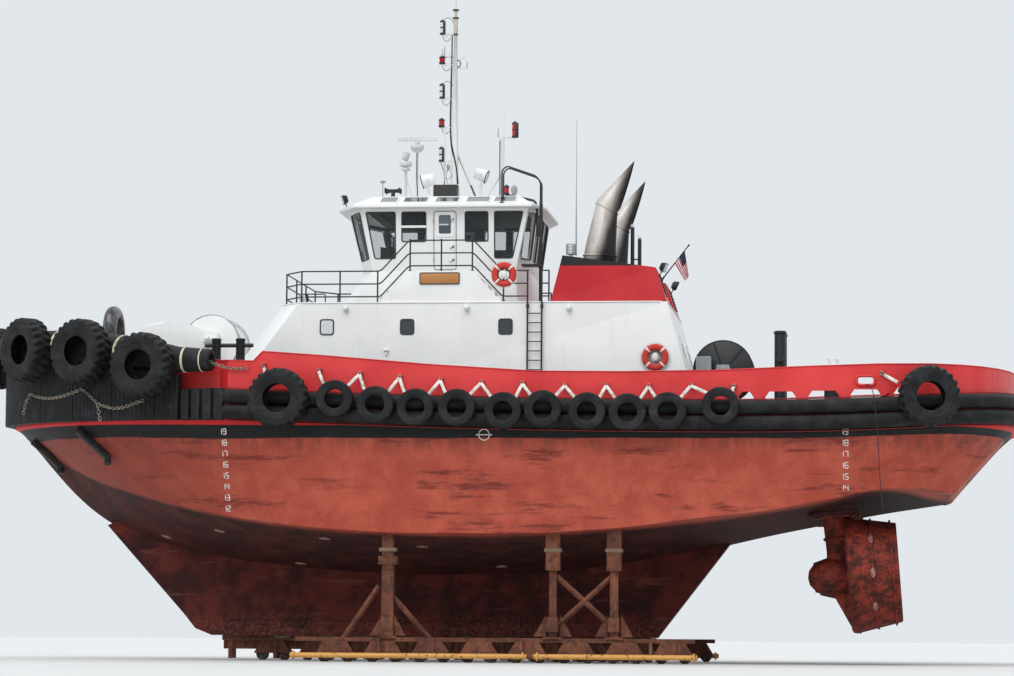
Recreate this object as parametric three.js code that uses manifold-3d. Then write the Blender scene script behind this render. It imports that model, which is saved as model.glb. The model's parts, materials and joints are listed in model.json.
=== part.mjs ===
// Harbour tug with two azimuth thrusters, standing on a yard transfer cradle.
// Millimetres, +X to the bow, +Y to port, +Z up. Shapes are drawn from the keel's
// underside and the hull's own X = 0, and the whole group is then moved onto the floor.
import * as THREE from 'three';
import { mergeVertices } from 'three/addons/utils/BufferGeometryUtils.js';
import Module from 'manifold-3d';

const wasm = await Module();
wasm.setup();

// Driving dimensions of the hull
const KEEL_LIFT = 720;
const HALF_BEAM = 6100;
const BOW_START = 4500;
const BOW_LENGTH = 10250;
const STERN_START = -9000;
const STERN_LENGTH = 6050;
const TRANSOM_X = -14950;
const GAP = 0.3;
const RUN_GAP = 0.5;

// Fenders, tyres and deck levels; FLAT turns a ten-sided tube's radius into its half-width
const FLAT = Math.cos(Math.PI / 10);
const TUBE_R = 214;
const RIB_THICK = 300;
const RIB_END_X = 8600;
const ROLL_R = 450;
const ROLL_OFFSET = 150;
const BIG_TYRE = { r: 930, bore: 430, width: 620 };
const SIDE_TYRE = { r: 850, bore: 400, width: 540 };
const SMALL_TYRE = { r: 525, bore: 270, width: 290 };
const BOAT_DECK = 9580;
const HOUSE_HALF = 3300;
const CABIN_FLOOR = 10600;
const EAVE = 12420;
const ROOF_TOP = 12850;

// Cradle and thrusters
const WHEEL_R = 170;
const LEG = new THREE.Vector3(-9850, 3200, 1780);
const TILT = THREE.MathUtils.degToRad(4.3);
const LEG_TOP = 1700;
const PROP_R = 1180;

const paint = (hex, rough, metal = 0) =>
  new THREE.MeshStandardMaterial({ color: hex, roughness: rough, metalness: metal });
const MAT = {
  hull: paint(0x9c3328, 0.7), keel: paint(0x6b2520, 0.75), red: paint(0xc8242a, 0.4),
  white: paint(0xe8e8e6, 0.45), rubber: paint(0x1c1d1f, 0.85), tyre: paint(0x26272a, 0.8),
  black: paint(0x15171a, 0.5), steel: paint(0xa59c90, 0.35, 0.9), grey: paint(0x7d8083, 0.6),
  rust: paint(0x6e4630, 0.85), bronze: paint(0x8f6f3d, 0.4, 0.9), stave: paint(0x777b80, 0.35, 0.8),
};

const tug = new THREE.Group();

function toManifold(geometry) {
  const g = geometry.index ? geometry.clone() : geometry;
  g.deleteAttribute('normal');
  g.deleteAttribute('uv');
  const merged = mergeVertices(g, 1e-3);
  return new wasm.Manifold(new wasm.Mesh({
    numProp: 3,
    vertProperties: new Float32Array(merged.attributes.position.array),
    triVerts: new Uint32Array(merged.index.array),
  }));
}

function toGeometry(solid) {
  const mesh = solid.getMesh();
  const g = new THREE.BufferGeometry();
  g.setAttribute('position', new THREE.BufferAttribute(mesh.vertProperties, 3));
  g.setIndex(new THREE.BufferAttribute(mesh.triVerts, 1));
  return g;
}

function addPart(name, solid, material) {
  const mesh = new THREE.Mesh(toGeometry(solid), material);
  mesh.name = name;
  tug.add(mesh);
  return solid;
}

const join = (...solids) => solids.reduce((a, b) => a.add(b));
const mirrorY = (solid) => solid.mirror([0, 1, 0]);
const moved = (solid, x, y, z) => solid.translate([x, y, z]);
const V = (x, y, z) => new THREE.Vector3(x, y, z);

// A part that rests on or against a carrier is cut by the carrier, kept GAP away from it
const seatedOn = (solid, carrier) => solid.subtract(moved(carrier, 0, 0, GAP));
const seatedUnder = (solid, carrier) => solid.subtract(moved(carrier, 0, 0, -GAP));

// Joins rings of equal point counts; flat caps close both ends unless the loft is a loop
function loft(rings, loop = false) {
  const n = rings[0].length;
  const points = rings.flat();
  const index = [];
  const spans = loop ? rings.length : rings.length - 1;
  for (let i = 0; i < spans; i++) {
    const a = i * n;
    const b = ((i + 1) % rings.length) * n;
    for (let j = 0; j < n; j++) {
      const k = (j + 1) % n;
      index.push(a + j, a + k, b + k, a + j, b + k, b + j);
    }
  }
  if (!loop) {
    index.push(...cap(rings[0], 0, true), ...cap(rings[rings.length - 1], (rings.length - 1) * n, false));
  }
  const g = new THREE.BufferGeometry();
  g.setAttribute('position', new THREE.Float32BufferAttribute(points.flatMap((p) => [p.x, p.y, p.z]), 3));
  g.setIndex(signedVolume(points, index) < 0 ? flipped(index) : index);
  return toManifold(g);
}

function cap(ring, first, reverse) {
  const normal = V(0, 0, 0);
  ring.forEach((p, i) => normal.add(V(0, 0, 0).crossVectors(p, ring[(i + 1) % ring.length])));
  const u = ring[1].clone().sub(ring[0]).normalize();
  const w = V(0, 0, 0).crossVectors(normal.normalize(), u);
  const flat = ring.map((p) => new THREE.Vector2(p.dot(u), p.dot(w)));
  const faces = THREE.ShapeUtils.triangulateShape(flat, []);
  return faces.flatMap(([a, b, c]) => (reverse ? [first + a, first + c, first + b] : [first + a, first + b, first + c]));
}

function signedVolume(points, index) {
  let sum = 0;
  for (let i = 0; i < index.length; i += 3) {
    const [a, b, c] = [points[index[i]], points[index[i + 1]], points[index[i + 2]]];
    sum += a.dot(V(0, 0, 0).crossVectors(b, c));
  }
  return sum;
}

function flipped(index) {
  const out = [];
  for (let i = 0; i < index.length; i += 3) out.push(index[i], index[i + 2], index[i + 1]);
  return out;
}

const box = (x0, x1, y0, y1, z0, z1) => {
  const g = new THREE.BoxGeometry(x1 - x0, y1 - y0, z1 - z0);
  g.translate((x0 + x1) / 2, (y0 + y1) / 2, (z0 + z1) / 2);
  return toManifold(g);
};

function alongAxis(geometry, a, b) {
  const axis = b.clone().sub(a);
  const turn = new THREE.Quaternion().setFromUnitVectors(V(0, 1, 0), axis.normalize());
  geometry.applyQuaternion(turn);
  const mid = a.clone().add(b).multiplyScalar(0.5);
  geometry.translate(mid.x, mid.y, mid.z);
  return toManifold(geometry);
}

const rod = (a, b, r, sides = 8, rEnd = r) =>
  alongAxis(new THREE.CylinderGeometry(rEnd, r, a.distanceTo(b), sides), a, b);

function bar(a, b, w) {
  return alongAxis(new THREE.BoxGeometry(w, a.distanceTo(b), w), a, b);
}

// Turns a closed [radius, height] profile round an axis through centre
function turned(profile, sides, centre, axis) {
  const points = profile.map(([r, h]) => new THREE.Vector2(r, h));
  const g = new THREE.LatheGeometry(points, sides);
  g.applyQuaternion(new THREE.Quaternion().setFromUnitVectors(V(0, 1, 0), axis));
  g.translate(centre.x, centre.y, centre.z);
  const merged = mergeVertices((g.deleteAttribute('normal'), g.deleteAttribute('uv'), g), 1e-3);
  const index = dropThin(merged);
  const pos = merged.attributes.position;
  const all = Array.from({ length: pos.count }, (_, i) => V(pos.getX(i), pos.getY(i), pos.getZ(i)));
  merged.setIndex(signedVolume(all, index) < 0 ? flipped(index) : index);
  return toManifold(merged);
}

function dropThin(geometry) {
  const index = Array.from(geometry.index.array);
  const kept = [];
  for (let i = 0; i < index.length; i += 3) {
    const [a, b, c] = index.slice(i, i + 3);
    if (a !== b && b !== c && a !== c) kept.push(a, b, c);
  }
  return kept;
}

// Straight prism of an [x, z] outline between two Y planes
function prismY(outline, y0, y1) {
  return loft([y0, y1].map((y) => outline.map(([x, z]) => V(x, y, z))));
}

const lerpTable = (rows, x, col) => {
  const i = rows.findIndex((r) => r[0] >= x);
  const k = i < 0 ? rows.length - 1 : Math.max(1, i);
  const [a, b] = [rows[k - 1], rows[k]];
  const t = Math.min(1, Math.max(0, (x - a[0]) / (b[0] - a[0])));
  return a[col] + (b[col] - a[col]) * t;
};

// Plan and sheer of the deck edge
function deckEdge(x) {
  if (x > BOW_START) return HALF_BEAM * Math.sqrt(1 - ((x - BOW_START) / BOW_LENGTH) ** 2);
  if (x < STERN_START) return HALF_BEAM * (1 - ((STERN_START - x) / STERN_LENGTH) ** 4) ** (1 / 2.4);
  return HALF_BEAM;
}
const fenderMid = (x) => 6130 + (x + 7500) ** 2 * (x > -7500 ? 1.57e-6 : 6.5e-6);
const deckHeight = (x) => fenderMid(x) + 380;
const bandFoot = (x) => Math.min(fenderMid(x) - 500, 6050);

const bowX = (deg) => BOW_START + BOW_LENGTH * Math.sin(THREE.MathUtils.degToRad(deg));
const STATIONS = [
  TRANSOM_X, -14700, -14350, -13900, -13300, -12400, -11000, -9000, -6500, -4000, -1500, 1500,
  ...[0, 12, 22, 32, 41, 50, 58, 65, 71, 76, 81].map(bowX),
];
const BOW_X = STATIONS[STATIONS.length - 1];
const TUBE_OUT = 2 * TUBE_R * FLAT + RUN_GAP;
const ROLL_OUT = ROLL_OFFSET + ROLL_R * FLAT;
const FORE_END = BOW_X + ROLL_OUT + GAP + BIG_TYRE.width;
tug.position.set(-(FORE_END + TRANSOM_X - TUBE_OUT) / 2, 0, KEEL_LIFT);

// Columns: x, keel line height, chine half-breadth, chine height
const SECTIONS = [
  [TRANSOM_X, 6000, 1700, 6030], [-14500, 5650, 3100, 5680], [-14000, 5080, 3650, 5120],
  [-13500, 4500, 3950, 4560], [-13050, 3950, 4150, 4040], [-12400, 3850, 4850, 4180],
  [-11100, 3650, 5350, 4160], [-9900, 3420, 5600, 3910], [-7800, 3000, 5750, 3510],
  [-6100, 2600, 5800, 3330], [-4000, 2200, 5820, 3050], [-1600, 1850, 5850, 2880],
  [2600, 1720, 5800, 2880], [5100, 1850, 5500, 3050], [7300, 2050, 4900, 3350],
  [9000, 2300, 4150, 3700], [10800, 2750, 3000, 4180], [12000, 3360, 1850, 4560],
  [12800, 3970, 1150, 4900], [13450, 4640, 700, 5250], [14000, 5300, 450, 5640],
  [BOW_X, 5960, 300, 6000],
];

// Port half of the hull's section at x
function hullRing(x) {
  const yd = deckEdge(x);
  const [zd, zf] = [deckHeight(x), bandFoot(x)];
  const [zk, yc, zc] = [1, 2, 3].map((col) => lerpTable(SECTIONS, x, col));
  return [V(x, 0, zk), V(x, yc, zc), V(x, yd, zf), V(x, yd, zd), V(x, 0, zd)];
}

// Port side from bow to stern, as [x, y] of the deck edge
const portEdge = [...STATIONS].reverse().map((x) => [x, deckEdge(x)]);

// Moves a plan path outward by d, mitred; for a closed path both ends join
function offsetPath(path, d, loop = false) {
  const n = path.length;
  return path.map(([x, y], i) => {
    const before = loop ? path[(i + n - 1) % n] : path[Math.max(0, i - 1)];
    const after = loop ? path[(i + 1) % n] : path[Math.min(n - 1, i + 1)];
    const n1 = edgeNormal(before, [x, y]) ?? edgeNormal([x, y], after);
    const n2 = edgeNormal([x, y], after) ?? n1;
    const m = [n1[0] + n2[0], n1[1] + n2[1]];
    const s = (2 * d) / (m[0] ** 2 + m[1] ** 2);
    return [x + m[0] * s, y + m[1] * s];
  });
}

function edgeNormal([ax, ay], [bx, by]) {
  const len = Math.hypot(bx - ax, by - ay);
  return len < 1 ? null : [-(by - ay) / len, (bx - ax) / len].map((v) => -v);
}

const roundPath = [...portEdge, ...portEdge.map(([x, y]) => [x, -y]).reverse()];

// Outward normal of the plan at x on the port side
function planNormal(x) {
  const step = 50;
  const slope = (deckEdge(x + step) - deckEdge(x - step)) / (2 * step);
  return V(-slope, 1, 0).normalize();
}

function hull() {
  const half = loft(STATIONS.map(hullRing));
  const axis = legAxis();
  const foot = LEG.clone().addScaledVector(axis, LEG_TOP);
  const trunk = rod(foot, foot.clone().addScaledVector(axis, 900), 760, 20);
  const side = join(half, trunk);
  return join(side, mirrorY(side));
}

const legAxis = () => V(Math.sin(TILT), 0, Math.cos(TILT));

function skeg(body) {
  const outline = [
    [8700, 0], [9200, 200], [9550, 630], [11900, 3240], [11000, 3600], [-6600, 3600],
    [-6700, 2850], [-4500, 0],
  ];
  const blade = prismY(outline, -380, 380);
  const shoe = prismY([[8600, 0], [9000, 420], [-4150, 420], [-4450, 0]], -480, 480);
  return seatedUnder(join(blade, shoe), body);
}

// Columns: x, height of the bulwark's top, how far it stands in from the deck edge
const INSET = 55;
const BULWARK = [
  [-15000, 7560, 80], [-13000, 7580, 80], [-11600, 7580, INSET], [-8800, 7490, INSET], [-6000, 7370, INSET],
  [-2200, 7350, INSET], [0, 7440, INSET], [2300, 7640, INSET], [4650, 7840, INSET], [6240, 7957, INSET],
  [6510, 7690, INSET], [7250, 7720, INSET], [7600, 7745, 340], [8400, 7850, 360], [9000, 8150, 380],
  [11000, 8300, 430], [BOW_X, 8450, 450],
];
const BULWARK_THICK = 100;
const PORTS_X = [[-7565, -7120], [-8730, -7865], [-9925, -9045], [-11060, -10200], [-11950, -11390]];

function bulwark(body) {
  const path = bulwarkPath();
  const outer = path.map((p) => insetPoint(p, 0));
  const inner = path.map((p) => insetPoint(p, BULWARK_THICK));
  const rings = path.map((p, i) => {
    const top = lerpTable(BULWARK, p.x, 1);
    const foot = deckHeight(p.x) - 60;
    return [[outer[i], foot], [outer[i], top], [inner[i], top], [inner[i], foot]]
      .map(([q, z]) => V(q[0], q[1], z));
  });
  const ring = loft(rings, true);
  const cuts = PORTS_X.flatMap(([x0, x1]) => {
    const z = deckHeight((x0 + x1) / 2);
    const port = prismY([[x0, z + 20], [x1, z + 20], [x1, z + 140], [x1 - 110, z + 300], [x0 + 110, z + 300],
      [x0, z + 140]], 4000, 6600);
    return [port, mirrorY(port)];
  });
  const hawse = [[4000, 6600], [-6600, -4000]].map(([y0, y1]) => box(-10860, -10400, y0, y1, 6990, 7210));
  return seatedOn(ring.subtract(join(...cuts, ...hawse)), body);
}

function bulwarkPath() {
  const xs = [...STATIONS, 6240, 6510, 7250, 7600, 9000, 3000].sort((a, b) => b - a);
  const port = xs.map((x) => ({ x, side: 1 }));
  return [...port, ...port.map((p) => ({ x: p.x, side: -1 })).reverse()];
}

function insetPoint({ x, side }, extra) {
  const d = lerpTable(BULWARK, x, 2) + extra;
  const n = endNormal(x);
  return [x - n.x * d, side * (deckEdge(x) - n.y * d)];
}

function endNormal(x) {
  if (x <= TRANSOM_X || x >= BOW_X) return V(Math.sign(x), 0.6, 0).normalize();
  return planNormal(x);
}

// Sweeps a section of [out, up] points along a plan path at the height given by level(x)
function sweepPlan(path, section, level) {
  const lanes = section(0).map((_, j) => offsetLane(path, section, j));
  return loft(path.map((_, i) => lanes.map((lane, j) => {
    const [x, y] = lane[i];
    return V(x, y, level(path[i][0], i) + section(i)[j][1]);
  })));
}

function offsetLane(path, section, j) {
  return path.map((_, i) => offsetPath(path, section(i)[j][0])[i]);
}

function circle(r, n, out, up = 0) {
  return Array.from({ length: n }, (_, i) => {
    const a = (2 * Math.PI * (i + 0.5)) / n;
    return [out + r * Math.cos(a), up + r * Math.sin(a)];
  });
}

function sideTube(up) {
  const from = portEdge.findIndex(([x]) => x < 7300);
  const head = [7250, deckEdge(7250)];
  const half = [head, ...portEdge.slice(from)];
  const path = [...half, ...half.map(([x, y]) => [x, -y]).reverse()];
  const out = TUBE_R * FLAT + RUN_GAP;
  const section = circle(TUBE_R, 10, 0).map(([a, b]) => [a + out, b + up]);
  return sweepPlan(path, () => section, fenderMid);
}

// Round the bow from the starboard side to the port side, ending at the given x
function bowPath(endX) {
  const half = [...portEdge.filter(([x]) => x > endX + 200), [endX, deckEdge(endX)]];
  return [...half.map(([x, y]) => [x, -y]).reverse(), ...half];
}

// Columns: x, top of the ribbed fender
const RIB_TOP = [[8500, 7300], [10600, 7640], [12700, 7880], [BOW_X, 8000]];
const ribTop = (x) => lerpTable(RIB_TOP, x, 1);

function ribbedFender() {
  const path = bowPath(RIB_END_X);
  const foot = (x) => 6040 + (x - RIB_END_X) * 0.012;
  const tall = (i) => ribTop(path[i][0]) - foot(path[i][0]);
  const section = (i) => [[GAP + 0.2, 0], [RIB_THICK, 0], [RIB_THICK, tall(i)], [GAP + 0.2, tall(i)]];
  return sweepPlan(path, section, foot);
}

function bowRoll(ribbed) {
  const path = bowPath(7650);
  const radius = (x) => (x < 8000 ? 310 : x < 9500 ? 400 : ROLL_R);
  const level = (x) => ribTop(Math.max(x, 8700)) + ROLL_R * FLAT - Math.max(0, 9500 - x) * 0.06;
  const thinned = (x) => (ROLL_R - radius(x)) * 0.5;
  const section = (i) => circle(radius(path[i][0]), 10, ROLL_OFFSET, thinned(path[i][0]));
  const core = sweepPlan(path, section, level);
  const mouths = [1, -1].map((side) => {
    const end = V(7650, side * (deckEdge(7650) + ROLL_OFFSET), level(7650) + 70);
    const along = planNormal(7650).applyAxisAngle(V(0, 0, 1), -Math.PI / 2);
    const dir = V(along.x, along.y * side, 0);
    return rod(end.clone().addScaledVector(dir, -100), end.clone().addScaledVector(dir, 320), 190, 12);
  });
  return seatedOn(core.subtract(join(...mouths)), ribbed);
}

function fenderPads(body) {
  const [x0, x1] = [7300, RIB_END_X - 20];
  const path = [x0, (x0 + x1) / 2, x1].map((x) => [x, deckEdge(x)]).reverse();
  const backing = sweepPlan(path, () => [[GAP + 1, 0], [60, 0], [60, 900], [GAP + 1, 900]], () => 6030);
  const plates = [7440, 7780, 8120, 8440].map((x) => {
    const n = planNormal(x);
    const c = V(x, deckEdge(x), 6480).addScaledVector(n, 110);
    const g = new THREE.BoxGeometry(240, 150, 840);
    g.rotateZ(Math.atan2(-n.x, n.y));
    g.translate(c.x, c.y, c.z);
    return toManifold(g);
  });
  return join(backing, ...plates).subtract(join(moved(body, 0.2, 0.45, 0), moved(body, 0.2, 0.45, 1)));
}

// Outer radius of each part of a big tyre's section as a share of r, on a lug and in the groove after it
const LUG = { count: 13, crown: [1, 0.945], shoulder: [0.945, 0.875] };

function smallTyre({ r, bore, width }, centre) {
  const w = width / 2;
  const profile = [[bore, -w], [r, -w * 0.6], [r, w * 0.6], [bore, w], [bore, -w]];
  return turned(profile, 10, centre, V(0, 1, 0));
}

// Big tyres have lugs, so their section changes from one spoke to the next
function bigTyre({ r, bore, width }, centre, axis) {
  const w = width / 2;
  const rings = Array.from({ length: LUG.count * 2 }, (_, i) => {
    const a = (Math.PI * i) / LUG.count;
    const [crown, shoulder] = [LUG.crown[i % 2], LUG.shoulder[i % 2]];
    return [[bore, -w * 0.8], [r * shoulder, -w], [r * crown, 0], [r * shoulder, w], [bore, w * 0.8]]
      .map(([d, h]) => V(d * Math.cos(a), h, -d * Math.sin(a)));
  });
  const turn = new THREE.Matrix4().makeRotationFromQuaternion(
    new THREE.Quaternion().setFromUnitVectors(V(0, 1, 0), axis));
  turn.setPosition(centre);
  return loft(rings, true).transform(turn.elements.slice());
}

// Columns: name, plan angle on the bow ellipse in degrees, centre height
const BOW_TYRES = [['1', 56, 8170], ['2', 41, 8020], ['3', 28.5, 7560]];

// A tyre is pressed towards its curved carrier, then clears it by GAP along the normal
const PRESS = { bow: 60, side: 40 };
const clearedFrom = (solid, carrier, n) => solid.subtract(moved(carrier, n.x * GAP, n.y * GAP, 0));

function bowTyreAt(deg, height, roll) {
  const x = bowX(deg);
  const n = planNormal(x);
  const out = ROLL_OUT + BIG_TYRE.width / 2 - PRESS.bow;
  const c = V(x, deckEdge(x), height).addScaledVector(n, out);
  return clearedFrom(bigTyre(BIG_TYRE, c, n), roll, n);
}

function sideTyre(x, z, tubes) {
  const n = planNormal(x);
  const c = V(x, deckEdge(x), z).addScaledVector(n, TUBE_OUT + SIDE_TYRE.width / 2 - PRESS.side);
  return clearedFrom(bigTyre(SIDE_TYRE, c, n), tubes, n);
}

// Columns: x, centre height of each small side tyre
const SMALL_TYRES = [
  [4060, 6570], [2910, 6400], [1785, 6330], [630, 6320], [-660, 6230], [-1760, 6280], [-2990, 6220],
  [-4110, 6190], [-5215, 6220], [-6670, 6365],
];

// Columns: x and height of the eyes on the bulwark; each tyre hangs from the eyes ahead and astern of it
const EYES = [
  [4596, 7430], [3440, 7338], [2312, 7243], [1163, 7163], [16, 7089], [-1143, 7065], [-2324, 7013],
  [-3477, 7011], [-4652, 6987], [-5826, 7002], [-7002, 6973],
];

function tyreString() {
  const spots = SMALL_TYRES.map(([x, z]) => V(x, HALF_BEAM + TUBE_OUT + GAP + SMALL_TYRE.width / 2, z));
  const eyes = EYES.map(([x, z]) => V(x, HALF_BEAM + 45, z));
  const lugs = eyes.map(({ x, z }) => box(x - 45, x + 45, HALF_BEAM - INSET + RUN_GAP, HALF_BEAM + 70, z - 45, z + 45));
  const straps = spots.flatMap((c, i) => [[eyes[i], 1], [eyes[i + 1], -1]].map(([eye, way]) =>
    bar(eye, V(c.x + way * 330, c.y, c.z + 400), 60)));
  return join(...spots.map((c) => smallTyre(SMALL_TYRE, c)), ...lugs, ...straps);
}

function deckhouse(body) {
  const plan = (fore, fwdCorner, aft, half, z) => [
    V(fore, 2600, z), V(fwdCorner, half, z), V(aft, half, z), V(aft, -half, z), V(fwdCorner, -half, z),
    V(fore, -2600, z),
  ];
  const block = loft([plan(8620, 8050, -5850, HOUSE_HALF, 6450), plan(6270, 5700, -4970, HOUSE_HALF, BOAT_DECK)]);
  return seatedOn(block, body);
}

function funnel() {
  const z = BOAT_DECK + GAP;
  const foot = [[-1610, 1250], [-1610, 3280], [-4960, 3280], [-4960, 1250]].map(([x, y]) => V(x, y, z));
  const top = [[-1930, 1400, 10960], [-1930, 3030, 10960], [-4620, 3030, 10600], [-4620, 1400, 10600]];
  return loft([foot, top.map(([x, y, h]) => V(x, y, h))]);
}

// Rings of an exhaust trunk: [x, z] of its centre, half-length, half-width, lean of the ring in degrees
const EXHAUST = [[-2920, 10700, 500, 430, 0], [-2970, 11300, 440, 400, 4], [-3150, 12470, 352, 350, 31],
  [-3725, 13085, 747, 310, 106.7]];

function exhaust(casing) {
  const ring = ([x, z, a, b, lean], shrink) => Array.from({ length: 14 }, (_, i) => {
    const t = (2 * Math.PI * i) / 14;
    const d = THREE.MathUtils.degToRad(lean);
    const along = (a - shrink) * Math.cos(t);
    return V(x + along * Math.cos(d), 2200 + (b - shrink) * Math.sin(t), z + along * Math.sin(d));
  });
  const outer = loft(EXHAUST.map((row) => ring(row, 0)));
  const beyond = [-4012, 12999, 747, 310, 106.7];
  const bore = loft([[-3150, 12200, 330, 330, 20], ...EXHAUST.slice(2), beyond].map((row) => ring(row, 28)));
  return seatedOn(outer.subtract(bore), casing);
}

// Outline of the wheelhouse at one level: front, front corner, side and aft values
function cabinPlan({ fore, foreHalf, shoulder, half, aftShoulder, aft, aftHalf }, z) {
  const port = [[fore, foreHalf], [shoulder, half], [aftShoulder, half], [aft, aftHalf]];
  return [...port, ...port.map(([x, y]) => [x, -y]).reverse()].map(([x, y]) => V(x, y, z));
}
const grown = (p, d) => ({
  fore: p.fore + d, foreHalf: p.foreHalf + d * 0.5, shoulder: p.shoulder + d * 0.5, half: p.half + d,
  aftShoulder: p.aftShoulder - d * 0.5, aft: p.aft - d, aftHalf: p.aftHalf + d * 0.5,
});
const CABIN_FOOT = {
  fore: 4120, foreHalf: 1250, shoulder: 3690, half: 2280, aftShoulder: -500, aft: -850, aftHalf: 1500,
};
const CABIN_HEAD = {
  fore: 4560, foreHalf: 1400, shoulder: 4060, half: 2450, aftShoulder: -870, aft: -1070, aftHalf: 1650,
};
const BASE_FOOT = {
  fore: 4790, foreHalf: 1250, shoulder: 4330, half: 2280, aftShoulder: -560, aft: -900, aftHalf: 1500,
};
const WALL = 90;

function cabinBase() {
  const block = loft([cabinPlan(BASE_FOOT, BOAT_DECK + GAP), cabinPlan(CABIN_FOOT, CABIN_FLOOR)]);
  const landing = [1, -1].map((side) => {
    const steps = stairOutline(4);
    const [y0, y1] = side > 0 ? [2200, 3205] : [-3205, -2200];
    const panel = prismY(
      [[3340, BOAT_DECK + GAP], [2500, 10500], [620, 10500], [-200, BOAT_DECK + GAP]],
      side > 0 ? 3200 : -3290, side > 0 ? 3290 : -3200);
    return join(prismY(steps, y0, y1), panel);
  });
  return join(block, ...landing);
}

// Landing with steps going down forward and aft of it
function stairOutline(count) {
  const [top, foot] = [10470, BOAT_DECK + GAP];
  const rise = (top - foot) / (count + 1);
  const going = 200;
  const points = [[-200, foot]];
  for (let i = 1; i <= count; i++) {
    points.push([-200 + going * (i - 1), foot + rise * i], [-200 + going * i, foot + rise * i]);
  }
  points.push([-200 + going * count, top], [3340 - going * count, top]);
  for (let i = count; i >= 1; i--) {
    points.push([3340 - going * i, foot + rise * i], [3340 - going * (i - 1), foot + rise * i]);
  }
  points.push([3340, foot]);
  return points;
}

const DOOR = { x0: 1240, x1: 1890, z0: 10640, z1: 12330 };
const LEAF_BACK = 40;
// Side windows: x range at the sill, x range at the head, and z range
const SIDE_WINDOWS = [
  [3020, 3640, 3020, 3900, 10960, 12320], [2120, 2840, 2120, 2840, 11450, 12320],
  [300, 980, 300, 980, 11450, 12320], [-410, 120, -730, 120, 10960, 12320],
];

const sideFace = (z) => CABIN_FOOT.half + ((CABIN_HEAD.half - CABIN_FOOT.half) * (z - CABIN_FLOOR)) / (EAVE - CABIN_FLOOR);

// Upright slab that leans with the port side wall, from depth d0 to d1 off its outer face
function sideSlab(x0, x1, z0, z1, d0, d1, head = [x0, x1]) {
  return loft([[x0, x1, z0], [...head, z1]].map(([a, b, z]) => [[a, d0], [b, d0], [b, d1], [a, d1]]
    .map(([x, d]) => V(x, sideFace(z) + d, z))));
}

function cabinWalls() {
  const shell = loft([cabinPlan(CABIN_FOOT, CABIN_FLOOR + GAP), cabinPlan(CABIN_HEAD, EAVE)]);
  const room = loft([cabinPlan(grown(CABIN_FOOT, -WALL), CABIN_FLOOR - 10),
    cabinPlan(grown(CABIN_HEAD, -WALL), EAVE + 10)]);
  const windows = SIDE_WINDOWS.map(([x0, x1, h0, h1, z0, z1]) =>
    sideSlab(x0, x1, z0, z1, -250, 250, [h0, h1]));
  const doorway = sideSlab(DOOR.x0 + 30, DOOR.x1 - 30, DOOR.z0 + 30, DOOR.z1 - 30, -250, 250);
  const rebate = sideSlab(DOOR.x0, DOOR.x1, DOOR.z0, DOOR.z1, -LEAF_BACK - GAP, 250);
  const port = join(doorway, rebate, ...windows);
  return shell.subtract(room).subtract(join(port, mirrorY(port), ...endWindows()));
}

// Panes of the leaning front, aft and corner walls, cut square to each wall's plan
function endWindows() {
  const level = (z0, z1) => [10970, 12320].map((z) => (z - z0) / (z1 - z0));
  const [t0, t1] = level(CABIN_FLOOR, EAVE);
  const at = (t) => Object.fromEntries(Object.keys(CABIN_FOOT).map((k) =>
    [k, CABIN_FOOT[k] + (CABIN_HEAD[k] - CABIN_FOOT[k]) * t]));
  const [lo, hi] = [at(t0), at(t1)];
  const pane = (a0, b0, a1, b1) => {
    const post = 110;
    const cut = ([ax, ay], [bx, by], z, out) => {
      const len = Math.hypot(bx - ax, by - ay);
      const [ux, uy] = [(bx - ax) / len, (by - ay) / len];
      const [nx, ny] = [uy * out, -ux * out];
      return [V(ax + ux * post + nx, ay + uy * post + ny, z), V(bx - ux * post + nx, by - uy * post + ny, z)];
    };
    const quad = (a, b, z) => [...cut(a, b, z, 300), ...cut(a, b, z, -300).reverse()];
    return loft([quad(a0, b0, 10970), quad(a1, b1, 12320)]);
  };
  const row = (x, half, count) => Array.from({ length: count + 1 }, (_, i) => [x, half - (2 * half * i) / count]);
  const panes = [];
  for (const [count, xKey, halfKey] of [[3, 'fore', 'foreHalf'], [3, 'aft', 'aftHalf']]) {
    const [p, q] = [row(lo[xKey], lo[halfKey], count), row(hi[xKey], hi[halfKey], count)];
    for (let i = 0; i < count; i++) panes.push(pane(p[i], p[i + 1], q[i], q[i + 1]));
  }
  for (const side of [1, -1]) {
    const c = (s, shoulder, half, end, endHalf) => [[s[end], side * s[endHalf]], [s[shoulder], side * s[half]]];
    for (const keys of [['shoulder', 'half', 'fore', 'foreHalf'], ['aftShoulder', 'half', 'aft', 'aftHalf']]) {
      const [a, b] = [c(lo, ...keys), c(hi, ...keys)];
      panes.push(pane(a[0], a[1], b[0], b[1]));
    }
  }
  return panes;
}

function cabinRoof() {
  const eave = grown(CABIN_HEAD, 270);
  const top = grown(CABIN_HEAD, -620);
  return loft([cabinPlan(eave, EAVE + GAP), cabinPlan(eave, EAVE + 90), cabinPlan(top, ROOF_TOP)]);
}

function cabinDoor() {
  const leaf = sideSlab(DOOR.x0 + 12, DOOR.x1 - 12, DOOR.z0 + 12, DOOR.z1 - 12, -LEAF_BACK, 10);
  return leaf.subtract(sideSlab(DOOR.x0 + 140, DOOR.x1 - 140, 11670, 12230, -250, 250));
}

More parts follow.
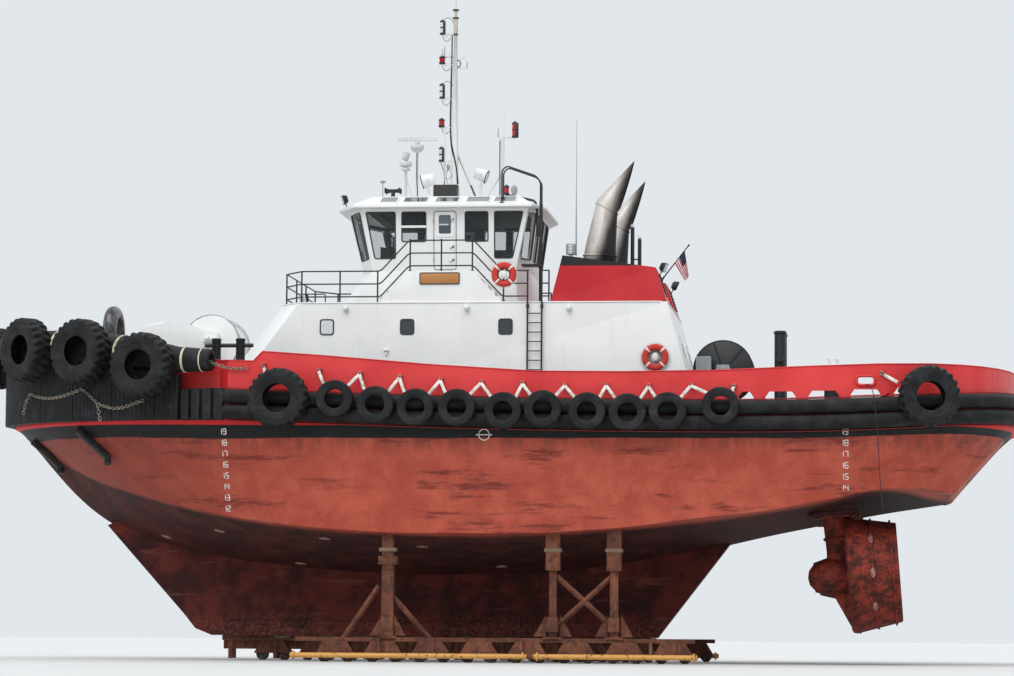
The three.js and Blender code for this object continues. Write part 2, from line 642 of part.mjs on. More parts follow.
function helmConsole() {
  const floor = box(-250, 3700, -1300, 1300, CABIN_FLOOR + GAP, CABIN_FLOOR + 40);
  const desk = prismY([[2900, CABIN_FLOOR + 20], [3650, CABIN_FLOOR + 20], [3650, 11450], [3050, 11330]], -1150, 1150);
  const pedestal = box(1950, 2250, -150, 150, CABIN_FLOOR + 20, 11100);
  const seat = box(1800, 2400, -300, 300, 11080, 11220);
  const back = box(1800, 1930, -280, 280, 11200, 12000);
  const aftDesk = box(-200, 350, -1000, 1000, CABIN_FLOOR + 20, 11350);
  return join(floor, desk, pedestal, seat, back, aftDesk);
}

const MAST_X = 1610;
const LAMP_REACH = 400;
// Height of each lamp on the main mast, and its radius and height
const MAST_LAMPS = [[18180, 60, 380], [17190, 75, 190], [16250, 60, 390], [15290, 75, 210], [14340, 60, 380]];
// Bars that carry the mast's small aerials: height, fore end and aft end, then the stubs: x, foot, top, radius
const MAST_BARS = [[17290, 330, -50], [17240, 0, -290], [16950, 0, -370]];
const MAST_STUBS = [[330, 17290, 17460, 14], [205, 17290, 17480, 20], [-40, 17240, 17440, 18],
  [-245, 17240, 17850, 18], [-350, 16950, 17120, 14]];

function mainMast() {
  const p = (z, x = MAST_X) => V(x, 0, z);
  const lampX = MAST_X + LAMP_REACH;
  const foot = box(1500, 2215, -230, 230, ROOF_TOP + GAP, 13410);
  const pole = rod(p(13400), p(18000), 122, 10, 55);
  const canister = rod(p(17990), p(18460), 66, 8);
  const neck = rod(p(18450), p(18720), 45, 8);
  const whip = rod(p(18700), p(18980), 16, 5);
  const conduit = rod(V(1920, 0, 13400), V(1920, 0, 15090), 32, 6);
  const lamps = MAST_LAMPS.flatMap(([z, r, h]) => [
    rod(p(z - h / 2, lampX), p(z + h / 2, lampX), r, 6),
    bar(p(z - h / 2 - 20, MAST_X + 40), p(z - h / 2 - 20, lampX + 80), 50),
  ]);
  const bars = MAST_BARS.map(([z, fore, aft]) => bar(p(z, MAST_X + fore), p(z, MAST_X + aft), 36));
  const stubs = MAST_STUBS.map(([dx, z0, z1, r]) => rod(p(z0, MAST_X + dx), p(z1, MAST_X + dx), r, 5));
  const brace = rod(V(900, 0, ROOF_TOP + 30), p(14620), 28, 6);
  const shoe = box(840, 970, -70, 70, ROOF_TOP + GAP, ROOF_TOP + 40);
  return join(foot, pole, canister, neck, whip, conduit, ...lamps, ...bars, ...stubs, brace, shoe);
}

function aftMast() {
  const x = 175;
  const pole = rod(V(x, 0, ROOF_TOP + GAP), V(x, 0, 14850), 55, 8);
  const arm = bar(V(x + 95, 0, 14840), V(x - 465, 0, 14840), 45);
  const whip = rod(V(x - 40, 0, 14840), V(x - 40, 0, 16550), 18, 5);
  const lamp = rod(V(x - 372, 0, 14850), V(x - 372, 0, 15276), 75, 8);
  const plate = box(x - 160, x + 160, -160, 160, ROOF_TOP + GAP, ROOF_TOP + 40);
  const brace = rod(V(x, 0, 13790), V(x + 555, 0, ROOF_TOP + 30), 22, 6);
  const shoe = box(x + 480, x + 620, -60, 60, ROOF_TOP + GAP, ROOF_TOP + 40);
  return join(pole, arm, whip, lamp, plate, brace, shoe);
}

const RADAR = { x: 2670, y: 500, top: 14560 };

function radarPost() {
  const { x, y, top } = RADAR;
  const plate = box(x - 150, x + 150, y - 150, y + 150, ROOF_TOP + GAP, ROOF_TOP + 40);
  const post = rod(V(x, y, ROOF_TOP + 20), V(x, y, top - 190), 42, 8);
  const neck = rod(V(x, y, top - 200), V(x, y, top - 110), 130, 12, 180);
  const gearbox = rod(V(x, y, top - 120), V(x, y, top), 200, 16);
  return join(plate, post, neck, gearbox);
}

function radarScanner() {
  const { x, y, top } = RADAR;
  const hub = rod(V(x, y, top + RUN_GAP), V(x, y, top + 150), 70, 10);
  return join(hub, box(x - 585, x + 585, y - 55, y + 55, top + 130, top + 240));
}

// Satellite compass on a braced post, with a camera tilted up on top of it
function domeAerial() {
  const [x, z] = [3080, 14000];
  const plate = box(x - 340, x + 130, -120, 120, ROOF_TOP + GAP, ROOF_TOP + 40);
  const post = rod(V(x, 0, ROOF_TOP + 20), V(x, 0, z - 90), 42, 8);
  const brace = rod(V(x - 270, 0, ROOF_TOP + 20), V(x, 0, 13680), 24, 6);
  const profile = [[0, -130], [130, -130], [130, -50], [70, -40], [70, -10], [185, 0], [200, 60], [185, 125],
    [0, 135]];
  const discs = turned(profile, 14, V(x, 0, z), V(0, 0, 1));
  const stub = rod(V(x, 0, z + 120), V(x, 0, z + 240), 40, 6);
  const camera = rod(V(x + 40, 0, z + 190), V(x - 40, 0, z + 420), 105, 10);
  return join(plate, post, brace, discs, stub, camera);
}

// Searchlights: x, y, height of the yoke's foot, way it faces along x, and how far it looks down in degrees
const LIGHTS = [['searchlight_port', 2240, 1150, 13070, 1, 15], ['searchlight_starboard', 955, -1150, 13535, -1, 21]];
// Drum of a searchlight: height over the yoke's foot, half its length, radius at the back and at the glass
const DRUM = { lift: 345, half: 200, back: 175, glass: 208 };

function lightBase(x, y, z) {
  const plate = box(x - 130, x + 130, y - 130, y + 130, ROOF_TOP + GAP, ROOF_TOP + 30);
  return join(plate, rod(V(x, y, ROOF_TOP + 20), V(x, y, z), 50, 8));
}

function lightHead(x, y, z, way, down) {
  const foot = rod(V(x, y, z + RUN_GAP), V(x, y, z + 60), 60, 8);
  const lean = THREE.MathUtils.degToRad(down);
  const at = (along) => V(x + way * along * Math.cos(lean), y, z + DRUM.lift - along * Math.sin(lean));
  const drum = rod(at(-DRUM.half), at(DRUM.half), DRUM.back, 16, DRUM.glass);
  return join(foot, drum, bar(V(x, y, z + 50), V(x, y, z + 250), 80));
}

const WINCH = { x: 8750, z: 8630, half: 900, flange: 830, core: 380 };

function winchFrame(body) {
  const { x, z, half } = WINCH;
  const cheeks = [1, -1].map((s) => {
    const [y0, y1] = s > 0 ? [half + 30, half + 190] : [-half - 190, -half - 30];
    return prismY([[x - 290, 6800], [x + 2150, 6800], [x + 2050, 9100], [x + 900, 9300], [x + 250, z + 380],
      [x - 250, z + 300]], y0, y1);
  });
  const gear = box(x + 950, x + 2000, -half - 60, half + 60, 7500, 9250);
  const bed = box(x + 800, x + 2150, -half - 60, half + 60, 6800, 7300);
  const bearing = [1, -1].map((s) => rod(V(x, s * (half + 20), z), V(x, s * (half + 320), z), 170, 12));
  return seatedOn(join(...cheeks, gear, bed, ...bearing), body);
}

function winchDrum() {
  const { x, z, half, flange, core } = WINCH;
  const end = half + 20 - RUN_GAP;
  const profile = [
    [0, -end], [120, -end], [120, -half + 10], [flange, -half + 10], [flange, -half + 70], [core, -half + 70],
    [core, half - 190], [flange, half - 190], [flange, half - 10], [120, half - 10], [120, end], [0, end],
  ];
  return turned(profile, 20, V(x, 0, z), V(0, 1, 0));
}

function sweepPipe(points, r, sides) {
  const curve = new THREE.CatmullRomCurve3(points, false, 'catmullrom', 0.5);
  const steps = points.length * 2;
  const rings = [];
  for (let i = 0; i <= steps; i++) {
    const c = curve.getPointAt(i / steps);
    const t = curve.getTangentAt(i / steps);
    const across = V(1, 0, 0);
    const up = V(0, 0, 0).crossVectors(t, across).normalize();
    rings.push(Array.from({ length: sides }, (_, k) => {
      const a = (2 * Math.PI * k) / sides;
      return c.clone().addScaledVector(across, r * Math.cos(a)).addScaledVector(up, r * Math.sin(a));
    }));
  }
  return loft(rings);
}

function towStaple(body) {
  const arch = sweepPipe(
    [V(11900, 560, 6900), V(11900, 560, 8700), V(11900, 420, 9350), V(11900, 0, 9620), V(11900, -420, 9350),
      V(11900, -560, 8700), V(11900, -560, 6900)], 220, 10);
  const plate = box(11500, 12300, -900, 900, 6900, 7420);
  return seatedOn(join(arch, plate), body);
}

function bitts(body) {
  const posts = [7920, 7220].map((x) => rod(V(x, 4150, 6700), V(x, 4150, 8480), 130, 12));
  const cross = rod(V(6850, 4150, 8280), V(8250, 4150, 8280), 60, 8);
  const pad = box(6900, 8200, 3950, 4350, 6700, 6980);
  return seatedOn(join(...posts, cross, pad), body);
}

const REEL = { x: -6440, z: 7820, half: 620, r: 890, foot: [-650, 530] };

function reelFrame(body) {
  const { x, z, half, foot } = REEL;
  const [x0, x1] = foot.map((d) => x + d);
  const sides = [1, -1].map((s) => {
    const [y0, y1] = s > 0 ? [half + 40, half + 150] : [-half - 150, -half - 40];
    return prismY([[x0, 6400], [x1, 6400], [x + 180, z + 150], [x - 180, z + 150]], y0, y1);
  });
  const drive = box(x + 330, x + 760, half + 100, half + 620, 7500, 8180);
  const stand = box(x + 100, x1, half + 100, half + 620, 6400, 7600);
  const bed = box(x0, x1, -half - 150, half + 150, 6400, 6640);
  const bearing = [1, -1].map((s) => rod(V(x, s * (half + 20), z), V(x, s * (half + 180), z), 110, 10));
  return seatedOn(join(...sides, drive, stand, bed, ...bearing), body);
}

function reelDrum() {
  const { x, z, half, r } = REEL;
  const end = half + 20 - RUN_GAP;
  const profile = [
    [0, -end], [90, -end], [90, -half], [r, -half], [r, -half + 50], [300, -half + 50], [300, half - 50],
    [r, half - 50], [r, half], [90, half], [90, end], [0, end],
  ];
  return turned(profile, 24, V(x, 0, z), V(0, 1, 0));
}

function towBitt(body) {
  const posts = [450, -450].map((y) => rod(V(-8100, y, 6400), V(-8100, y, 8980), 170, 12));
  const cross = rod(V(-8100, -900, 8150), V(-8100, 900, 8150), 110, 10);
  const pad = box(-8450, -7750, -800, 800, 6400, 6620);
  return seatedOn(join(...posts, cross, pad), body);
}

function mushroomVent(body) {
  const c = V(-9660, 1500, 0);
  return seatedOn(turned([[0, 6400], [260, 6400], [260, 7650], [450, 7700], [430, 7850], [160, 7900], [150, 8080],
    [0, 8080]], 14, c, V(0, 0, 1)), body);
}

const RAIL_LEVELS = [180, 550, 920];
const LADDER_X = [-970, -1380];
const LADDER_RUNGS = [6800, 7070, 7340, 7610, 7880, 8150, 8420, 8690, 8960, 9230];

// Boat deck rail: route as [x, y, deck level], and the index of each point that has a post
function railRoutes() {
  const d = BOAT_DECK;
  const fore = [[6200, 0, d], [6200, 2450, d], [5620, 3240, d], [3320, 3240, d], [2490, 3240, 10470],
    [620, 3240, 10470], [-220, 3240, d], [LADDER_X[0], 3240, d]];
  const aft = [[LADDER_X[1], 3240, d], [-1570, 3240, d]];
  return [fore, aft];
}

function railRun(route) {
  const plan = route.map(([x, y]) => [x, y]);
  return RAIL_LEVELS.map((h) =>
    sweepPlan(plan, () => [[-21, -21], [21, -21], [21, 21], [-21, 21]], (x, i) => route[i][2] + h));
}

function rails() {
  const post = (x, y, d) => box(x - 25, x + 25, y - 25, y + 25, d + GAP, d + RAIL_LEVELS[2] + 15);
  const posts = [
    [6200, 800, BOAT_DECK], [6200, 2450, BOAT_DECK], [5620, 3240, BOAT_DECK], [4500, 3240, BOAT_DECK],
    [3400, 3240, BOAT_DECK], [2460, 3240, 10500], [1550, 3240, 10500], [650, 3240, 10500],
    [-260, 3240, BOAT_DECK], [-1570, 3240, BOAT_DECK],
  ];
  const side = join(...railRoutes().flatMap(railRun), ...posts.map((p) => post(...p)), ...ladderParts());
  return join(side, mirrorY(side));
}

function ladderParts() {
  const y = HOUSE_HALF + 90;
  const stringers = LADDER_X.map((x) => box(x - 30, x + 30, y - 30, y + 30, 6640, BOAT_DECK + 935));
  const ties = LADDER_X.map((x) => box(x - 25, x + 25, 3230, y, BOAT_DECK + 900, BOAT_DECK + 935));
  const feet = LADDER_X.map((x) => box(x - 20, x + 20, HOUSE_HALF + GAP, y, 8000, 8040));
  const rungs = LADDER_RUNGS.map((z) => box(LADDER_X[1], LADDER_X[0], y - 16, y + 16, z, z + 32));
  return [...stringers, ...ties, ...feet, ...rungs];
}

// Ladder up the aft port corner of the wheelhouse, bent over onto the roof
const ROOF_LADDER = { x: -1245, foot: -120, y: [2200, 2620], tube: 62 };

function roofLadder(roof) {
  const { x, foot, y: [y0, y1], tube } = ROOF_LADDER;
  const strips = [y0, y1].map((y) => {
    const path = [V(x, y, BOAT_DECK + GAP), V(x, y, 13140), V(x + 130, y, 13320), V(foot - 140, y, 13620),
      V(foot, y, 13490), V(foot, y, EAVE + 60)];
    return join(...path.slice(1).map((p, i) => bar(path[i], p, tube)));
  });
  const rungs = Array.from({ length: 9 }, (_, i) => box(x - 20, x + 20, y0, y1, 9900 + i * 330, 9935 + i * 330));
  const shelf = box(x - 30, -700, y0 - 30, y1 + 30, 10700, 10760);
  return seatedOn(join(...strips, ...rungs, shelf), roof);
}

// One transfer bogie: a tapered block with a wheel at each end
function bogie(x, y) {
  const top = -140;
  const block = prismY([[x - 560, -520], [x + 560, -520], [x + 330, top], [x - 330, top]], y - 240, y + 240);
  const axle = WHEEL_R * Math.cos(Math.PI / 8) - KEEL_LIFT;
  const wheels = [-330, 330].map((dx) => prismY(circle(WHEEL_R, 8, x + dx, axle), y - 150, y + 150));
  return join(block, ...wheels);
}

const bogieRow = (from, count, y) => Array.from({ length: count }, (_, i) => bogie(from + 1350 * i, y));

function keelRow() {
  const beam = box(-4300, 8400, -300, 300, -150, -GAP);
  return join(beam, ...bogieRow(-3900, 9, 0), box(-4300, 8400, -60, 60, -400, -140));
}

function sideRow(body) {
  const y = 5350;
  const beam = box(-5900, 5300, y - 170, y + 170, -150, -30);
  const pipe = rod(V(-6000, y + 360, -540), V(5400, y + 360, -540), 70, 8);
  const hangers = [-4700, -1100, 2900].map((x) => box(x - 40, x + 40, y + 100, y + 400, -560, -60));
  const posts = [[2690, 165, 165], [-1950, 195, 100], [-3660, 195, 110]].flatMap(([x, w, wLow]) => [
    box(x - wLow, x + wLow, y - wLow, y + wLow, -60, 2100),
    box(x - w, x + w, y - w, y + w, 1850, 3600),
    box(x - 260, x + 260, y - 220, y + 220, -60, 10),
  ]);
  const collar = box(2430, 2950, y - 220, y + 220, 2000, 2230);
  const braces = [
    [V(2950, y, 1400), V(3950, y, -60)], [V(2600, y, 1150), V(1500, y, -60)],
    [V(-2050, y, 1700), V(-3600, y, 300)], [V(-2050, y, 300), V(-3600, y, 1700)],
  ].map(([a, b]) => bar(a, b, 110));
  const row = join(beam, pipe, ...hangers, ...posts, collar, ...braces, ...bogieRow(-5300, 8, y));
  return seatedUnder(row, body);
}

// Thruster: leg, housing and nozzle as one steering body, drawn upright then tilted about the leg
function tiltedAt(solid, side) {
  const turn = new THREE.Matrix4().makeRotationY(TILT);
  turn.setPosition(LEG.x, LEG.y * side, LEG.z);
  return solid.transform(turn.elements.slice());
}

const NOZZLE = { fore: -250, aft: -1700, rFore: 1640, rAft: 1420, bore: 1225 };

function thruster() {
  const flange = rod(V(0, 0, LEG_TOP - 60), V(0, 0, LEG_TOP - RUN_GAP), 620, 20);
  const leg = loft([[330, 230, -60], [300, 210, 700], [340, 260, LEG_TOP - 30]].map(([a, b, z]) =>
    Array.from({ length: 10 }, (_, i) => {
      const t = (2 * Math.PI * i) / 10;
      return V(a * Math.cos(t), b * Math.sin(t), z);
    })));
  const housing = turned([[0, 880], [200, 840], [430, 650], [540, 280], [500, -50], [340, -560],
    [0, -560]], 14, V(0, 0, 0), V(1, 0, 0));
  const { fore, aft, rFore, rAft, bore } = NOZZLE;
  const ring = turned([[rFore, fore - 60], [rFore - 90, fore], [rFore - 230, fore - 10], [bore, fore - 420],
    [bore, aft + 500], [rAft - 110, aft], [rAft - 40, aft], [rFore, fore - 60]], 24, V(0, 0, 0), V(1, 0, 0));
  const bracket = prismY([[0, 1250], [-700, 1250], [-700, 1500], [-360, 1600], [0, 1600]], -110, 110);
  const fin = prismY([[250, -420], [-260, -420], [-420, -1330], [-330, -1560], [-260, -1500]], -45, 45);
  return join(housing, leg, flange, ring, bracket, fin);
}

function propeller() {
  const hubProfile = [[0, -560 - RUN_GAP], [260, -560 - RUN_GAP], [250, -950], [150, -1130], [0, -1170]];
  const hub = turned(hubProfile, 14, V(0, 0, 0), V(1, 0, 0));
  const blades = [0, 1, 2, 3].map((i) => blade().rotate([90 * i + 22, 0, 0]));
  return join(hub, ...blades);
}

function blade() {
  // Radius, half chord, pitch angle in degrees, half thickness
  const rows = [[180, 190, 62, 45], [520, 330, 42, 34], [900, 400, 30, 22], [PROP_R, 240, 25, 10]];
  return loft(rows.map(([r, c, pitch, t]) => {
    const a = THREE.MathUtils.degToRad(pitch);
    const turn = (u, v) => V(-800 + u * Math.sin(a) + v * Math.cos(a), u * Math.cos(a) - v * Math.sin(a), r);
    return [turn(c, 0), turn(0, t), turn(-c, 0), turn(0, -t)];
  }));
}

function build() {
  const body = addPart('hull', hull(), MAT.hull);
  addPart('skeg', skeg(body), MAT.keel);
  addPart('bulwark', bulwark(body), MAT.red);
  const upper = addPart('side_fender_upper', sideTube(TUBE_R + GAP), MAT.rubber);
  const lower = addPart('side_fender_lower', sideTube(-TUBE_R - GAP), MAT.rubber);
  const ribbed = addPart('bow_fender_ribbed', ribbedFender(), MAT.rubber);
  const roll = addPart('bow_fender_roll', bowRoll(ribbed), MAT.rubber);
  pair('fender_pads', fenderPads(body), MAT.rubber);
  const tubes = join(upper, lower);
  buildTyres(join(roll, mirrorY(roll)), join(tubes, mirrorY(tubes)));
  buildHouse(body);
  buildRoofGear();
  buildDeckGear(body);
  buildUnderwater();
  addPart('cradle_keel_row', keelRow(), MAT.rust);
  const row = sideRow(body);
  addPart('cradle_row_port', row, MAT.rust);
  addPart('cradle_row_starboard', mirrorY(row), MAT.rust);
}

function pair(name, solid, material) {
  addPart(`${name}_port`, solid, material);
  addPart(`${name}_starboard`, mirrorY(solid), material);
}

function buildTyres(roll, tubes) {
  const front = V(FORE_END - BIG_TYRE.width / 2, 0, 8250);
  addPart('bow_tyre_center', bigTyre(BIG_TYRE, front, V(1, 0, 0)), MAT.tyre);
  for (const [name, deg, height] of BOW_TYRES) pair(`bow_tyre_${name}`, bowTyreAt(deg, height, roll), MAT.tyre);
  pair('side_tyre_fore', sideTyre(5600, 6580, tubes), MAT.tyre);
  pair('side_tyre_aft', sideTyre(-12195, 6630, tubes), MAT.tyre);
  pair('tyre_string', tyreString(), MAT.tyre);
}

function buildHouse(body) {
  addPart('deckhouse', deckhouse(body), MAT.white);
  const casing = funnel();
  pair('funnel', casing, MAT.red);
  pair('exhaust', exhaust(casing), MAT.steel);
  addPart('wheelhouse_base', cabinBase(), MAT.white);
  addPart('wheelhouse_walls', cabinWalls(), MAT.white);
  const roof = addPart('wheelhouse_roof', cabinRoof(), MAT.white);
  pair('wheelhouse_door', cabinDoor(), MAT.white);
  addPart('wheelhouse_console', helmConsole(), MAT.grey);
  addPart('rails', rails(), MAT.black);
  addPart('roof_ladder', roofLadder(roof), MAT.black);
}

function buildRoofGear() {
  addPart('mast', mainMast(), MAT.white);
  addPart('aft_mast', aftMast(), MAT.white);
  addPart('radar_post', radarPost(), MAT.white);
  addPart('radar_scanner', radarScanner(), MAT.white);
  addPart('dome_aerial', domeAerial(), MAT.white);
  for (const [name, x, y, z, way, down] of LIGHTS) {
    addPart(`${name}_base`, lightBase(x, y, z), MAT.white);
    addPart(name, lightHead(x, y, z, way, down), MAT.white);
  }
}

function buildDeckGear(body) {
  addPart('bow_winch_frame', winchFrame(body), MAT.white);
  addPart('bow_winch_drum', winchDrum(), MAT.white);
  addPart('tow_staple', towStaple(body), MAT.stave);
  pair('bow_bitts', bitts(body), MAT.black);
  addPart('aft_reel_frame', reelFrame(body), MAT.grey);
  addPart('aft_reel', reelDrum(), MAT.black);
  addPart('tow_bitt', towBitt(body), MAT.black);
  addPart('mushroom_vent', mushroomVent(body), MAT.grey);
}

function buildUnderwater() {
  for (const [label, side] of [['port', 1], ['starboard', -1]]) {
    addPart(`thruster_${label}`, tiltedAt(thruster(), side), MAT.hull);
    addPart(`propeller_${label}`, tiltedAt(propeller(), side), MAT.bronze);
  }
}

build();

export default tug;
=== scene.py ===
import bpy, bmesh, json, math
import numpy as np
from mathutils import Matrix


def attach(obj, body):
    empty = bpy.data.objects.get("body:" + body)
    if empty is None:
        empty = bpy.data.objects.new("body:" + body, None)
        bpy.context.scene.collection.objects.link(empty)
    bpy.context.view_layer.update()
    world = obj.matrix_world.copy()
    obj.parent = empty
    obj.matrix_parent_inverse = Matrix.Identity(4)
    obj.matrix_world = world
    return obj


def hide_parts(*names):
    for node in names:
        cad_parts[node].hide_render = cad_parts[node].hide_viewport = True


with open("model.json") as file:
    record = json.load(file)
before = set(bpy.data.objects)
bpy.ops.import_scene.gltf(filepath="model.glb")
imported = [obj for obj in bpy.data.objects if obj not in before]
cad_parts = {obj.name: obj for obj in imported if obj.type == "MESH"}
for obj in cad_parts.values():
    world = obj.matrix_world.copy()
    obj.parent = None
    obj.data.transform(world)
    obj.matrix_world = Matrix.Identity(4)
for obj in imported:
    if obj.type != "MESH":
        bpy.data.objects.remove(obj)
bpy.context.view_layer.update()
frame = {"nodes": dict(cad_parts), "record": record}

# ---- The camera: low on the port side and a little aft of abeam, a hundred metres off.
# It looks up along the keel's level, so the bottom shows as well as the masts.
KEEL = np.array([-0.23227, 0.0, 0.72])
FOCAL_PIXELS, WIDTH_PIXELS, HORIZON_DROP_PIXELS, CAMERA_DISTANCE = 3400, 1014, 299, 100.5
YAW, PITCH, ROLL = math.radians(6.5), math.atan(HORIZON_DROP_PIXELS / FOCAL_PIXELS), math.radians(0.4)
eye = KEEL + CAMERA_DISTANCE * np.array([-math.sin(YAW), math.cos(YAW), 0])
ahead = np.array([math.sin(YAW) * math.cos(PITCH), -math.cos(YAW) * math.cos(PITCH), math.sin(PITCH)])
right = np.array([-math.cos(YAW), -math.sin(YAW), 0.0])
up = np.cross(right, ahead)
view = np.eye(4)
view[:3, 0] = right * math.cos(ROLL) + up * math.sin(ROLL)
view[:3, 1] = up * math.cos(ROLL) - right * math.sin(ROLL)
view[:3, 2], view[:3, 3] = -ahead, eye
camera = bpy.data.objects.new("camera", bpy.data.cameras.new("camera"))
bpy.context.collection.objects.link(camera)
camera.matrix_world = Matrix(view.tolist())
camera.data.sensor_width, camera.data.lens = 36, FOCAL_PIXELS / WIDTH_PIXELS * 36
camera.data.clip_end = 2000
bpy.context.scene.camera = camera


# ---- Finishes are worked out by arithmetic on shader sockets.
# Lengths are metres over the keel's underside, and patterns follow Object coordinates.
class Value:
    """A shader socket; Python's operators on it add Math nodes."""

    def __init__(self, finish, socket):
        self.finish, self.socket = finish, socket

    def math(self, operation, *values):
        return self.finish.add("ShaderNodeMath", {"operation": operation}, dict(enumerate(values)))

    def __add__(self, other): return self.math("ADD", self, other)
    def __sub__(self, other): return self.math("SUBTRACT", self, other)
    def __rsub__(self, other): return self.math("SUBTRACT", other, self)
    def __mul__(self, other): return self.math("MULTIPLY", self, other)
    __radd__, __rmul__ = __add__, __mul__

    def rise(self, low, high):
        """0 below low and 1 above high, with a smooth rise between them."""
        return self.finish.add("ShaderNodeMapRange", {"interpolation_type": "SMOOTHSTEP", "clamp": True},
                               {0: self, 1: low, 2: high, 3: 0.0, 4: 1.0})

    def between(self, low, high, soft):
        """1 from low to high, fading over soft on both sides."""
        return self.rise(low - soft, low + soft) * (1 - self.rise(high - soft, high + soft))

    def wave(self, period):
        """A smooth 0 to 1 wave with a crest at every multiple of period."""
        return self.math("COSINE", self * (2 * math.pi / period)) * 0.5 + 0.5

    def seam(self, period, width):
        """1 on a thin line at every multiple of period."""
        off = self.math("PINGPONG", self, period / 2)
        return 1 - off.rise(width * 0.4, width)

    def either(self, other): return self.math("MAXIMUM", self, other)


class Finish:
    """One procedural material. x, y and z are metres from the hull's own origin at the keel."""

    def __init__(self, name, **sockets):
        self.material = bpy.data.materials.new(name)
        self.material.use_nodes = True
        self.tree = self.material.node_tree
        self.tree.nodes.clear()
        self.shader = self.tree.nodes.new("ShaderNodeBsdfPrincipled")
        out = self.tree.nodes.new("ShaderNodeOutputMaterial")
        self.tree.links.new(self.shader.outputs[0], out.inputs[0])
        self.place = self.add("ShaderNodeTexCoord", {}, {}, "Object")
        self.x, self.y, self.z = (self.add("ShaderNodeSeparateXYZ", {}, {0: self.place}, i) - float(KEEL[i])
                                  for i in range(3))
        self.facing_up = self.facing(2)
        self.set(**sockets)

    def facing(self, axis):
        """The surface normal's component along an axis."""
        return self.add("ShaderNodeSeparateXYZ", {}, {0: self.add("ShaderNodeNewGeometry", {}, {}, "Normal")}, axis)

    def add(self, kind, settings, sockets, out=0):
        """Adds a node: first its settings, then the values or links of its sockets."""
        node = self.tree.nodes.new(kind)
        for key, value in settings.items():
            setattr(node, key, value)
        for key, value in sockets.items():
            if isinstance(value, Value):
                self.tree.links.new(value.socket, node.inputs[key])
            else:
                node.inputs[key].default_value = value
        return Value(self, node.outputs[out])

    def noise(self, scale, detail=3.0, rough=0.55, stretch=(1, 1, 1)):
        where = self.add("ShaderNodeVectorMath", {"operation": "MULTIPLY"}, {0: self.place, 1: stretch})
        return self.add("ShaderNodeTexNoise", {}, {"Vector": where, "Scale": scale, "Detail": detail,
                                                   "Roughness": rough})

    def cells(self, scale):
        """Distance from the middles of scattered cells."""
        return self.add("ShaderNodeTexVoronoi", {}, {"Vector": self.place, "Scale": scale})

    def mix(self, mask, under, over):
        colour = lambda c: c if isinstance(c, Value) else (*c, 1.0)
        return self.add("ShaderNodeMix", {"data_type": "RGBA"}, {0: mask, 6: colour(under), 7: colour(over)}, 2)

    def curve(self, value, low, high, points):
        """A height that follows (place, height) points between low and high."""
        ramp = self.add("ShaderNodeMapRange", {}, {0: value, 1: low, 2: high})
        node = self.tree.nodes.new("ShaderNodeFloatCurve")
        handles = node.mapping.curves[0].points
        for i, (x, h) in enumerate(points):
            spot = handles[i] if i < 2 else handles.new(0.5, 0.5)
            spot.location = ((x - low) / (high - low), h)
        node.mapping.update()
        self.tree.links.new(ramp.socket, node.inputs["Value"])
        return Value(self, node.outputs[0])

    def relief(self, *layers):
        """Stacks (height, strength, depth) layers into one bumped normal."""
        normal = None
        for height, strength, depth in layers:
            sockets = {"Height": height, "Strength": strength, "Distance": depth}
            if normal is not None:
                sockets["Normal"] = normal
            normal = self.add("ShaderNodeBump", {}, sockets)
        self.set(Normal=normal)

    def set(self, **sockets):
        for key, value in sockets.items():
            socket = self.shader.inputs[key.replace("_", " ")]
            if isinstance(value, Value):
                self.tree.links.new(value.socket, socket)
            else:
                socket.default_value = (*value, 1.0) if isinstance(value, tuple) else value


# ---- The studio: a plain pale floor under the cradle, a pale sky all round and one broad soft lamp.
# The sky's evenness stands for the overcast light of a boatyard.
world = bpy.data.worlds.new("overcast")
world.use_nodes = True
world.node_tree.nodes["Background"].inputs[0].default_value = (0.80, 0.84, 0.88, 1)
world.node_tree.nodes["Background"].inputs[1].default_value = 0.95
bpy.context.scene.world = world
bpy.context.scene.view_settings.view_transform = "Standard"
for name, strength, spread, tilt in (("high_cloud", 1.7, 50, (-38, 14, 0)), ("far_cloud", 0.5, 70, (45, -20, 0))):
    lamp = bpy.data.objects.new(name, bpy.data.lights.new(name, "SUN"))
    lamp.data.energy, lamp.data.angle = strength, math.radians(spread)
    lamp.rotation_euler = [math.radians(a) for a in tilt]
    bpy.context.collection.objects.link(lamp)

floor_finish = Finish("studio_floor")
mottle = floor_finish.noise(0.15, 5)
floor_finish.set(Base_Color=floor_finish.mix(mottle, (0.60, 0.60, 0.59), (0.68, 0.68, 0.67)), Roughness=0.85)
RINGS, SPOKES, FLOOR_RADIUS = 24, 48, 700
r, a = np.meshgrid(np.linspace(0, 1, RINGS) ** 2 * FLOOR_RADIUS, np.linspace(0, 2 * np.pi, SPOKES + 1)[:-1],
                   indexing="ij")
floor_mesh = bpy.data.meshes.new("studio_floor")
corner = np.arange(RINGS - 1)[:, None] * SPOKES + np.arange(SPOKES)
nxt = np.arange(RINGS - 1)[:, None] * SPOKES + (np.arange(SPOKES) + 1) % SPOKES
floor_mesh.from_pydata(np.stack([r * np.cos(a), r * np.sin(a), 0 * r - 0.001], -1).reshape(-1, 3), [],
                       np.stack([corner, corner + SPOKES, nxt + SPOKES, nxt], -1).reshape(-1, 4).tolist())
floor_mesh.materials.append(floor_finish.material)
studio_floor = bpy.data.objects.new("studio_floor", floor_mesh)
bpy.context.collection.objects.link(studio_floor)


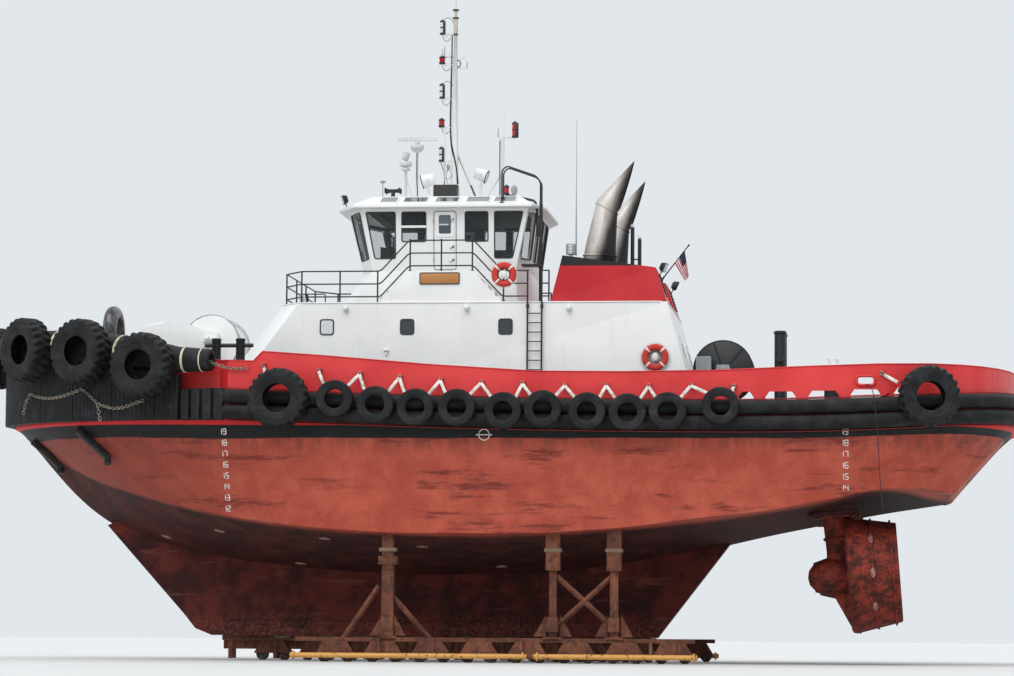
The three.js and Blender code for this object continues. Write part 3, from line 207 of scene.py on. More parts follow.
# ---- The yard's cradle: riveted steel beams on chocked bogies, with tall posts under the bilges.
# Years outdoors have turned the paint brown and scaly; the pipes beside the outer beams stay yellow.
def piece(name, shells, finish, body="tug", sharp=38, replaces=()):
    """Joins grids of points into one closed mesh.

    A shell is (points, wrap_u, wrap_v) with points[..., u, v, 3]: each cell of the grid is a face, a wrapped
    direction joins its last row to its first, and a row drawn together to one point closes an end. Faces are
    turned so that each shell's signed volume, the sum of a . (b x c) over its faces, is positive.
    """
    verts, faces, start = [], [], 0
    for points, wrap_u, wrap_v in shells:
        points = np.asarray(points, float)
        points = points.reshape((-1,) + points.shape[-3:])
        copies, n, m, _ = points.shape
        i, j = np.meshgrid(np.arange(n if wrap_u else n - 1), np.arange(m if wrap_v else m - 1), indexing="ij")
        quad = np.stack([i * m + j, (i + 1) % n * m + j, (i + 1) % n * m + (j + 1) % m, i * m + (j + 1) % m], -1)
        quad = quad.reshape(-1, 4)
        flat = points.reshape(copies, n * m, 3)
        a, b, c, d = (flat[0][quad[:, k]] - flat[0].mean(0) for k in range(4))
        if np.einsum("ij,ij->", a, np.cross(b, c)) + np.einsum("ij,ij->", a, np.cross(c, d)) < 0:
            quad = quad[:, ::-1]
        verts.append(flat.reshape(-1, 3))
        faces.append((quad[None] + (np.arange(copies) * n * m)[:, None, None] + start).reshape(-1, 4))
        start += copies * n * m
    mesh = bpy.data.meshes.new(name)
    mesh.from_pydata(np.concatenate(verts) + KEEL, [], np.concatenate(faces).tolist())
    return finished(name, mesh, finish, body, sharp, replaces)


def finished(name, mesh, finish, body, sharp, replaces, doubles=1e-5):
    work = bmesh.new()
    work.from_mesh(mesh)
    bmesh.ops.remove_doubles(work, verts=work.verts, dist=doubles)
    bmesh.ops.dissolve_degenerate(work, edges=work.edges, dist=doubles)
    work.to_mesh(mesh)
    work.free()
    mesh.polygons.foreach_set("use_smooth", [True] * len(mesh.polygons))
    mesh.set_sharp_from_angle(angle=math.radians(sharp))
    thing = bpy.data.objects.new(name, mesh)
    bpy.context.collection.objects.link(thing)
    mesh.materials.clear()
    mesh.materials.append(finish.material)
    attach(thing, body)
    for node in replaces:
        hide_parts(node)
    return thing


SIDES = ((1, "port"), (-1, "starboard"))
BODY_OF = {node: body for body, nodes in frame["record"]["behaviour"]["bodies"].items() for node in nodes}


def dressed(node, finish, sharp=35, bevel=0.0, steps=2):
    """Stands a merged, smoothly shaded copy in for a CAD node, with its edges broken by a small bevel."""
    mesh = frame["nodes"][node].data.copy()
    thing = finished(node + "_dressed", mesh, finish, BODY_OF[node], sharp, (node,), 2e-4)
    if bevel:
        edge = thing.modifiers.new("edge", "BEVEL")
        edge.width, edge.segments, edge.limit_method = bevel, steps, "ANGLE"
        edge.angle_limit = math.radians(40)
        edge.harden_normals = True
    return thing


def carried(profile, path, lean=(0, 0, 1), closed=False, scale=None):
    """A profile of (side, up) points carried along a path.

    Each ring is centre + side * s + up * u, where s is square to the path and to lean, and u to both. An open
    path ends in rings drawn together at their middles.
    """
    profile, path = np.asarray(profile, float), np.asarray(path, float)
    if closed:
        along = np.roll(path, -1, 0) - np.roll(path, 1, 0)
    else:
        along = np.gradient(path, axis=0)
    along = unit(along)
    side = unit(np.cross(along, np.asarray(lean, float)))
    over = np.cross(side, along)
    size = np.ones(len(path)) if scale is None else np.asarray(scale, float)
    rings = (path[:, None] + side[:, None] * profile[None, :, :1] * size[:, None, None]
             + over[:, None] * profile[None, :, 1:2] * size[:, None, None])
    if not closed:
        ends = [np.repeat(rings[k].mean(0)[None], len(profile), 0)[None] for k in (0, -1)]
        rings = np.concatenate([ends[0], rings, ends[1]])
    return rings, closed, True


def unit(vectors):
    """Vectors along the last axis, each brought to length one."""
    vectors = np.asarray(vectors, float)
    return vectors / np.linalg.norm(vectors, axis=-1, keepdims=True)


def circle(radius, sides=12):
    """Points at equal angles round a circle."""
    a = np.linspace(0, 2 * np.pi, sides, endpoint=False)
    return np.stack([radius * np.cos(a), radius * np.sin(a)], -1)


def oblong(width, height, radius, steps=4):
    """A rectangle with rounded corners, as points."""
    a = np.linspace(0, np.pi / 2, steps)
    corners = [(1, 1, 0), (-1, 1, 1), (-1, -1, 2), (1, -1, 3)]
    return np.concatenate([np.stack([sx * (width / 2 - radius) + radius * np.cos(a + k * np.pi / 2),
                                     sy * (height / 2 - radius) + radius * np.sin(a + k * np.pi / 2)], -1)
                           for sx, sy, k in corners])


def pipe(path, radius, sides=10, lean=(0, 0, 1), closed=False):
    """A round tube along a path."""
    return carried(circle(radius, sides), path, lean, closed)


def slab(low, high, radius=0.01):
    """A block whose long edges are rounded: rounded rectangles stacked in z, drawn in at both ends."""
    low, high = np.asarray(low, float), np.asarray(high, float)
    size, mid = high - low, (low + high) / 2
    r = min(radius, *(size / 2.01))
    rings = []
    for z, inset in ((low[2], r), (low[2] + r * 0.3, r * 0.3), (low[2] + r, 0), (high[2] - r, 0),
                     (high[2] - r * 0.3, r * 0.3), (high[2], r)):
        ring = oblong(size[0] - 2 * inset, size[1] - 2 * inset, max(r - inset, r * 0.2))
        rings.append(np.column_stack([ring + mid[:2], np.full(len(ring), z)]))
    return drawn_together(np.array(rings)), False, True


def drawn_together(rings):
    """Closes both ends of a stack of rings at their middles."""
    ends = [np.repeat(rings[k].mean(0)[None], rings.shape[1], 0)[None] for k in (0, -1)]
    return np.concatenate([ends[0], rings, ends[1]])


def basis(axis, lean=(0, 0, 1)):
    """Three unit vectors: two square to the axis, and the axis."""
    axis = unit(axis)
    side = unit(np.cross(lean if abs(np.dot(axis, lean)) < 0.95 else (1.0, 0, 0), axis))
    return side, np.cross(axis, side), axis


def turned(profile, centre, axis=(0, 0, 1), sides=32, closed=False):
    """A profile of (radius, height) points turned round an axis through centre."""
    profile = np.asarray(profile, float)
    s, t, n = basis(axis)
    a = np.linspace(0, 2 * np.pi, sides, endpoint=False)
    spoke = np.cos(a)[:, None] * s + np.sin(a)[:, None] * t
    points = (np.asarray(centre, float) + profile[:, None, :1] * spoke[None] + profile[:, None, 1:] * n)
    return points, closed, True


def stud(radius, edge, top_radius, height, centre=(0, 0, 0), axis=(0, 1, 0), sides=6):
    """A bolt head or foot plate: a disc with a sloping rim."""
    return turned([(0, 0), (radius, 0), (radius, edge), (top_radius, height), (0, height)], centre, axis, sides)


def repeated(shell, centres, turns=None):
    """Copies of a shell drawn round the origin, moved to centres after turning by 3 by 3 matrices."""
    points, wrap_u, wrap_v = shell
    centres = np.asarray(centres, float)
    if turns is None:
        turns = np.broadcast_to(np.eye(3), (len(centres), 3, 3))
    placed = np.einsum("kij,uvj->kuvi", np.asarray(turns, float), points) + centres[:, None, None]
    return placed, wrap_u, wrap_v


def mottled(name, noise, under, over, rise=None, rough=None, relief=None, **sockets):
    """A two-toned finish: one noise drives its colour and, where given, its roughness and relief."""
    f = Finish(name, **sockets)
    speckle = f.noise(*noise)
    f.set(Base_Color=f.mix(speckle.rise(*rise) if rise else speckle, under, over))
    if rough:
        f.set(Roughness=rough[0] + speckle * rough[1])
    if relief:
        f.relief((speckle, *relief))
    return f


rusty = Finish("rusty_cradle_steel")
flakes, grime = rusty.noise(5, 6, 0.7), rusty.noise(1.1, 4)
runs = rusty.noise(2.2, 4, 0.6, (6, 6, 0.7))
scale = flakes.rise(0.48, 0.62)
colour = rusty.mix(grime.rise(0.35, 0.7), (0.105, 0.034, 0.019), (0.20, 0.068, 0.034))
colour = rusty.mix(scale * 0.7, colour, (0.045, 0.022, 0.016))
colour = rusty.mix(runs.rise(0.55, 0.75) * 0.6, colour, (0.30, 0.12, 0.05))
rusty.set(Base_Color=colour, Roughness=0.72 + flakes * 0.25, Metallic=0.15)
rusty.relief((flakes, 0.5, 0.012), (grime, 0.3, 0.03))
for node in ("cradle_keel_row", "cradle_row_port", "cradle_row_starboard"):
    dressed(node, rusty, bevel=0.012)

wheel_steel = mottled("rolled_wheel_steel", (9, 5), (0.05, 0.035, 0.03), (0.16, 0.13, 0.11), (0.4, 0.7), (0.45, 0.4),
                      (0.3, 0.006), Metallic=0.7)
wheel = [(0.0, -0.17), (0.055, -0.17), (0.06, -0.155), (0.115, -0.15), (0.125, -0.158), (0.164, -0.158),
         (0.168, -0.15), (0.168, -0.12), (0.156, -0.11), (0.156, 0.11), (0.168, 0.12), (0.168, 0.15),
         (0.164, 0.158), (0.125, 0.158), (0.115, 0.15), (0.06, 0.155), (0.055, 0.17), (0.0, 0.17)]
ROW_Y, BOGIE_PITCH = 5.35, 1.35
starts = {"keel": (-3.9, 9, 0.0), "port": (-5.3, 8, ROW_Y), "starboard": (-5.3, 8, -ROW_Y)}
for row, (first, count, y) in starts.items():
    centres = [(first + BOGIE_PITCH * i + d, y, 0.17 - KEEL[2]) for i in range(count) for d in (-0.33, 0.33)]
    piece(f"cradle_wheels_{row}", [repeated(turned(wheel, (0, 0, 0), (0, 1, 0), 28), centres)],
          wheel_steel)

# Bolted plates, wedges and gussets that hold the posts up
bolt = stud(0.032, 0.018, 0.026, 0.024)
post_trim, timber = [], []
for x, wide in ((2.69, 0.165), (-1.95, 0.195), (-3.66, 0.195)):
    for side in (1, -1):
        face = side * (ROW_Y + wide)
        centres = [(x + dx, face, z) for z in (0.25, 0.55, 1.95, 2.15, 3.05) for dx in (-0.1, 0.1)]
        post_trim.append(repeated(bolt, centres, [np.diag([1, side, 1])] * len(centres)))
        for z in (0.35, 2.05):
            low, high = sorted((face, face + side * 0.02))
            post_trim.append(slab((x - 0.16, low, z - 0.2), (x + 0.16, high, z + 0.2), 0.008))
        for dx in (-1, 1):
            foot = np.array([[x + dx * wide, 0.02], [x + dx * (wide + 0.34), 0.02], [x + dx * wide, 0.62]])
            rings = np.array([[(px, side * ROW_Y + dy, pz) for px, pz in foot] for dy in (-0.02, 0.02)])
            post_trim.append((drawn_together(rings), False, True))
        timber.append(slab((x - 0.24, side * ROW_Y - 0.2, 2.36), (x + 0.24, side * ROW_Y + 0.2, 2.47), 0.02))
for x in np.arange(-4.0, 8.3, BOGIE_PITCH):
    for y in (-0.31, 0.31):
        post_trim.append(slab((x - 0.06, y - 0.012, -0.68), (x + 0.06, y + 0.012, -0.16), 0.006))
        post_trim.append(repeated(bolt, [(x, y + math.copysign(0.012, y), z) for z in (-0.3, -0.56)],
                                  [np.diag([1, np.sign(y), 1])] * 2))
piece("cradle_post_plates", post_trim, rusty)

wood = mottled("weathered_packing_timber", (14, 6, 0.6, (0.25, 3, 3)), (0.10, 0.06, 0.035), (0.26, 0.18, 0.11),
               relief=(0.6, 0.01), Roughness=0.85)
for x in np.arange(-3.9, 8.2, BOGIE_PITCH):
    timber.append(slab((x - 0.55, -0.36, -0.075), (x - 0.1, 0.36, -0.004), 0.01))
piece("cradle_packing_blocks", timber, wood)

yellow = Finish("chipped_yellow_paint")
chips = yellow.noise(7, 5, 0.7)
yellow.set(Base_Color=yellow.mix(chips.rise(0.56, 0.66), (0.62, 0.31, 0.07), (0.14, 0.06, 0.03)),
           Roughness=0.5 + chips.rise(0.5, 0.7) * 0.4)
yellow.relief((chips, 0.3, 0.006))
pipes = []
for side in (1, -1):
    for x0, x1 in ((-5.99, -1.45), (-1.25, 5.39)):
        s = np.linspace(x0, x1, 40)
        pipes.append(pipe(np.stack([s, 0 * s + side * 5.71, 0 * s - 0.54], -1), 0.076, 18))
    for x in (-5.9, -1.55, -1.15, 5.3):
        pipes.append(turned([(0, -0.03), (0.115, -0.03), (0.12, -0.02), (0.12, 0.02), (0.115, 0.03), (0, 0.03)],
                            (x, side * 5.71, -0.54), (1, 0, 0), 24))
piece("cradle_yellow_pipes", pipes, yellow)


# ---- The hull: welded steel plates over frames, with a hard chine and a cut-up counter astern.
# Red enamel above a black boot-top, brick-red bottom paint below it, scuffed and worn through in patches.
def both(*shells):
    """The shells and their mirror images across the centre line."""
    flip = np.array([1, -1, 1])
    return [*shells, *((np.asarray(p, float) * flip, u, v) for p, u, v in shells)]


def fair(table, x):
    """Straight lines between a table's rows, averaged over up to half a metre either side of x."""
    table = np.asarray(table, float)
    reach = np.minimum(0.5, np.minimum(np.abs(x + 13.05), np.minimum(x + 14.95, 14.63 - x) + 0.001) * 0.5)
    spread = np.linspace(-1, 1, 9)[:, None]
    return np.mean([np.interp(x + reach * s, table[:, 0], table[:, 1]) for s in spread[:, 0]], 0)


HALF_BEAM, BOW_START, BOW_REACH, STERN_START, STERN_REACH = 6.1, 4.5, 10.25, -9, 5.95


def deck_edge(x):
    """Half-breadth: an ellipse forward of x = 4.5, 6.1 m amidships, a squared superellipse aft of x = -9."""
    bow = HALF_BEAM * np.sqrt(np.clip(1 - ((x - BOW_START) / BOW_REACH) ** 2, 0, 1))
    stern = HALF_BEAM * np.clip(1 - (np.clip(STERN_START - x, 0, 9) / 6.05) ** 4, 0, 1) ** (1 / 2.4)
    return np.where(x > BOW_START, bow, np.where(x < STERN_START, stern, HALF_BEAM))


def sheer(x):
    """Height of the fender's middle: a parabola with its low point at x = -7.5, steeper astern."""
    return 6.13 + (x + 7.5) ** 2 * np.where(x > -7.5, 0.00157, 0.0065)


def outward(x):
    """Unit normal of the port deck edge in plan, from its slope."""
    slope = (deck_edge(x + 0.02) - deck_edge(x - 0.02)) / 0.04
    long = np.hypot(slope, 1)
    return np.stack([-slope / long, 1 / long, 0 * slope], -1)


LINES = np.array([
    (-14.95, 6.00, 1.70, 6.03), (-14.5, 5.65, 3.10, 5.68), (-14.0, 5.08, 3.65, 5.12), (-13.5, 4.50, 3.95, 4.56),
    (-13.05, 3.95, 4.15, 4.04), (-12.4, 3.85, 4.85, 4.18), (-11.1, 3.65, 5.35, 4.16), (-9.9, 3.42, 5.60, 3.91),
    (-7.8, 3.00, 5.75, 3.51), (-6.1, 2.60, 5.80, 3.33), (-4.0, 2.20, 5.82, 3.05), (-1.6, 1.85, 5.85, 2.88),
    (2.6, 1.72, 5.80, 2.88), (5.1, 1.85, 5.50, 3.05), (7.3, 2.05, 4.90, 3.35), (9.0, 2.30, 4.15, 3.70),
    (10.8, 2.75, 3.00, 4.18), (12.0, 3.36, 1.85, 4.56), (12.8, 3.97, 1.15, 4.90), (13.45, 4.64, 0.70, 5.25),
    (14.0, 5.30, 0.45, 5.64), (14.6238, 5.96, 0.30, 6.00)])


def shell_side(x, t):
    """Point on the port side: t from 0 at the chine to 1 at the fender's foot, on a straight frame."""
    y0, z0 = fair(LINES[:, [0, 2]], x), fair(LINES[:, [0, 3]], x)
    z1 = np.minimum(sheer(x) - 0.5, 6.05)
    return np.stack([x, y0 + (deck_edge(x) - y0) * t, z0 + (z1 - z0) * t], -1)


stations = np.concatenate([STERN_START - STERN_REACH * np.sin(np.linspace(np.pi / 2, 0, 40)),
                           np.linspace(STERN_START, BOW_START, 50)[1:],
                           BOW_START + BOW_REACH * np.sin(np.radians(np.linspace(0, 81, 56)[1:]))])
yd, foot = deck_edge(stations), np.minimum(sheer(stations) - 0.5, 6.05)
keel_z = fair(LINES[:, [0, 1]], stations)
chine = shell_side(stations, 0.0)
zero = 0 * stations
corners = [np.stack([stations, zero, keel_z], -1), chine, np.stack([stations, yd, foot], -1),
           np.stack([stations, yd, sheer(stations) + 0.38], -1), np.stack([stations, zero, sheer(stations) + 0.38], -1)]
rows = [np.linspace(a, b, n, endpoint=False) for a, b, n in zip(corners, corners[1:] + corners[:1], (10, 14, 3, 8, 6))]
half = np.concatenate(rows).transpose(1, 0, 2)
camber = half[:, :, 1] / np.maximum(yd, 0.1)[:, None]
half[:, 27:36, 2] += 0.012 * (1 - camber[:, 27:36] ** 2)

hull_paint = f = Finish("hull_paint", Specular_IOR_Level=0.25)
blotch, fine, broad = f.noise(1.3, 6, 0.65), f.noise(9, 5, 0.7), f.noise(0.28, 4)
drag = f.noise(1.0, 6, 0.7, (0.45, 0.45, 3.2))
fall = f.noise(1.6, 5, 0.6, (2.6, 2.6, 0.22))
brick = f.mix(blotch.rise(0.35, 0.68), (0.36, 0.056, 0.032), (0.47, 0.092, 0.055))
brick = f.mix(drag.rise(0.54, 0.66) * 0.85, brick, (0.150, 0.022, 0.015))
brick = f.mix(fine.rise(0.56, 0.68) * drag.rise(0.42, 0.56) * 0.75, brick, (0.125, 0.060, 0.052))
brick = f.mix(f.z.rise(4.95, 5.45) * fall.rise(0.40, 0.62) * 0.55, brick, (0.15, 0.040, 0.030))
brick = f.mix(fall.rise(0.58, 0.76) * 0.3, brick, (0.54, 0.15, 0.09))
forward = f.x.rise(4.5, 11.0)
brick = f.mix(forward * 0.55, brick, (0.15, 0.028, 0.020))
chine_height = f.curve(f.x, -15, 15, [(-15, 1), (-13.5, 0.76), (-13.05, 0.673), (-11.1, 0.693), (-9.9, 0.652),
                                      (-7.8, 0.585), (-4, 0.508), (-1.6, 0.48), (2.6, 0.48), (5.1, 0.508),
                                      (7.3, 0.558), (9, 0.617), (10.8, 0.697), (12, 0.76), (13.45, 0.875),
                                      (15, 1)]) * 6.0
bottom = 1 - (f.z - chine_height).rise(-0.10, 0.02)
# Below the chine the bottom is dark maroon: partly darker bottom paint and partly painted shade on the down-facing
# plates.
shaded_bottom_maroon = f.mix(blotch.rise(0.4, 0.65), (0.035, 0.008, 0.008), (0.085, 0.019, 0.015))
shaded_bottom_maroon = f.mix(fine.rise(0.6, 0.75) * 0.5, shaded_bottom_maroon, (0.13, 0.05, 0.04))
# Painted shade: near black under the counter astern.
shaded_bottom_maroon = f.mix((1 - f.x.rise(-11.5, -8.5)) * 0.75, shaded_bottom_maroon, (0.012, 0.011, 0.011))
under = f.mix(bottom, brick, shaded_bottom_maroon)
boot = f.mix(fine.rise(0.5, 0.7) * 0.5, (0.007, 0.008, 0.009), (0.035, 0.024, 0.02))
boot_low = f.z + (drag - 0.5) * 0.10 - f.x.rise(6, 14) * 0.16 - (1 - f.x.rise(-14, -8)) * 0.16
enamel = f.mix(broad.rise(0.3, 0.7), (0.54, 0.018, 0.020), (0.64, 0.030, 0.030))
enamel = f.mix(fall.rise(0.62, 0.8) * 0.5, enamel, (0.22, 0.02, 0.018))
colour = f.mix(boot_low.rise(5.49, 5.53), under, boot)
colour = f.mix((f.z - f.x.rise(5, 13) * 0.12).rise(5.86, 5.88), colour, enamel)
tread = f.mix(blotch.rise(0.4, 0.6), (0.055, 0.058, 0.06), (0.10, 0.10, 0.10))
tread = f.mix(fine.rise(0.55, 0.7) * 0.6, tread, (0.13, 0.055, 0.035))
on_deck = f.facing_up.rise(0.85, 0.95)
plates = (f.x.seam(2.44, 0.05) * 0.8).either(f.z.seam(1.22, 0.035))
f.set(Base_Color=f.mix(on_deck, colour, tread), Roughness=0.50 + blotch * 0.25 + bottom * 0.12)
dents = f.noise(0.9, 3, 0.5, (1.2, 1.2, 0.8))
f.relief((plates, 0.35, 0.008), (fine, 0.18, 0.012), (dents, 0.35, 0.05), (f.cells(30) * on_deck, 0.35, 0.004))
trunk = turned([(0, 1.66), (0.70, 1.66), (0.76, 1.70), (0.76, 1.76), (0.735, 1.79), (0.735, 2.6), (0, 2.6)], (0, 0, 0),
               (0, 0, 1), 48)
LEG_LEAN = 0.07505
tilt = np.array([[math.cos(LEG_LEAN), 0, math.sin(LEG_LEAN)], [0, 1, 0], [-math.sin(LEG_LEAN), 0, math.cos(LEG_LEAN)]])
leg_foot = np.array([-9.85, 3.2, 1.78])
ring_bolt = stud(0.03, 0.02, 0.02, 0.028, axis=(0, 0, -1))
spots = np.stack([0.60 * np.cos(np.arange(24) * np.pi / 12), 0.60 * np.sin(np.arange(24) * np.pi / 12),
                  np.full(24, 1.66 + 0.05)], -1) @ tilt.T + leg_foot
trunk_there = (trunk[0] + (0, 0, 0.045)) @ tilt.T + leg_foot
piece("hull_plating", both((drawn_together(half), False, True), (trunk_there, False, True), repeated(ring_bolt, spots)),
      hull_paint, sharp=24, replaces=("hull",))

keel_paint = f = Finish("skeg_paint", Specular_IOR_Level=0.25)
patch, speck = f.noise(1.0, 6, 0.7), f.noise(12, 5, 0.7)
scrape = f.noise(1.5, 6, 0.65, (0.4, 1, 2.5))
colour = f.mix(patch.rise(0.4, 0.62), (0.038, 0.007, 0.007), (0.12, 0.020, 0.014))
colour = f.mix(scrape.rise(0.58, 0.7) * 0.55, colour, (0.20, 0.06, 0.042))
colour = f.mix(f.z.rise(0.9, 0.1) * speck.rise(0.45, 0.6) * 0.8, colour, (0.17, 0.055, 0.035))
f.set(Base_Color=colour, Roughness=0.66 + patch * 0.2)
f.relief((speck, 0.35, 0.012), ((f.x - f.z * 0.5).seam(1.9, 0.05), 0.3, 0.01), (patch, 0.25, 0.04))
dressed("skeg", keel_paint, bevel=0.02, steps=3)

# White draft figures, a foot apart, on the shell at bow and stern, and the load-line ring amidships
def on_side(x, z, off=0.004):
    """The port shell at (x, z): t is found where the frame through x reaches z, then stands off along its normal."""
    low, high = shell_side(x, 0.0), shell_side(x, 1.0)
    t = (z - low[..., 2]) / (high[..., 2] - low[..., 2])
    spot = shell_side(x, t)
    ahead_of = shell_side(x + 0.05, t) - shell_side(x - 0.05, t)
    normal = unit(np.cross(high - low, ahead_of))
    normal *= np.sign(normal[..., 1:2])
    return spot + normal * off


def painted(name, strokes, finish):
    """Flat strips laid on the shell: each stroke is a line of (x, z) with a width, as a strip 3 mm proud."""
    shells = []
    for line, width in strokes:
        line = np.asarray(line, float)
        at, knots = np.linspace(0, 1, 24), np.linspace(0, 1, len(line))
        line = np.stack([np.interp(at, knots, line[:, k]) for k in (0, 1)], -1)
        along = np.gradient(line, axis=0)
        along /= np.linalg.norm(along, axis=1)[:, None] + 1e-9
        across = np.stack([-along[:, 1], along[:, 0]], -1) * width / 2
        rims = [on_side(*(line + across * s).T, off) for s, off in ((1, -0.004), (1, 0.004), (-1, 0.004), (-1, -0.004))]
        shells.append((drawn_together(np.stack(rims, 1)), False, True))
    return piece(name, both(*shells), finish, sharp=60)


SEGMENTS = {"a": ((0, 2), (1, 2)), "b": ((1, 2), (1, 1)), "c": ((1, 1), (1, 0)), "d": ((0, 0), (1, 0)),
            "e": ((0, 1), (0, 0)), "f": ((0, 2), (0, 1)), "g": ((0, 1), (1, 1))}
DIGITS = {"1": "bc", "2": "abged", "3": "abgcd", "4": "fgbc", "5": "afgcd", "6": "afgedc", "7": "abc",
          "8": "abcdefg", "9": "abcdfg"}


def figure(text, x, z, height=0.15):
    """Stencilled figures of straight strokes; on the port side the bow is to the left, so text runs aft."""
    strokes = []
    for k, digit in enumerate(text):
        for name in DIGITS[digit]:
            (x0, z0), (x1, z1) = SEGMENTS[name]
            left = x - k * height * 0.85
            strokes.append((((left - x0 * height * 0.55, z + z0 * height / 2),
                             (left - x1 * height * 0.55, z + z1 * height / 2)), height * 0.17))
    return strokes


mark_paint = Finish("white_mark_paint", Roughness=0.7)
worn = mark_paint.noise(14, 5, 0.7)
mark_paint.set(Base_Color=mark_paint.mix(worn.rise(0.5, 0.65) * 0.7, (0.66, 0.62, 0.58), (0.35, 0.13, 0.10)))
mark_paint.relief((worn, 0.2, 0.002))
strokes = []
FOOT_LENGTH = 0.3048
for foot_mark in range(12, 20):
    strokes += figure(str(foot_mark), 7.50, 3.50 + (foot_mark - 12) * FOOT_LENGTH)
    if foot_mark > 13:
        strokes += figure(str(foot_mark), -9.93, 4.09 + (foot_mark - 14) * FOOT_LENGTH)
ring = [(-0.07 + 0.15 * math.cos(a), 5.60 + 0.15 * math.sin(a)) for a in np.linspace(0, 2 * np.pi, 24)]
strokes += [(ring, 0.028), (((-0.30, 5.60), (0.16, 5.60)), 0.028)]
painted("hull_draft_marks", strokes, mark_paint)

# Zinc bars bolted low on the shell against corrosion
zinc = mottled("pitted_zinc", (22, 5, 0.7), (0.20, 0.075, 0.06), (0.42, 0.33, 0.29), (0.4, 0.65), (0.6, 0.3),
               (0.5, 0.006), Metallic=0.25)
bar_profile = [(0, 0), (0.17, 0), (0.19, 0.012), (0.19, 0.035), (0.16, 0.05), (0, 0.05)]
anodes = []
for spot, normal in (((7.97, 3.01, 3.02), (0.24, 0.27, -0.93)), ((4.66, 4.40, 2.77), (0.09, 0.21, -0.97)),
                     ((1.89, 4.19, 2.56), (-0.01, 0.19, -0.98)), ((5.96, 0.89, 2.14), (0.11, 0.23, -0.97)),
                     ((9.98, 0.90, 2.91), (0.29, 0.36, -0.89)), ((-0.05, 1.42, 2.06), (-0.02, 0.18, -0.98))):
    n = unit(normal)
    s = unit(np.array([1.0, 0, 0]) - n * n[0])
    turn = np.stack([s * 0.9, np.cross(n, s) * 0.3, n], -1)
    anodes.append(repeated(turned(bar_profile, (0, 0, 0), (0, 0, 1), 20), [spot], [turn]))
piece("hull_zinc_bars", both(*anodes), zinc, sharp=50)

# Angle bars with turned-up feet under the bow, two a side, that keep lines off the stem
bars = []
black_steel = mottled("satin_black_steel", (6, 5, 0.6), (0.010, 0.011, 0.012), (0.035, 0.033, 0.032), (0.45, 0.7),
                      (0.42, 0.3), (0.25, 0.006), Metallic=0.1)
for side, (xa, za), (xb, zb) in ((1, (13.95, 5.75), (13.15, 4.95)), (1, (11.95, 5.93), (11.0, 5.05)),
                                 (-1, (13.95, 5.75), (13.15, 4.95)), (-1, (11.95, 5.93), (11.0, 5.05))):
    s = np.linspace(0, 1, 26)
    run_x, run_z = xa + (xb - xa) * s, za + (zb - za) * s
    stand = 0.10 + 0.16 * np.clip((s - 0.86) / 0.14, 0, 1)
    spine = on_side(run_x, run_z, 0.0)
    normal = on_side(run_x, run_z, 1.0) - spine
    path = (spine + normal * stand[:, None]) * (1, side, 1)
    lean = normal.mean(0) * (1, side, 1)
    bars.append(carried(oblong(0.17, 0.20, 0.02, 3), path, lean))
piece("bow_angle_bars", bars, black_steel, sharp=40)


# ---- Two steerable thrusters: a cast leg and bulb carry a propeller inside a welded steel nozzle.
# The paint has worn to bare rust along the nozzle's edges, and zincs are bolted round it.
def ellipse(centre, first, second, count):
    """centre + first cos a + second sin a, at equal angles a."""
    a = np.linspace(0, 2 * np.pi, count, endpoint=False)[:, None]
    return np.asarray(centre, float) + np.cos(a) * np.asarray(first, float) + np.sin(a) * np.asarray(second, float)


def in_leg(points, side):
    """From the leg's own upright frame: leaned 4.3 degrees about y, then set down at the leg's foot."""
    return points @ tilt.T + leg_foot * (1, side, 1)


pod_paint = f = Finish("thruster_paint", Specular_IOR_Level=0.3)
wear, speck = f.noise(3.2, 6, 0.7), f.noise(16, 5, 0.7)
streak = f.noise(3, 6, 0.6, (1, 1, 0.25))
colour = f.mix(wear.rise(0.38, 0.66), (0.055, 0.010, 0.007), (0.25, 0.030, 0.016))
colour = f.mix(speck.rise(0.54, 0.64) * wear.rise(0.40, 0.52), colour, (0.36, 0.055, 0.026))
colour = f.mix(streak.rise(0.58, 0.7) * 0.7, colour, (0.035, 0.014, 0.011))
colour = f.mix(speck.rise(0.64, 0.72) * 0.8, colour, (0.24, 0.12, 0.08))
f.set(Base_Color=colour, Roughness=0.48 + speck * 0.4, Metallic=0.1)
f.relief((speck, 0.4, 0.010), (wear, 0.3, 0.03))
painted_zinc = mottled("painted_zinc", (20, 5, 0.7), (0.20, 0.060, 0.045), (0.34, 0.20, 0.16), (0.4, 0.65), (0.6, 0.3),
                       (0.5, 0.006))
for side, label in SIDES:
    dressed(f"thruster_{label}", pod_paint, sharp=42, bevel=0.018, steps=3)

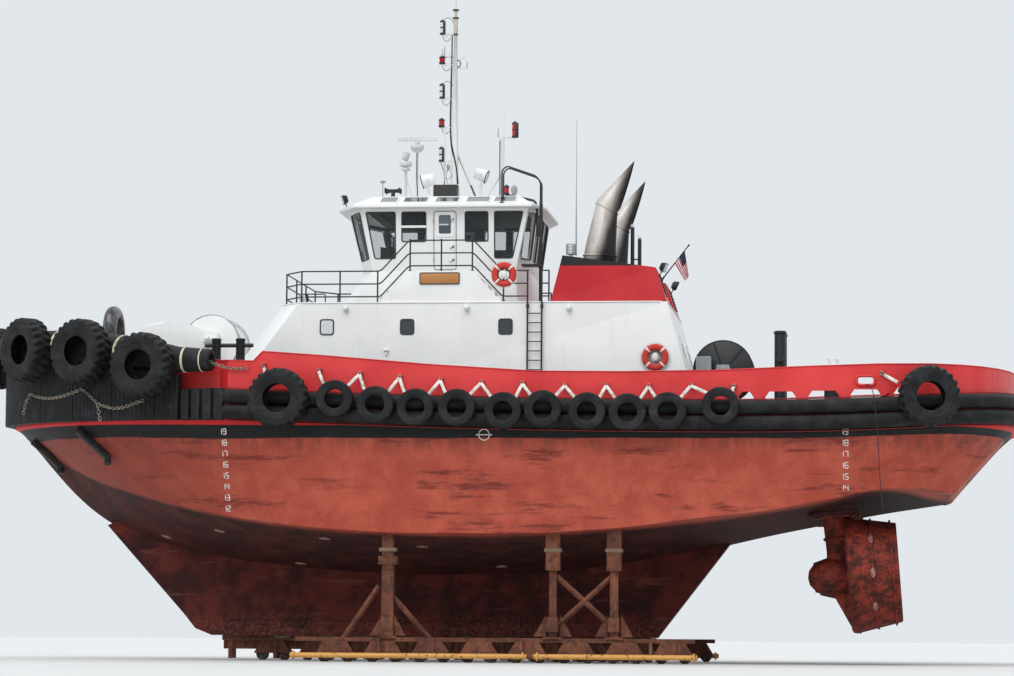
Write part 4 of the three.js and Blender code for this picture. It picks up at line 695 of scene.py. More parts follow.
for side, label in SIDES:
    body = BODY_OF[f"thruster_{label}"]
    trim = []
    for x, r in ((-0.42, 1.626), (-0.98, 1.542), (-1.52, 1.460)):
        hoop = turned([(r - 0.012, -0.03), (r + 0.012, -0.026), (r + 0.018, 0), (r + 0.012, 0.026), (r - 0.012, 0.03)],
                      (x, 0, 0), (1, 0, 0), 96)
        trim.append((in_leg(hoop[0], side), False, True))
    a = np.arange(12) * np.pi / 6
    spots = np.stack([0 * a + 0.665, 0.40 * np.cos(a), 0.40 * np.sin(a)], -1)
    studs = repeated(stud(0.026, 0.03, 0.018, 0.036, axis=(1, 0, 0)), spots)
    trim.append((in_leg(studs[0], side), False, True))
    for z, r in ((0.18, 0.40), (1.05, 0.345)):
        collar = turned([(r - 0.10, -0.05), (r, -0.045), (r + 0.03, 0), (r, 0.045), (r - 0.10, 0.05)], (0, 0, z),
                        (0, 0, 1), 40)
        trim.append((in_leg(collar[0] * (1.0, 0.76, 1.0), side), False, True))
    for turn in (0.35, -0.35):
        eye_path = ellipse((-0.62, 1.66 * math.sin(turn), 1.66 * math.cos(turn) + 0.05), (0.09, 0, 0), (0, 0, 0.09), 20)
        loop = pipe(eye_path, 0.022, 8, (0, 1, 0), closed=True)
        trim.append((in_leg(loop[0], side), True, True))
    bars_round = []
    for angle in np.radians([53, 90, 127, 233, 270, 307]):
        s, t, n = basis((0, math.sin(angle), math.cos(angle)), (1, 0, 0))
        block = repeated(turned(bar_profile, (0, 0, 0), (0, 0, 1), 18), [n * 1.535 + (-0.96, 0, 0)],
                         [np.stack([s * 0.75, t * 0.38, n], -1)])
        bars_round.append((in_leg(block[0], side), False, True))
    piece(f"thruster_fittings_{label}", trim, pod_paint, body)
    piece(f"thruster_zinc_bars_{label}", bars_round, painted_zinc, body, sharp=50)

bronze = f = Finish("dull_propeller_bronze", Metallic=0.75)
stain, scratch = f.noise(5, 5, 0.6), f.noise(30, 4, 0.6)
f.set(Base_Color=f.mix(stain.rise(0.4, 0.65), (0.30, 0.18, 0.075), (0.12, 0.085, 0.055)),
      Roughness=0.34 + scratch * 0.3)
f.relief((scratch, 0.15, 0.003), (stain, 0.2, 0.006))


def propeller_blade(sides=22, spans=26):
    """Lens-shaped sections whose chord swells then closes in a round tip and whose pitch falls from 62 to 25 degrees.

    A section point is u along the chord and v across it, turned by the pitch angle a:
    x = -0.8 + u sin a + v cos a, y = u cos a - v sin a + rake, z = radius.
    """
    r = 0.15 + (1.176 - 0.15) * np.sin(np.linspace(0, np.pi / 2, spans))
    reach = (r - 0.15) / (1.176 - 0.15)
    chord = np.interp(r, [0.15, 0.35, 0.6, 0.9, 1.05, 1.176], [0.19, 0.26, 0.35, 0.39, 0.33, 0.20])
    chord = chord * np.sqrt(np.clip(1 - np.clip((reach - 0.86) / 0.14, 0, 1) ** 2, 0.0004, 1))
    pitch = np.radians(np.interp(r, [0.18, 0.52, 0.9, 1.18], [62, 42, 30, 25]))
    thick = np.interp(r, [0.15, 0.5, 1.176], [0.048, 0.030, 0.006])
    s = np.linspace(0, 2 * np.pi, sides, endpoint=False)
    u = np.cos(s)[None] * chord[:, None]
    v = (np.sin(s) * np.abs(np.sin(s)) ** 0.3)[None] * thick[:, None]
    sa, ca = np.sin(pitch)[:, None], np.cos(pitch)[:, None]
    points = np.stack([-0.8 + u * sa + v * ca, u * ca - v * sa, np.broadcast_to(r[:, None], u.shape)], -1)
    return drawn_together(points), False, True


blade = propeller_blade()
blade_turns = []
for quarter in range(4):
    a = math.radians(90 * quarter + 22)
    blade_turns.append([[1, 0, 0], [0, math.cos(a), -math.sin(a)], [0, math.sin(a), math.cos(a)]])
hub = turned([(0, -0.562), (0.20, -0.562), (0.255, -0.57), (0.262, -0.60), (0.262, -0.93), (0.245, -0.97),
              (0.235, -0.98), (0.20, -1.06), (0.13, -1.13), (0.05, -1.165), (0, -1.168)], (0, 0, 0), (1, 0, 0), 40)
for side, label in SIDES:
    blades = repeated(blade, np.zeros((4, 3)), blade_turns)
    piece(f"propeller_{label}_turned", [(in_leg(hub[0], side), False, True), (in_leg(blades[0], side), False, True)],
          bronze, BODY_OF[f"propeller_{label}"], replaces=(f"propeller_{label}",))


# ---- Rubber fenders: two long tubes round the sides and stern, ribbed panels and a fat roll round the bow.
# Black rubber gone grey and dusty, scuffed by quays, with joints where the lengths butt together.
def rubber(name, dark, dusty, rough=0.62, dust=0.5):
    f = Finish(name, Specular_IOR_Level=0.3)
    scuff, grain = f.noise(2.4, 6, 0.65), f.noise(26, 4, 0.7)
    smear = f.noise(1.4, 5, 0.6, (0.5, 0.5, 3))
    colour = f.mix(scuff.rise(0.42, 0.70), dark, dusty)
    colour = f.mix(smear.rise(0.58, 0.74) * dust, colour, (0.040, 0.038, 0.036))
    colour = f.mix(f.facing_up.rise(0.2, 0.9) * 0.25, colour, (0.050, 0.048, 0.046))
    f.set(Base_Color=colour, Roughness=rough + grain * 0.2)
    f.relief((grain, 0.25, 0.004), (scuff, 0.2, 0.012))
    return f


def distances(path):
    """How far along a path each of its points lies."""
    return np.concatenate([[0], np.cumsum(np.linalg.norm(np.diff(path, axis=0), axis=1))])


tube_rubber = rubber("black_tube_rubber", (0.0040, 0.0045, 0.0052), (0.017, 0.018, 0.019))
stern = STERN_START - STERN_REACH * np.sin(np.linspace(0, np.pi / 2, 60))
port_x = np.concatenate([np.arange(7.25, -9, -0.06), stern])
port_run = np.stack([port_x, deck_edge(port_x), sheer(port_x)], -1)
normal = outward(np.clip(port_x, -14.9, 15))
head_on = np.clip((-14.2 - port_x) / 0.75, 0, 1)[:, None]
normal = unit(normal * (1 - head_on) + np.array([-1.0, 0, 0]) * head_on)
side_run = port_run + normal * 0.204
back = np.linspace(side_run[-1], side_run[-1] * (1, -1, 1), 30)[1:-1]
round_stern = np.concatenate([side_run, back, (side_run * (1, -1, 1))[::-1]])
gone = distances(round_stern)
for name, lift, turn in (("upper", 0.2143, 0.0), ("lower", -0.2143, 0.9)):
    gap = np.abs((gone + 1.3 + turn) % 3.05 - 1.525)
    girth = 1 - 0.10 * np.clip(1 - gap / 0.05, 0, 1)
    piece(f"side_tube_{name}", [carried(circle(0.2035, 26), round_stern + (0, 0, lift), scale=girth)],
          tube_rubber, replaces=(f"side_fender_{name}",), sharp=50)

# Steel rails above and below the tubes
rail_red = mottled("fender_rail_enamel", (8, 5, 0.7), (0.30, 0.022, 0.022), (0.06, 0.022, 0.018), (0.58, 0.68),
                   (0.5, 0.3), (0.25, 0.004))
rail_run = port_run + normal * 0.035
around = np.concatenate([rail_run, np.linspace(rail_run[-1], rail_run[-1] * (1, -1, 1), 30)[1:-1],
                         (rail_run * (1, -1, 1))[::-1]])[::2]
piece("fender_rails", [carried(oblong(0.09, 0.022, 0.008, 3), around + (0, 0, lift)) for lift in (0.452, -0.452)],
      rail_red, sharp=50)


def bow_round(angle, off):
    """The bow's plan at an ellipse angle in radians, flattened at the stem head, moved out by off along its normal."""
    angle = np.asarray(angle, float)
    normal = unit(np.stack([HALF_BEAM * np.sin(np.abs(angle)), BOW_REACH * np.cos(angle) * np.sign(angle + 1e-12)], -1))
    flat = np.clip((np.degrees(np.abs(angle)) - 78) / 6, 0, 1)[..., None]
    normal = unit(normal * (1 - flat) + np.array([1.0, 0.0]) * flat)
    x = np.minimum(BOW_START + BOW_REACH * np.sin(np.abs(angle)), 14.6)
    y = HALF_BEAM * np.cos(angle) * np.sign(angle + 1e-12)
    return np.stack([x, y], -1) + normal * off, normal


def bow_angles(end_x, count):
    """Ellipse angles from the port side round the stem to starboard, evenly spaced along the plan."""
    first = math.asin((end_x - BOW_START) / BOW_REACH)
    port = np.linspace(first, np.pi / 2, 4000)[:-1]
    line, _ = bow_round(port, 0.3)
    gone = distances(line)
    even = np.interp(np.linspace(0, gone[-1], count), gone, port)
    return np.concatenate([even, -even[::-1]])


def rib_top(x):
    """Height of the ribbed panels' upper edge."""
    return np.interp(x, [8.5, 10.6, 12.7, 14.624], [7.30, 7.64, 7.88, 8.00])


# Each rib is a rounded upright bar; every eighth groove is a wide joint between two panels
panel_rubber = rubber("ribbed_panel_rubber", (0.0045, 0.0052, 0.0062), (0.019, 0.020, 0.023), 0.58, 0.3)
angle = bow_angles(8.602, 640)
plan, normal2 = bow_round(angle, 0.0)
half_way = np.abs(np.arange(len(angle)) % 10 - 5) / 5.0
groove = 0.020 * np.clip(half_way - 0.62, 0, 1) / 0.38
groove += 0.018 * (np.abs(np.arange(len(angle)) % 100 - 50) < 1.5)
low, high = 6.041 + (plan[:, 0] - 8.6) * 0.012, rib_top(plan[:, 0])
ring = np.concatenate([[(0.02, 0.0), (0.26, 0.0), (0.285, 0.012), (0.298, 0.04)],
                       np.stack([np.full(9, 0.298), np.linspace(0.1, 0.9, 9)], -1),
                       [(0.298, 0.96), (0.285, 0.988), (0.26, 1.0), (0.02, 1.0)]])
tall = (high - low)[:, None]
share = ring[:, 1]
up_at = np.where(share < 0.05, share * 1.3, np.where(share > 0.95, tall - (1 - share) * 1.3, share * tall))
out_at = ring[None, :, 0] - groove[:, None] * (ring[None, :, 0] > 0.2)
points = np.concatenate([plan[:, None] + normal2[:, None] * out_at[..., None], (low[:, None] + up_at)[..., None]], -1)
piece("bow_ribbed_panels", [(drawn_together(points), False, True)], panel_rubber,
      replaces=("bow_fender_ribbed",), sharp=30)

# The roll tapers towards its open ends and is lashed down with webbing
roll_rubber = rubber("bow_roll_rubber", (0.0045, 0.0050, 0.0058), (0.018, 0.019, 0.021), 0.55, 0.35)


def roll_line(angle):
    """The roll's middle, its radius and the fender's normal at an ellipse angle: it thins and sags aft."""
    plan, normal = bow_round(angle, 0.15)
    x = plan[..., 0]
    fat = np.interp(x, [7.6, 8.3, 9.6, 10.4], [0.30, 0.345, 0.415, 0.445])
    level = rib_top(np.maximum(x, 8.7)) + 0.428 - np.clip(9.5 - x, 0, 3) * 0.06
    level += np.where(fat < 0.44, (0.445 - fat) * 0.45, 0)
    return np.concatenate([plan, level[..., None]], -1), fat, normal


angle = bow_angles(7.66, 110)
line, fat, _ = roll_line(angle)
ring = circle(1.0, 36)
along = unit(np.gradient(line, axis=0))
side = unit(np.cross(along, (0, 0, 1.0)))
over = np.cross(side, along)


def roll_rings(k, size):
    """The roll's circle at its k-th place, at the given radius."""
    return line[k] + (side[k] * ring[:, :1] + over[k] * ring[:, 1:]) * size


mouth = ((0.0, 0.34), (0.60, 0.34), (0.62, 0.02), (0.66, 0.0), (0.95, 0.0), (0.985, 0.012))
rolled = ([roll_rings(0, fat[0] * s) + along[0] * d for s, d in mouth]
          + [roll_rings(k, fat[k]) for k in range(1, len(line) - 1)]
          + [roll_rings(-1, fat[-1] * s) - along[-1] * d for s, d in mouth[::-1]])
piece("bow_roll", [(np.stack(rolled), False, True)], roll_rubber, replaces=("bow_fender_roll",),
      sharp=55)


def woven(name, weave, soil, levels, clean, dirty, relief, rough):
    """Soiled webbing or rope: one noise is its weave and another its dirt."""
    f = Finish(name, Roughness=rough)
    f.set(Base_Color=f.mix(f.noise(*soil).rise(*levels), clean, dirty))
    f.relief((f.noise(*weave), *relief))
    return f


webbing = woven("yellowed_webbing", (60, 2, 0.5), (4, 5, 0.7), (0.45, 0.7), (0.66, 0.60, 0.42), (0.26, 0.21, 0.13),
                (0.5, 0.004), 0.85)
lashings = []
for degrees, wide in ((50.3, 0.10), (48.9, 0.07), (47.4, 0.10), (35.0, 0.08), (22.5, 0.07), (19.5, 0.04), (69.0, 0.08)):
    for sign in (1, -1):
        spot, thick, _ = roll_line(np.array([math.radians(degrees) * sign]))
        ahead_spot, _, _ = roll_line(np.array([math.radians(degrees + 0.5) * sign]))
        s, t, n = basis((ahead_spot - spot)[0])
        loop = ellipse(spot[0], s * (thick[0] + 0.008), t * (thick[0] + 0.008), 40)
        lashings.append(carried(oblong(0.014, wide, 0.006, 2), loop, n, closed=True))
piece("bow_roll_lashings", lashings, webbing, sharp=50)

# Flat rubber pads on steel backing, held by countersunk bolts
pad_rubber = rubber("pad_rubber", (0.007, 0.008, 0.009), (0.022, 0.023, 0.026), 0.5, 0.3)
for label in ("port", "starboard"):
    dressed(f"fender_pads_{label}", pad_rubber, bevel=0.018, steps=3)
dark_hole = mottled("shadowed_bolt_hole", (40, 3), (0.003, 0.003, 0.003), (0.012, 0.010, 0.009), Roughness=0.9)
# Each bolt hole is a flat near-black disc on the pad: painted shade in the countersink.
holes = []
for x, heights in ((7.44, (0.20, 0.64)), (7.78, (0.16, 0.42, 0.70)), (8.12, (0.10, 0.40, 0.68)),
                   (8.44, (0.16, 0.40, 0.60))):
    n = outward(np.array(x))
    for h in heights:
        spot = np.array([x, deck_edge(np.array(x)), 6.06 + h]) + n * 0.184
        holes.append(turned([(0, 0.0), (0.032, 0.0), (0.036, 0.003), (0.05, 0.004), (0.052, 0.0), (0.052, -0.004),
                             (0, -0.004)], spot, n, 20))
piece("fender_pad_bolt_hole_shades", both(*holes), dark_hole)

# Galvanised chains: two swags over the ribbed panels, and one from each roll end to the bulwark
chain_steel = mottled("galvanised_chain", (14, 4, 0.6), (0.34, 0.31, 0.27), (0.20, 0.11, 0.06), (0.45, 0.65),
                      (0.5, 0.3), (0.3, 0.002), Metallic=0.55)


def chain(path, pitch=0.085, wire=0.013):
    """Oval links along a path, each turned a quarter turn from the last."""
    path = np.asarray(path, float)
    gone = distances(path)
    count = int(gone[-1] / pitch)
    at = (np.arange(count) + 0.5) * gone[-1] / count
    spots = np.stack([np.interp(at, gone, path[:, k]) for k in range(3)], -1)
    along = unit(np.gradient(spots, axis=0))
    side = unit(np.cross(along, (0.13, 0.31, 0.94)))
    over = np.cross(along, side)
    odd = (np.arange(count) % 2)[:, None] > 0
    first, second = np.where(odd, over, side), np.where(odd, -side, over)
    oval = np.column_stack([oblong(pitch * 1.42, pitch * 0.92, pitch * 0.40, 5), np.zeros(20)])
    link = carried(circle(wire, 6), oval, (0, 0, 1), closed=True)
    return repeated(link, spots, np.stack([along, first, second], -1))


swag = [(59.83, 6.957), (57.28, 6.861), (54.38, 6.798), (51.72, 6.775), (48.72, 6.806), (45.97, 6.891), (43.42, 6.994),
        (41.87, 6.839), (39.57, 6.552), (37.62, 6.446), (35.66, 6.394), (33.96, 6.415), (32.51, 6.480), (29.86, 6.611)]
drops = [[(59.83, 6.957), (60.9, 6.80), (61.9, 6.60), (62.83, 6.387)],
         [(39.57, 6.552), (39.4, 6.4), (39.2, 6.2), (38.97, 6.07)]]
chains = []
for route in [swag] + drops:
    route = np.array(route)
    s = np.linspace(0, len(route) - 1, len(route) * 8)
    deg, z = (np.interp(s, np.arange(len(route)), route[:, k]) for k in (0, 1))
    spot, _ = bow_round(np.radians(deg), 0.318)
    chains += both(chain(np.column_stack([spot, z])))
mouth_spot = line[0] + along[0] * 0.16
eye_spot = np.array([6.66, deck_edge(6.66) - 0.02, 7.48])
s = np.linspace(0, 1, 40)[:, None]
hanging = mouth_spot * (1 - s) + eye_spot * s - np.array([0, 0, 0.10]) * (4 * s * (1 - s))
hanging[:, 1] = np.maximum(hanging[:, 1], deck_edge(hanging[:, 0]) + 0.03)
chains += both(chain(hanging))
piece("bow_chains", chains, chain_steel, sharp=60)


# ---- Tyres: seven big ones ahead, two on each side and a string of ten small ones along each beam.
# Each is a hollow carcass with lugs; the small ones hang from webbing straps on eyes above the tubes.
tyre_rubber = rubber("tyre_rubber", (0.0050, 0.0055, 0.0062), (0.020, 0.021, 0.023), 0.58, 0.6)


def carcass(radius, bore, width, lugs, fine, groove):
    """A hollow tyre round the z axis, its section given as rows of (height, radius, lug weight).

    At angle a the tread is cut by groove * weight * (0.5 - 0.5 clip(2.4 cos p)), where p = lugs a + 2.1 |h| leans
    the lugs towards the shoulder, and the far half is shifted by half a pitch.
    """
    b = bore / radius
    half = np.array([(0.10, 1.0, 0.55), (0.35, 1.0, 1), (0.60, 0.997, 1), (0.82, 0.985, 1), (0.95, 0.955, 0.9),
                     (0.995, 0.905, 0.3), (0.985, 0.86, 0), (1.0, 0.845, 0), (0.985, 0.82, 0), (0.985, 0.72, 0),
                     (0.995, 0.70, 0), (0.965, 0.68, 0), (0.90, (0.68 + b) / 2, 0), (0.85, b + 0.035, 0),
                     (0.78, b, 0), (0.66, b + 0.01, 0), (0.70, b + 0.10, 0), (0.80, 0.72, 0), (0.62, 0.88, 0),
                     (0.20, 0.915, 0)])
    section = np.concatenate([half, (half * (-1, 1, 1))[::-1]])
    a = np.linspace(0, 2 * np.pi, lugs * fine, endpoint=False)[:, None]
    h, r, weight = section.T
    phase = lugs * a + 2.1 * np.abs(h) + np.pi * (h < 0)
    cut = groove * weight * (0.5 - 0.5 * np.clip(2.4 * np.cos(phase), -1, 1))
    out = radius * r - cut
    return np.stack([out * np.cos(a), out * np.sin(a), np.broadcast_to(h * width / 2, out.shape)], -1), True, True


def facing(axis):
    """The matrix that turns the z axis onto another."""
    return np.stack(basis(axis, (0, 0, 1)), -1)


big_tyre = carcass(0.93, 0.43, 0.62, 24, 8, 0.058)
piece("big_tyre_center", [repeated(big_tyre, [(15.5121, 0, 8.25)], [facing((1, 0, 0))])], tyre_rubber,
      replaces=("bow_tyre_center",), sharp=50)
for number, degrees, height in ((1, 56, 8.170), (2, 41, 8.020), (3, 28.5, 7.560)):
    foot_x = BOW_START + BOW_REACH * math.sin(math.radians(degrees))
    n = outward(np.array(foot_x))
    centre = np.array([foot_x, deck_edge(np.array(foot_x)), height]) + n * 0.828
    for sign, label in SIDES:
        flip = np.array([1, sign, 1])
        piece(f"big_tyre_{number}_{label}", [repeated(big_tyre, [centre * flip], [facing(n * flip)])], tyre_rubber,
              replaces=(f"bow_tyre_{number}_{label}",), sharp=50)
side_tyre = carcass(0.85, 0.40, 0.54, 22, 8, 0.055)
for where, x, z in (("fore", 5.60, 6.58), ("aft", -12.195, 6.63)):
    n = outward(np.array(x))
    centre = np.array([x, deck_edge(np.array(x)), z]) + n * 0.63755
    for sign, label in SIDES:
        flip = np.array([1, sign, 1])
        piece(f"quarter_tyre_{where}_{label}", [repeated(side_tyre, [centre * flip], [facing(n * flip)])], tyre_rubber,
              replaces=(f"side_tyre_{where}_{label}",), sharp=50)

hanging_tyres = np.array([(4.06, 6.57), (2.91, 6.40), (1.785, 6.33), (0.63, 6.32), (-0.66, 6.23), (-1.76, 6.28),
                          (-2.99, 6.22), (-4.11, 6.19), (-5.215, 6.22), (-6.67, 6.365)])
small_tyre = carcass(0.525, 0.27, 0.29, 30, 4, 0.012)
centres = np.column_stack([hanging_tyres[:, 0], np.full(10, 6.6529), hanging_tyres[:, 1]])
for sign, label in SIDES:
    flip = np.array([1, sign, 1])
    piece(f"small_tyres_{label}", [repeated(small_tyre, centres * flip, [facing((0.0, sign, 0.0))] * 10)], tyre_rubber,
          replaces=(f"tyre_string_{label}",), sharp=50)
strap_web = woven("white_strap_webbing", (70, 2, 0.5), (6, 5, 0.7), (0.42, 0.7), (0.74, 0.72, 0.66), (0.30, 0.26, 0.21),
                  (0.4, 0.003), 0.8)
straps, shackles, lugs = [], [], []
eyes = np.array([(4.596, 7.430), (3.440, 7.338), (2.312, 7.243), (1.163, 7.163), (0.016, 7.089), (-1.143, 7.065),
                 (-2.324, 7.013), (-3.477, 7.011), (-4.652, 6.987), (-5.826, 7.002), (-7.002, 6.973)])
s = np.linspace(0, 1, 14)[:, None]
for x, z in [*eyes, (6.20, 7.585), (-11.06, 7.325)]:
    eye_at = np.array([x, deck_edge(np.array(x)) + 0.03, z])
    shackles.append(pipe(ellipse(eye_at + (0, 0.03, -0.03), (0.045, 0, 0), (0, 0, 0.055), 24), 0.016, 8, (0, 1, 0),
                         closed=True))
    lugs.append(slab(eye_at + (-0.075, -0.12, 0.0), eye_at + (0.075, 0.03, 0.035), 0.012))
    lugs.append(slab(eye_at + (-0.012, -0.10, -0.09), eye_at + (0.012, 0.055, 0.02), 0.01))
for k, tyre_at in enumerate(centres):
    for (x, z), way in ((eyes[k], 1), (eyes[k + 1], -1)):
        top = np.array([x, 6.165, z - 0.05])
        foot_at = tyre_at + np.array([way * 0.30, -0.20, 0.33])
        leg = top * (1 - s) + foot_at * s + np.array([0, 0.05, 0]) * np.sin(np.pi * s)
        straps.append(carried(oblong(0.088, 0.012, 0.005, 2), leg, (0, 1, 0)))
for path in ([(-11.06, 5.98, 7.30), (-11.28, 6.12, 7.17), (-11.50, 6.28, 7.03)],
             [(6.20, 6.03, 7.55), (6.14, 6.12, 7.40), (6.08, 6.25, 7.22)]):
    straps.append(carried(oblong(0.088, 0.014, 0.005, 2), path, (0, 1, 0)))
piece("tyre_straps", both(*straps), strap_web, sharp=50)
piece("tyre_shackles", both(*shackles), chain_steel, sharp=50)
lug_shells = both(*lugs)


# ---- The bulwark: a red plate wall stayed by brackets inside, white on its inner face.
# Rounded freeing ports and a raised hawse pierce it; a flat bar caps it.
def enamel(name, fresh, faded, grime=0.4):
    """Sprayed paint: broad fading, thin rain streaks and rust specks."""
    f = Finish(name)
    broad, run, fleck = f.noise(0.8, 4, 0.5), f.noise(5, 5, 0.6, (1, 1, 0.12)), f.noise(22, 5, 0.75)
    colour = f.mix(broad.rise(0.35, 0.65), fresh, faded)
    colour = f.mix(run.rise(0.56, 0.78) * grime, colour, tuple(0.35 * c + 0.02 for c in fresh))
    colour = f.mix(fleck.rise(0.70, 0.76) * 0.6, colour, (0.10, 0.035, 0.018))
    f.set(Base_Color=colour, Roughness=0.34 + run * 0.22 + fleck * 0.1)
    f.relief((broad, 0.25, 0.015), (fleck, 0.2, 0.002))
    return f


red = enamel("red_topside_enamel", (0.62, 0.020, 0.022), (0.70, 0.034, 0.034))
white = enamel("white_house_enamel", (0.76, 0.76, 0.75), (0.80, 0.80, 0.79), 0.14)
black = enamel("black_gear_enamel", (0.007, 0.0075, 0.009), (0.015, 0.016, 0.018), 0.3)
grey = enamel("grey_gear_enamel", (0.26, 0.27, 0.28), (0.32, 0.33, 0.34), 0.35)
# The roof gear's white is greyer than the house white: painted shade, with grime streaks on top.
shaded_gear_white = enamel("weathered_gear_enamel", (0.56, 0.56, 0.55), (0.68, 0.68, 0.67), 0.45)
two_faced = f = Finish("bulwark_enamel")
outwards = f.facing(0) * f.x + f.facing(1) * f.y * 3
broad, run, fleck = f.noise(0.8, 4, 0.5), f.noise(5, 5, 0.6, (1, 1, 0.12)), f.noise(22, 5, 0.75)
outer = f.mix(broad.rise(0.35, 0.65), (0.62, 0.020, 0.022), (0.71, 0.036, 0.036))
outer = f.mix(run.rise(0.58, 0.78) * 0.4, outer, (0.26, 0.022, 0.020))
inner = f.mix(run.rise(0.5, 0.75) * 0.5, (0.74, 0.73, 0.71), (0.42, 0.36, 0.30))
both_faces = f.mix(outwards.rise(-0.3, 0.3), inner, outer)
f.set(Base_Color=f.mix(fleck.rise(0.70, 0.76) * 0.6, both_faces, (0.10, 0.035, 0.018)), Roughness=0.34 + run * 0.25)
f.relief((broad, 0.3, 0.02), (fleck, 0.2, 0.002))
dressed("bulwark", two_faced, bevel=0.008)

TOP = np.array([(-15, 7.56, 0.08), (-13, 7.58, 0.08), (-11.6, 7.58, 0.055), (-8.8, 7.49, 0.055), (-6, 7.37, 0.055),
                (-2.2, 7.35, 0.055), (0, 7.44, 0.055), (2.3, 7.64, 0.055), (4.65, 7.84, 0.055), (6.24, 7.957, 0.055),
                (6.51, 7.69, 0.055), (7.25, 7.72, 0.055), (7.6, 7.745, 0.34), (8.4, 7.85, 0.36), (9, 8.15, 0.38),
                (11, 8.30, 0.43), (14.6238, 8.45, 0.45)])


def edged(corners, fractions):
    """Points at the given fractions of each side of a closed outline."""
    corners, fractions = np.asarray(corners, float), np.asarray(fractions, float)[:, None]
    return np.concatenate([a + (b - a) * fractions for a, b in zip(corners, np.roll(corners, -1, 0))])


def wall_line(x, into=0.0):
    """Plan and top of the port bulwark at x, moved inboard by into."""
    n = outward(np.clip(x, -14.94, 14.62))
    ends = (x <= -14.949) | (x >= 14.623)
    n = np.where(ends[..., None], np.stack([np.sign(x) * 0.8575, 0.5145 + 0 * x, 0 * x], -1), n)
    top = np.interp(x, TOP[:, 0], TOP[:, 1])
    spot = np.stack([x, deck_edge(x), top], -1)
    return spot - n * (np.interp(x, TOP[:, 0], TOP[:, 2]) + into)[..., None], n


bow_x = BOW_START + BOW_REACH * np.sin(np.radians([81, 76, 71, 65, 58, 50, 41, 32, 22, 12, 0]))
wall_x = np.sort(np.concatenate([bow_x, [-14.95, -14.7, -14.35, -13.9, -13.3, -12.4, -11, -9, -6.5, -4, -1.5, 1.5, 3.0,
                                         6.24, 6.51, 7.25, 7.6, 9.0]]))[::-1]
cap_line, _ = wall_line(wall_x, 0.05)
cap_loop = np.concatenate([cap_line, (cap_line * (1, -1, 1))[::-1]])
steps = edged(cap_loop, np.linspace(0, 1, 5, endpoint=False))
piece("bulwark_cap", [carried(oblong(0.15, 0.03, 0.012, 3), steps, closed=True)], red, sharp=50)

port_rims, brackets = [], []
for x0, x1 in ((-7.565, -7.12), (-8.73, -7.865), (-9.925, -9.045), (-11.06, -10.20), (-11.95, -11.39)):
    z = float(sheer(np.array((x0 + x1) / 2))) + 0.38
    rim = edged([(x0, z + 0.02), (x1, z + 0.02), (x1, z + 0.14), (x1 - 0.11, z + 0.30), (x0 + 0.11, z + 0.30),
                 (x0, z + 0.14)], (0.04, 0.12, 0.5, 0.88, 0.96))
    face, _ = wall_line(rim[:, 0])
    port_rims.append(carried(oblong(0.035, 0.022, 0.009, 3), np.column_stack([rim[:, 0], face[:, 1], rim[:, 1]]),
                             (0, 1, 0), closed=True))
angle = np.linspace(0, 2 * np.pi, 40, endpoint=False)
mouth_x = -10.63 + 0.250 * np.sign(np.cos(angle)) * np.abs(np.cos(angle)) ** 0.5
mouth_z = 7.10 + 0.13 * np.sign(np.sin(angle)) * np.abs(np.sin(angle)) ** 0.5
face, _ = wall_line(mouth_x)
port_rims.append(carried(circle(0.042, 14), np.column_stack([mouth_x, face[:, 1] + 0.005, mouth_z]), (0, 1, 0),
                         closed=True))
piece("bulwark_rims", both(*port_rims), red, sharp=50)
piece("strap_lugs", lug_shells, red, sharp=40)
for x in np.concatenate([np.arange(-14.2, 6.8, 0.75), np.arange(8.0, 14.2, 0.6)]):
    if any(abs(x - m) < 0.22 for m in (-7.34, -8.15, -8.5, -9.3, -9.7, -10.4, -10.8, -11.67)):
        continue
    at, n = wall_line(np.array([x]), 0.10)
    at, n = at[0], n[0]
    z = float(sheer(np.array(x))) + 0.385
    along = np.cross((0, 0, 1), n) * 0.007
    ring = np.array([at - (0, 0, 0.03), at - n * 0.08 - (0, 0, 0.03), np.append((at - n * 0.34)[:2], z + 0.03),
                     np.append((at - n * 0.34)[:2], z - 0.02), np.append(at[:2], z - 0.02)])
    brackets.append((drawn_together(np.stack([ring - along, ring + along])), False, True))
piece("bulwark_brackets", both(*brackets), white, sharp=20)


# ---- Deck gear: bow winch and staple, mooring bitts, hose reel aft, tow bitts and a mushroom vent.
# Drums turn on bearings in their frames, and wear the wound line.
dressed("bow_winch_frame", white, bevel=0.012)
dressed("bow_winch_drum", white, bevel=0.012)
line_white = woven("wound_mooring_line", (45, 3, 0.5), (3, 4, 0.6), (0.4, 0.7), (0.60, 0.62, 0.60), (0.36, 0.35, 0.31),
                   (0.6, 0.006), 0.9)


def wound(centre, core, top, low_y, high_y, pitch, body, name):
    """Line wound on a core: the surface bulges by a half circle over each turn."""
    y = np.linspace(low_y, high_y, int((high_y - low_y) / pitch) * 6 + 1)
    phase = ((y - low_y) / pitch) % 1.0
    bulge = top - pitch / 2 + np.sqrt(np.clip((pitch / 2) ** 2 - ((phase - 0.5) * pitch) ** 2, 0, 1))
    profile = [(core - 0.02, low_y)] + list(zip(bulge, y)) + [(core - 0.02, high_y)]
    piece(name, [turned(profile, centre, (0, 1, 0), 48, closed=True)], line_white, body, sharp=60)


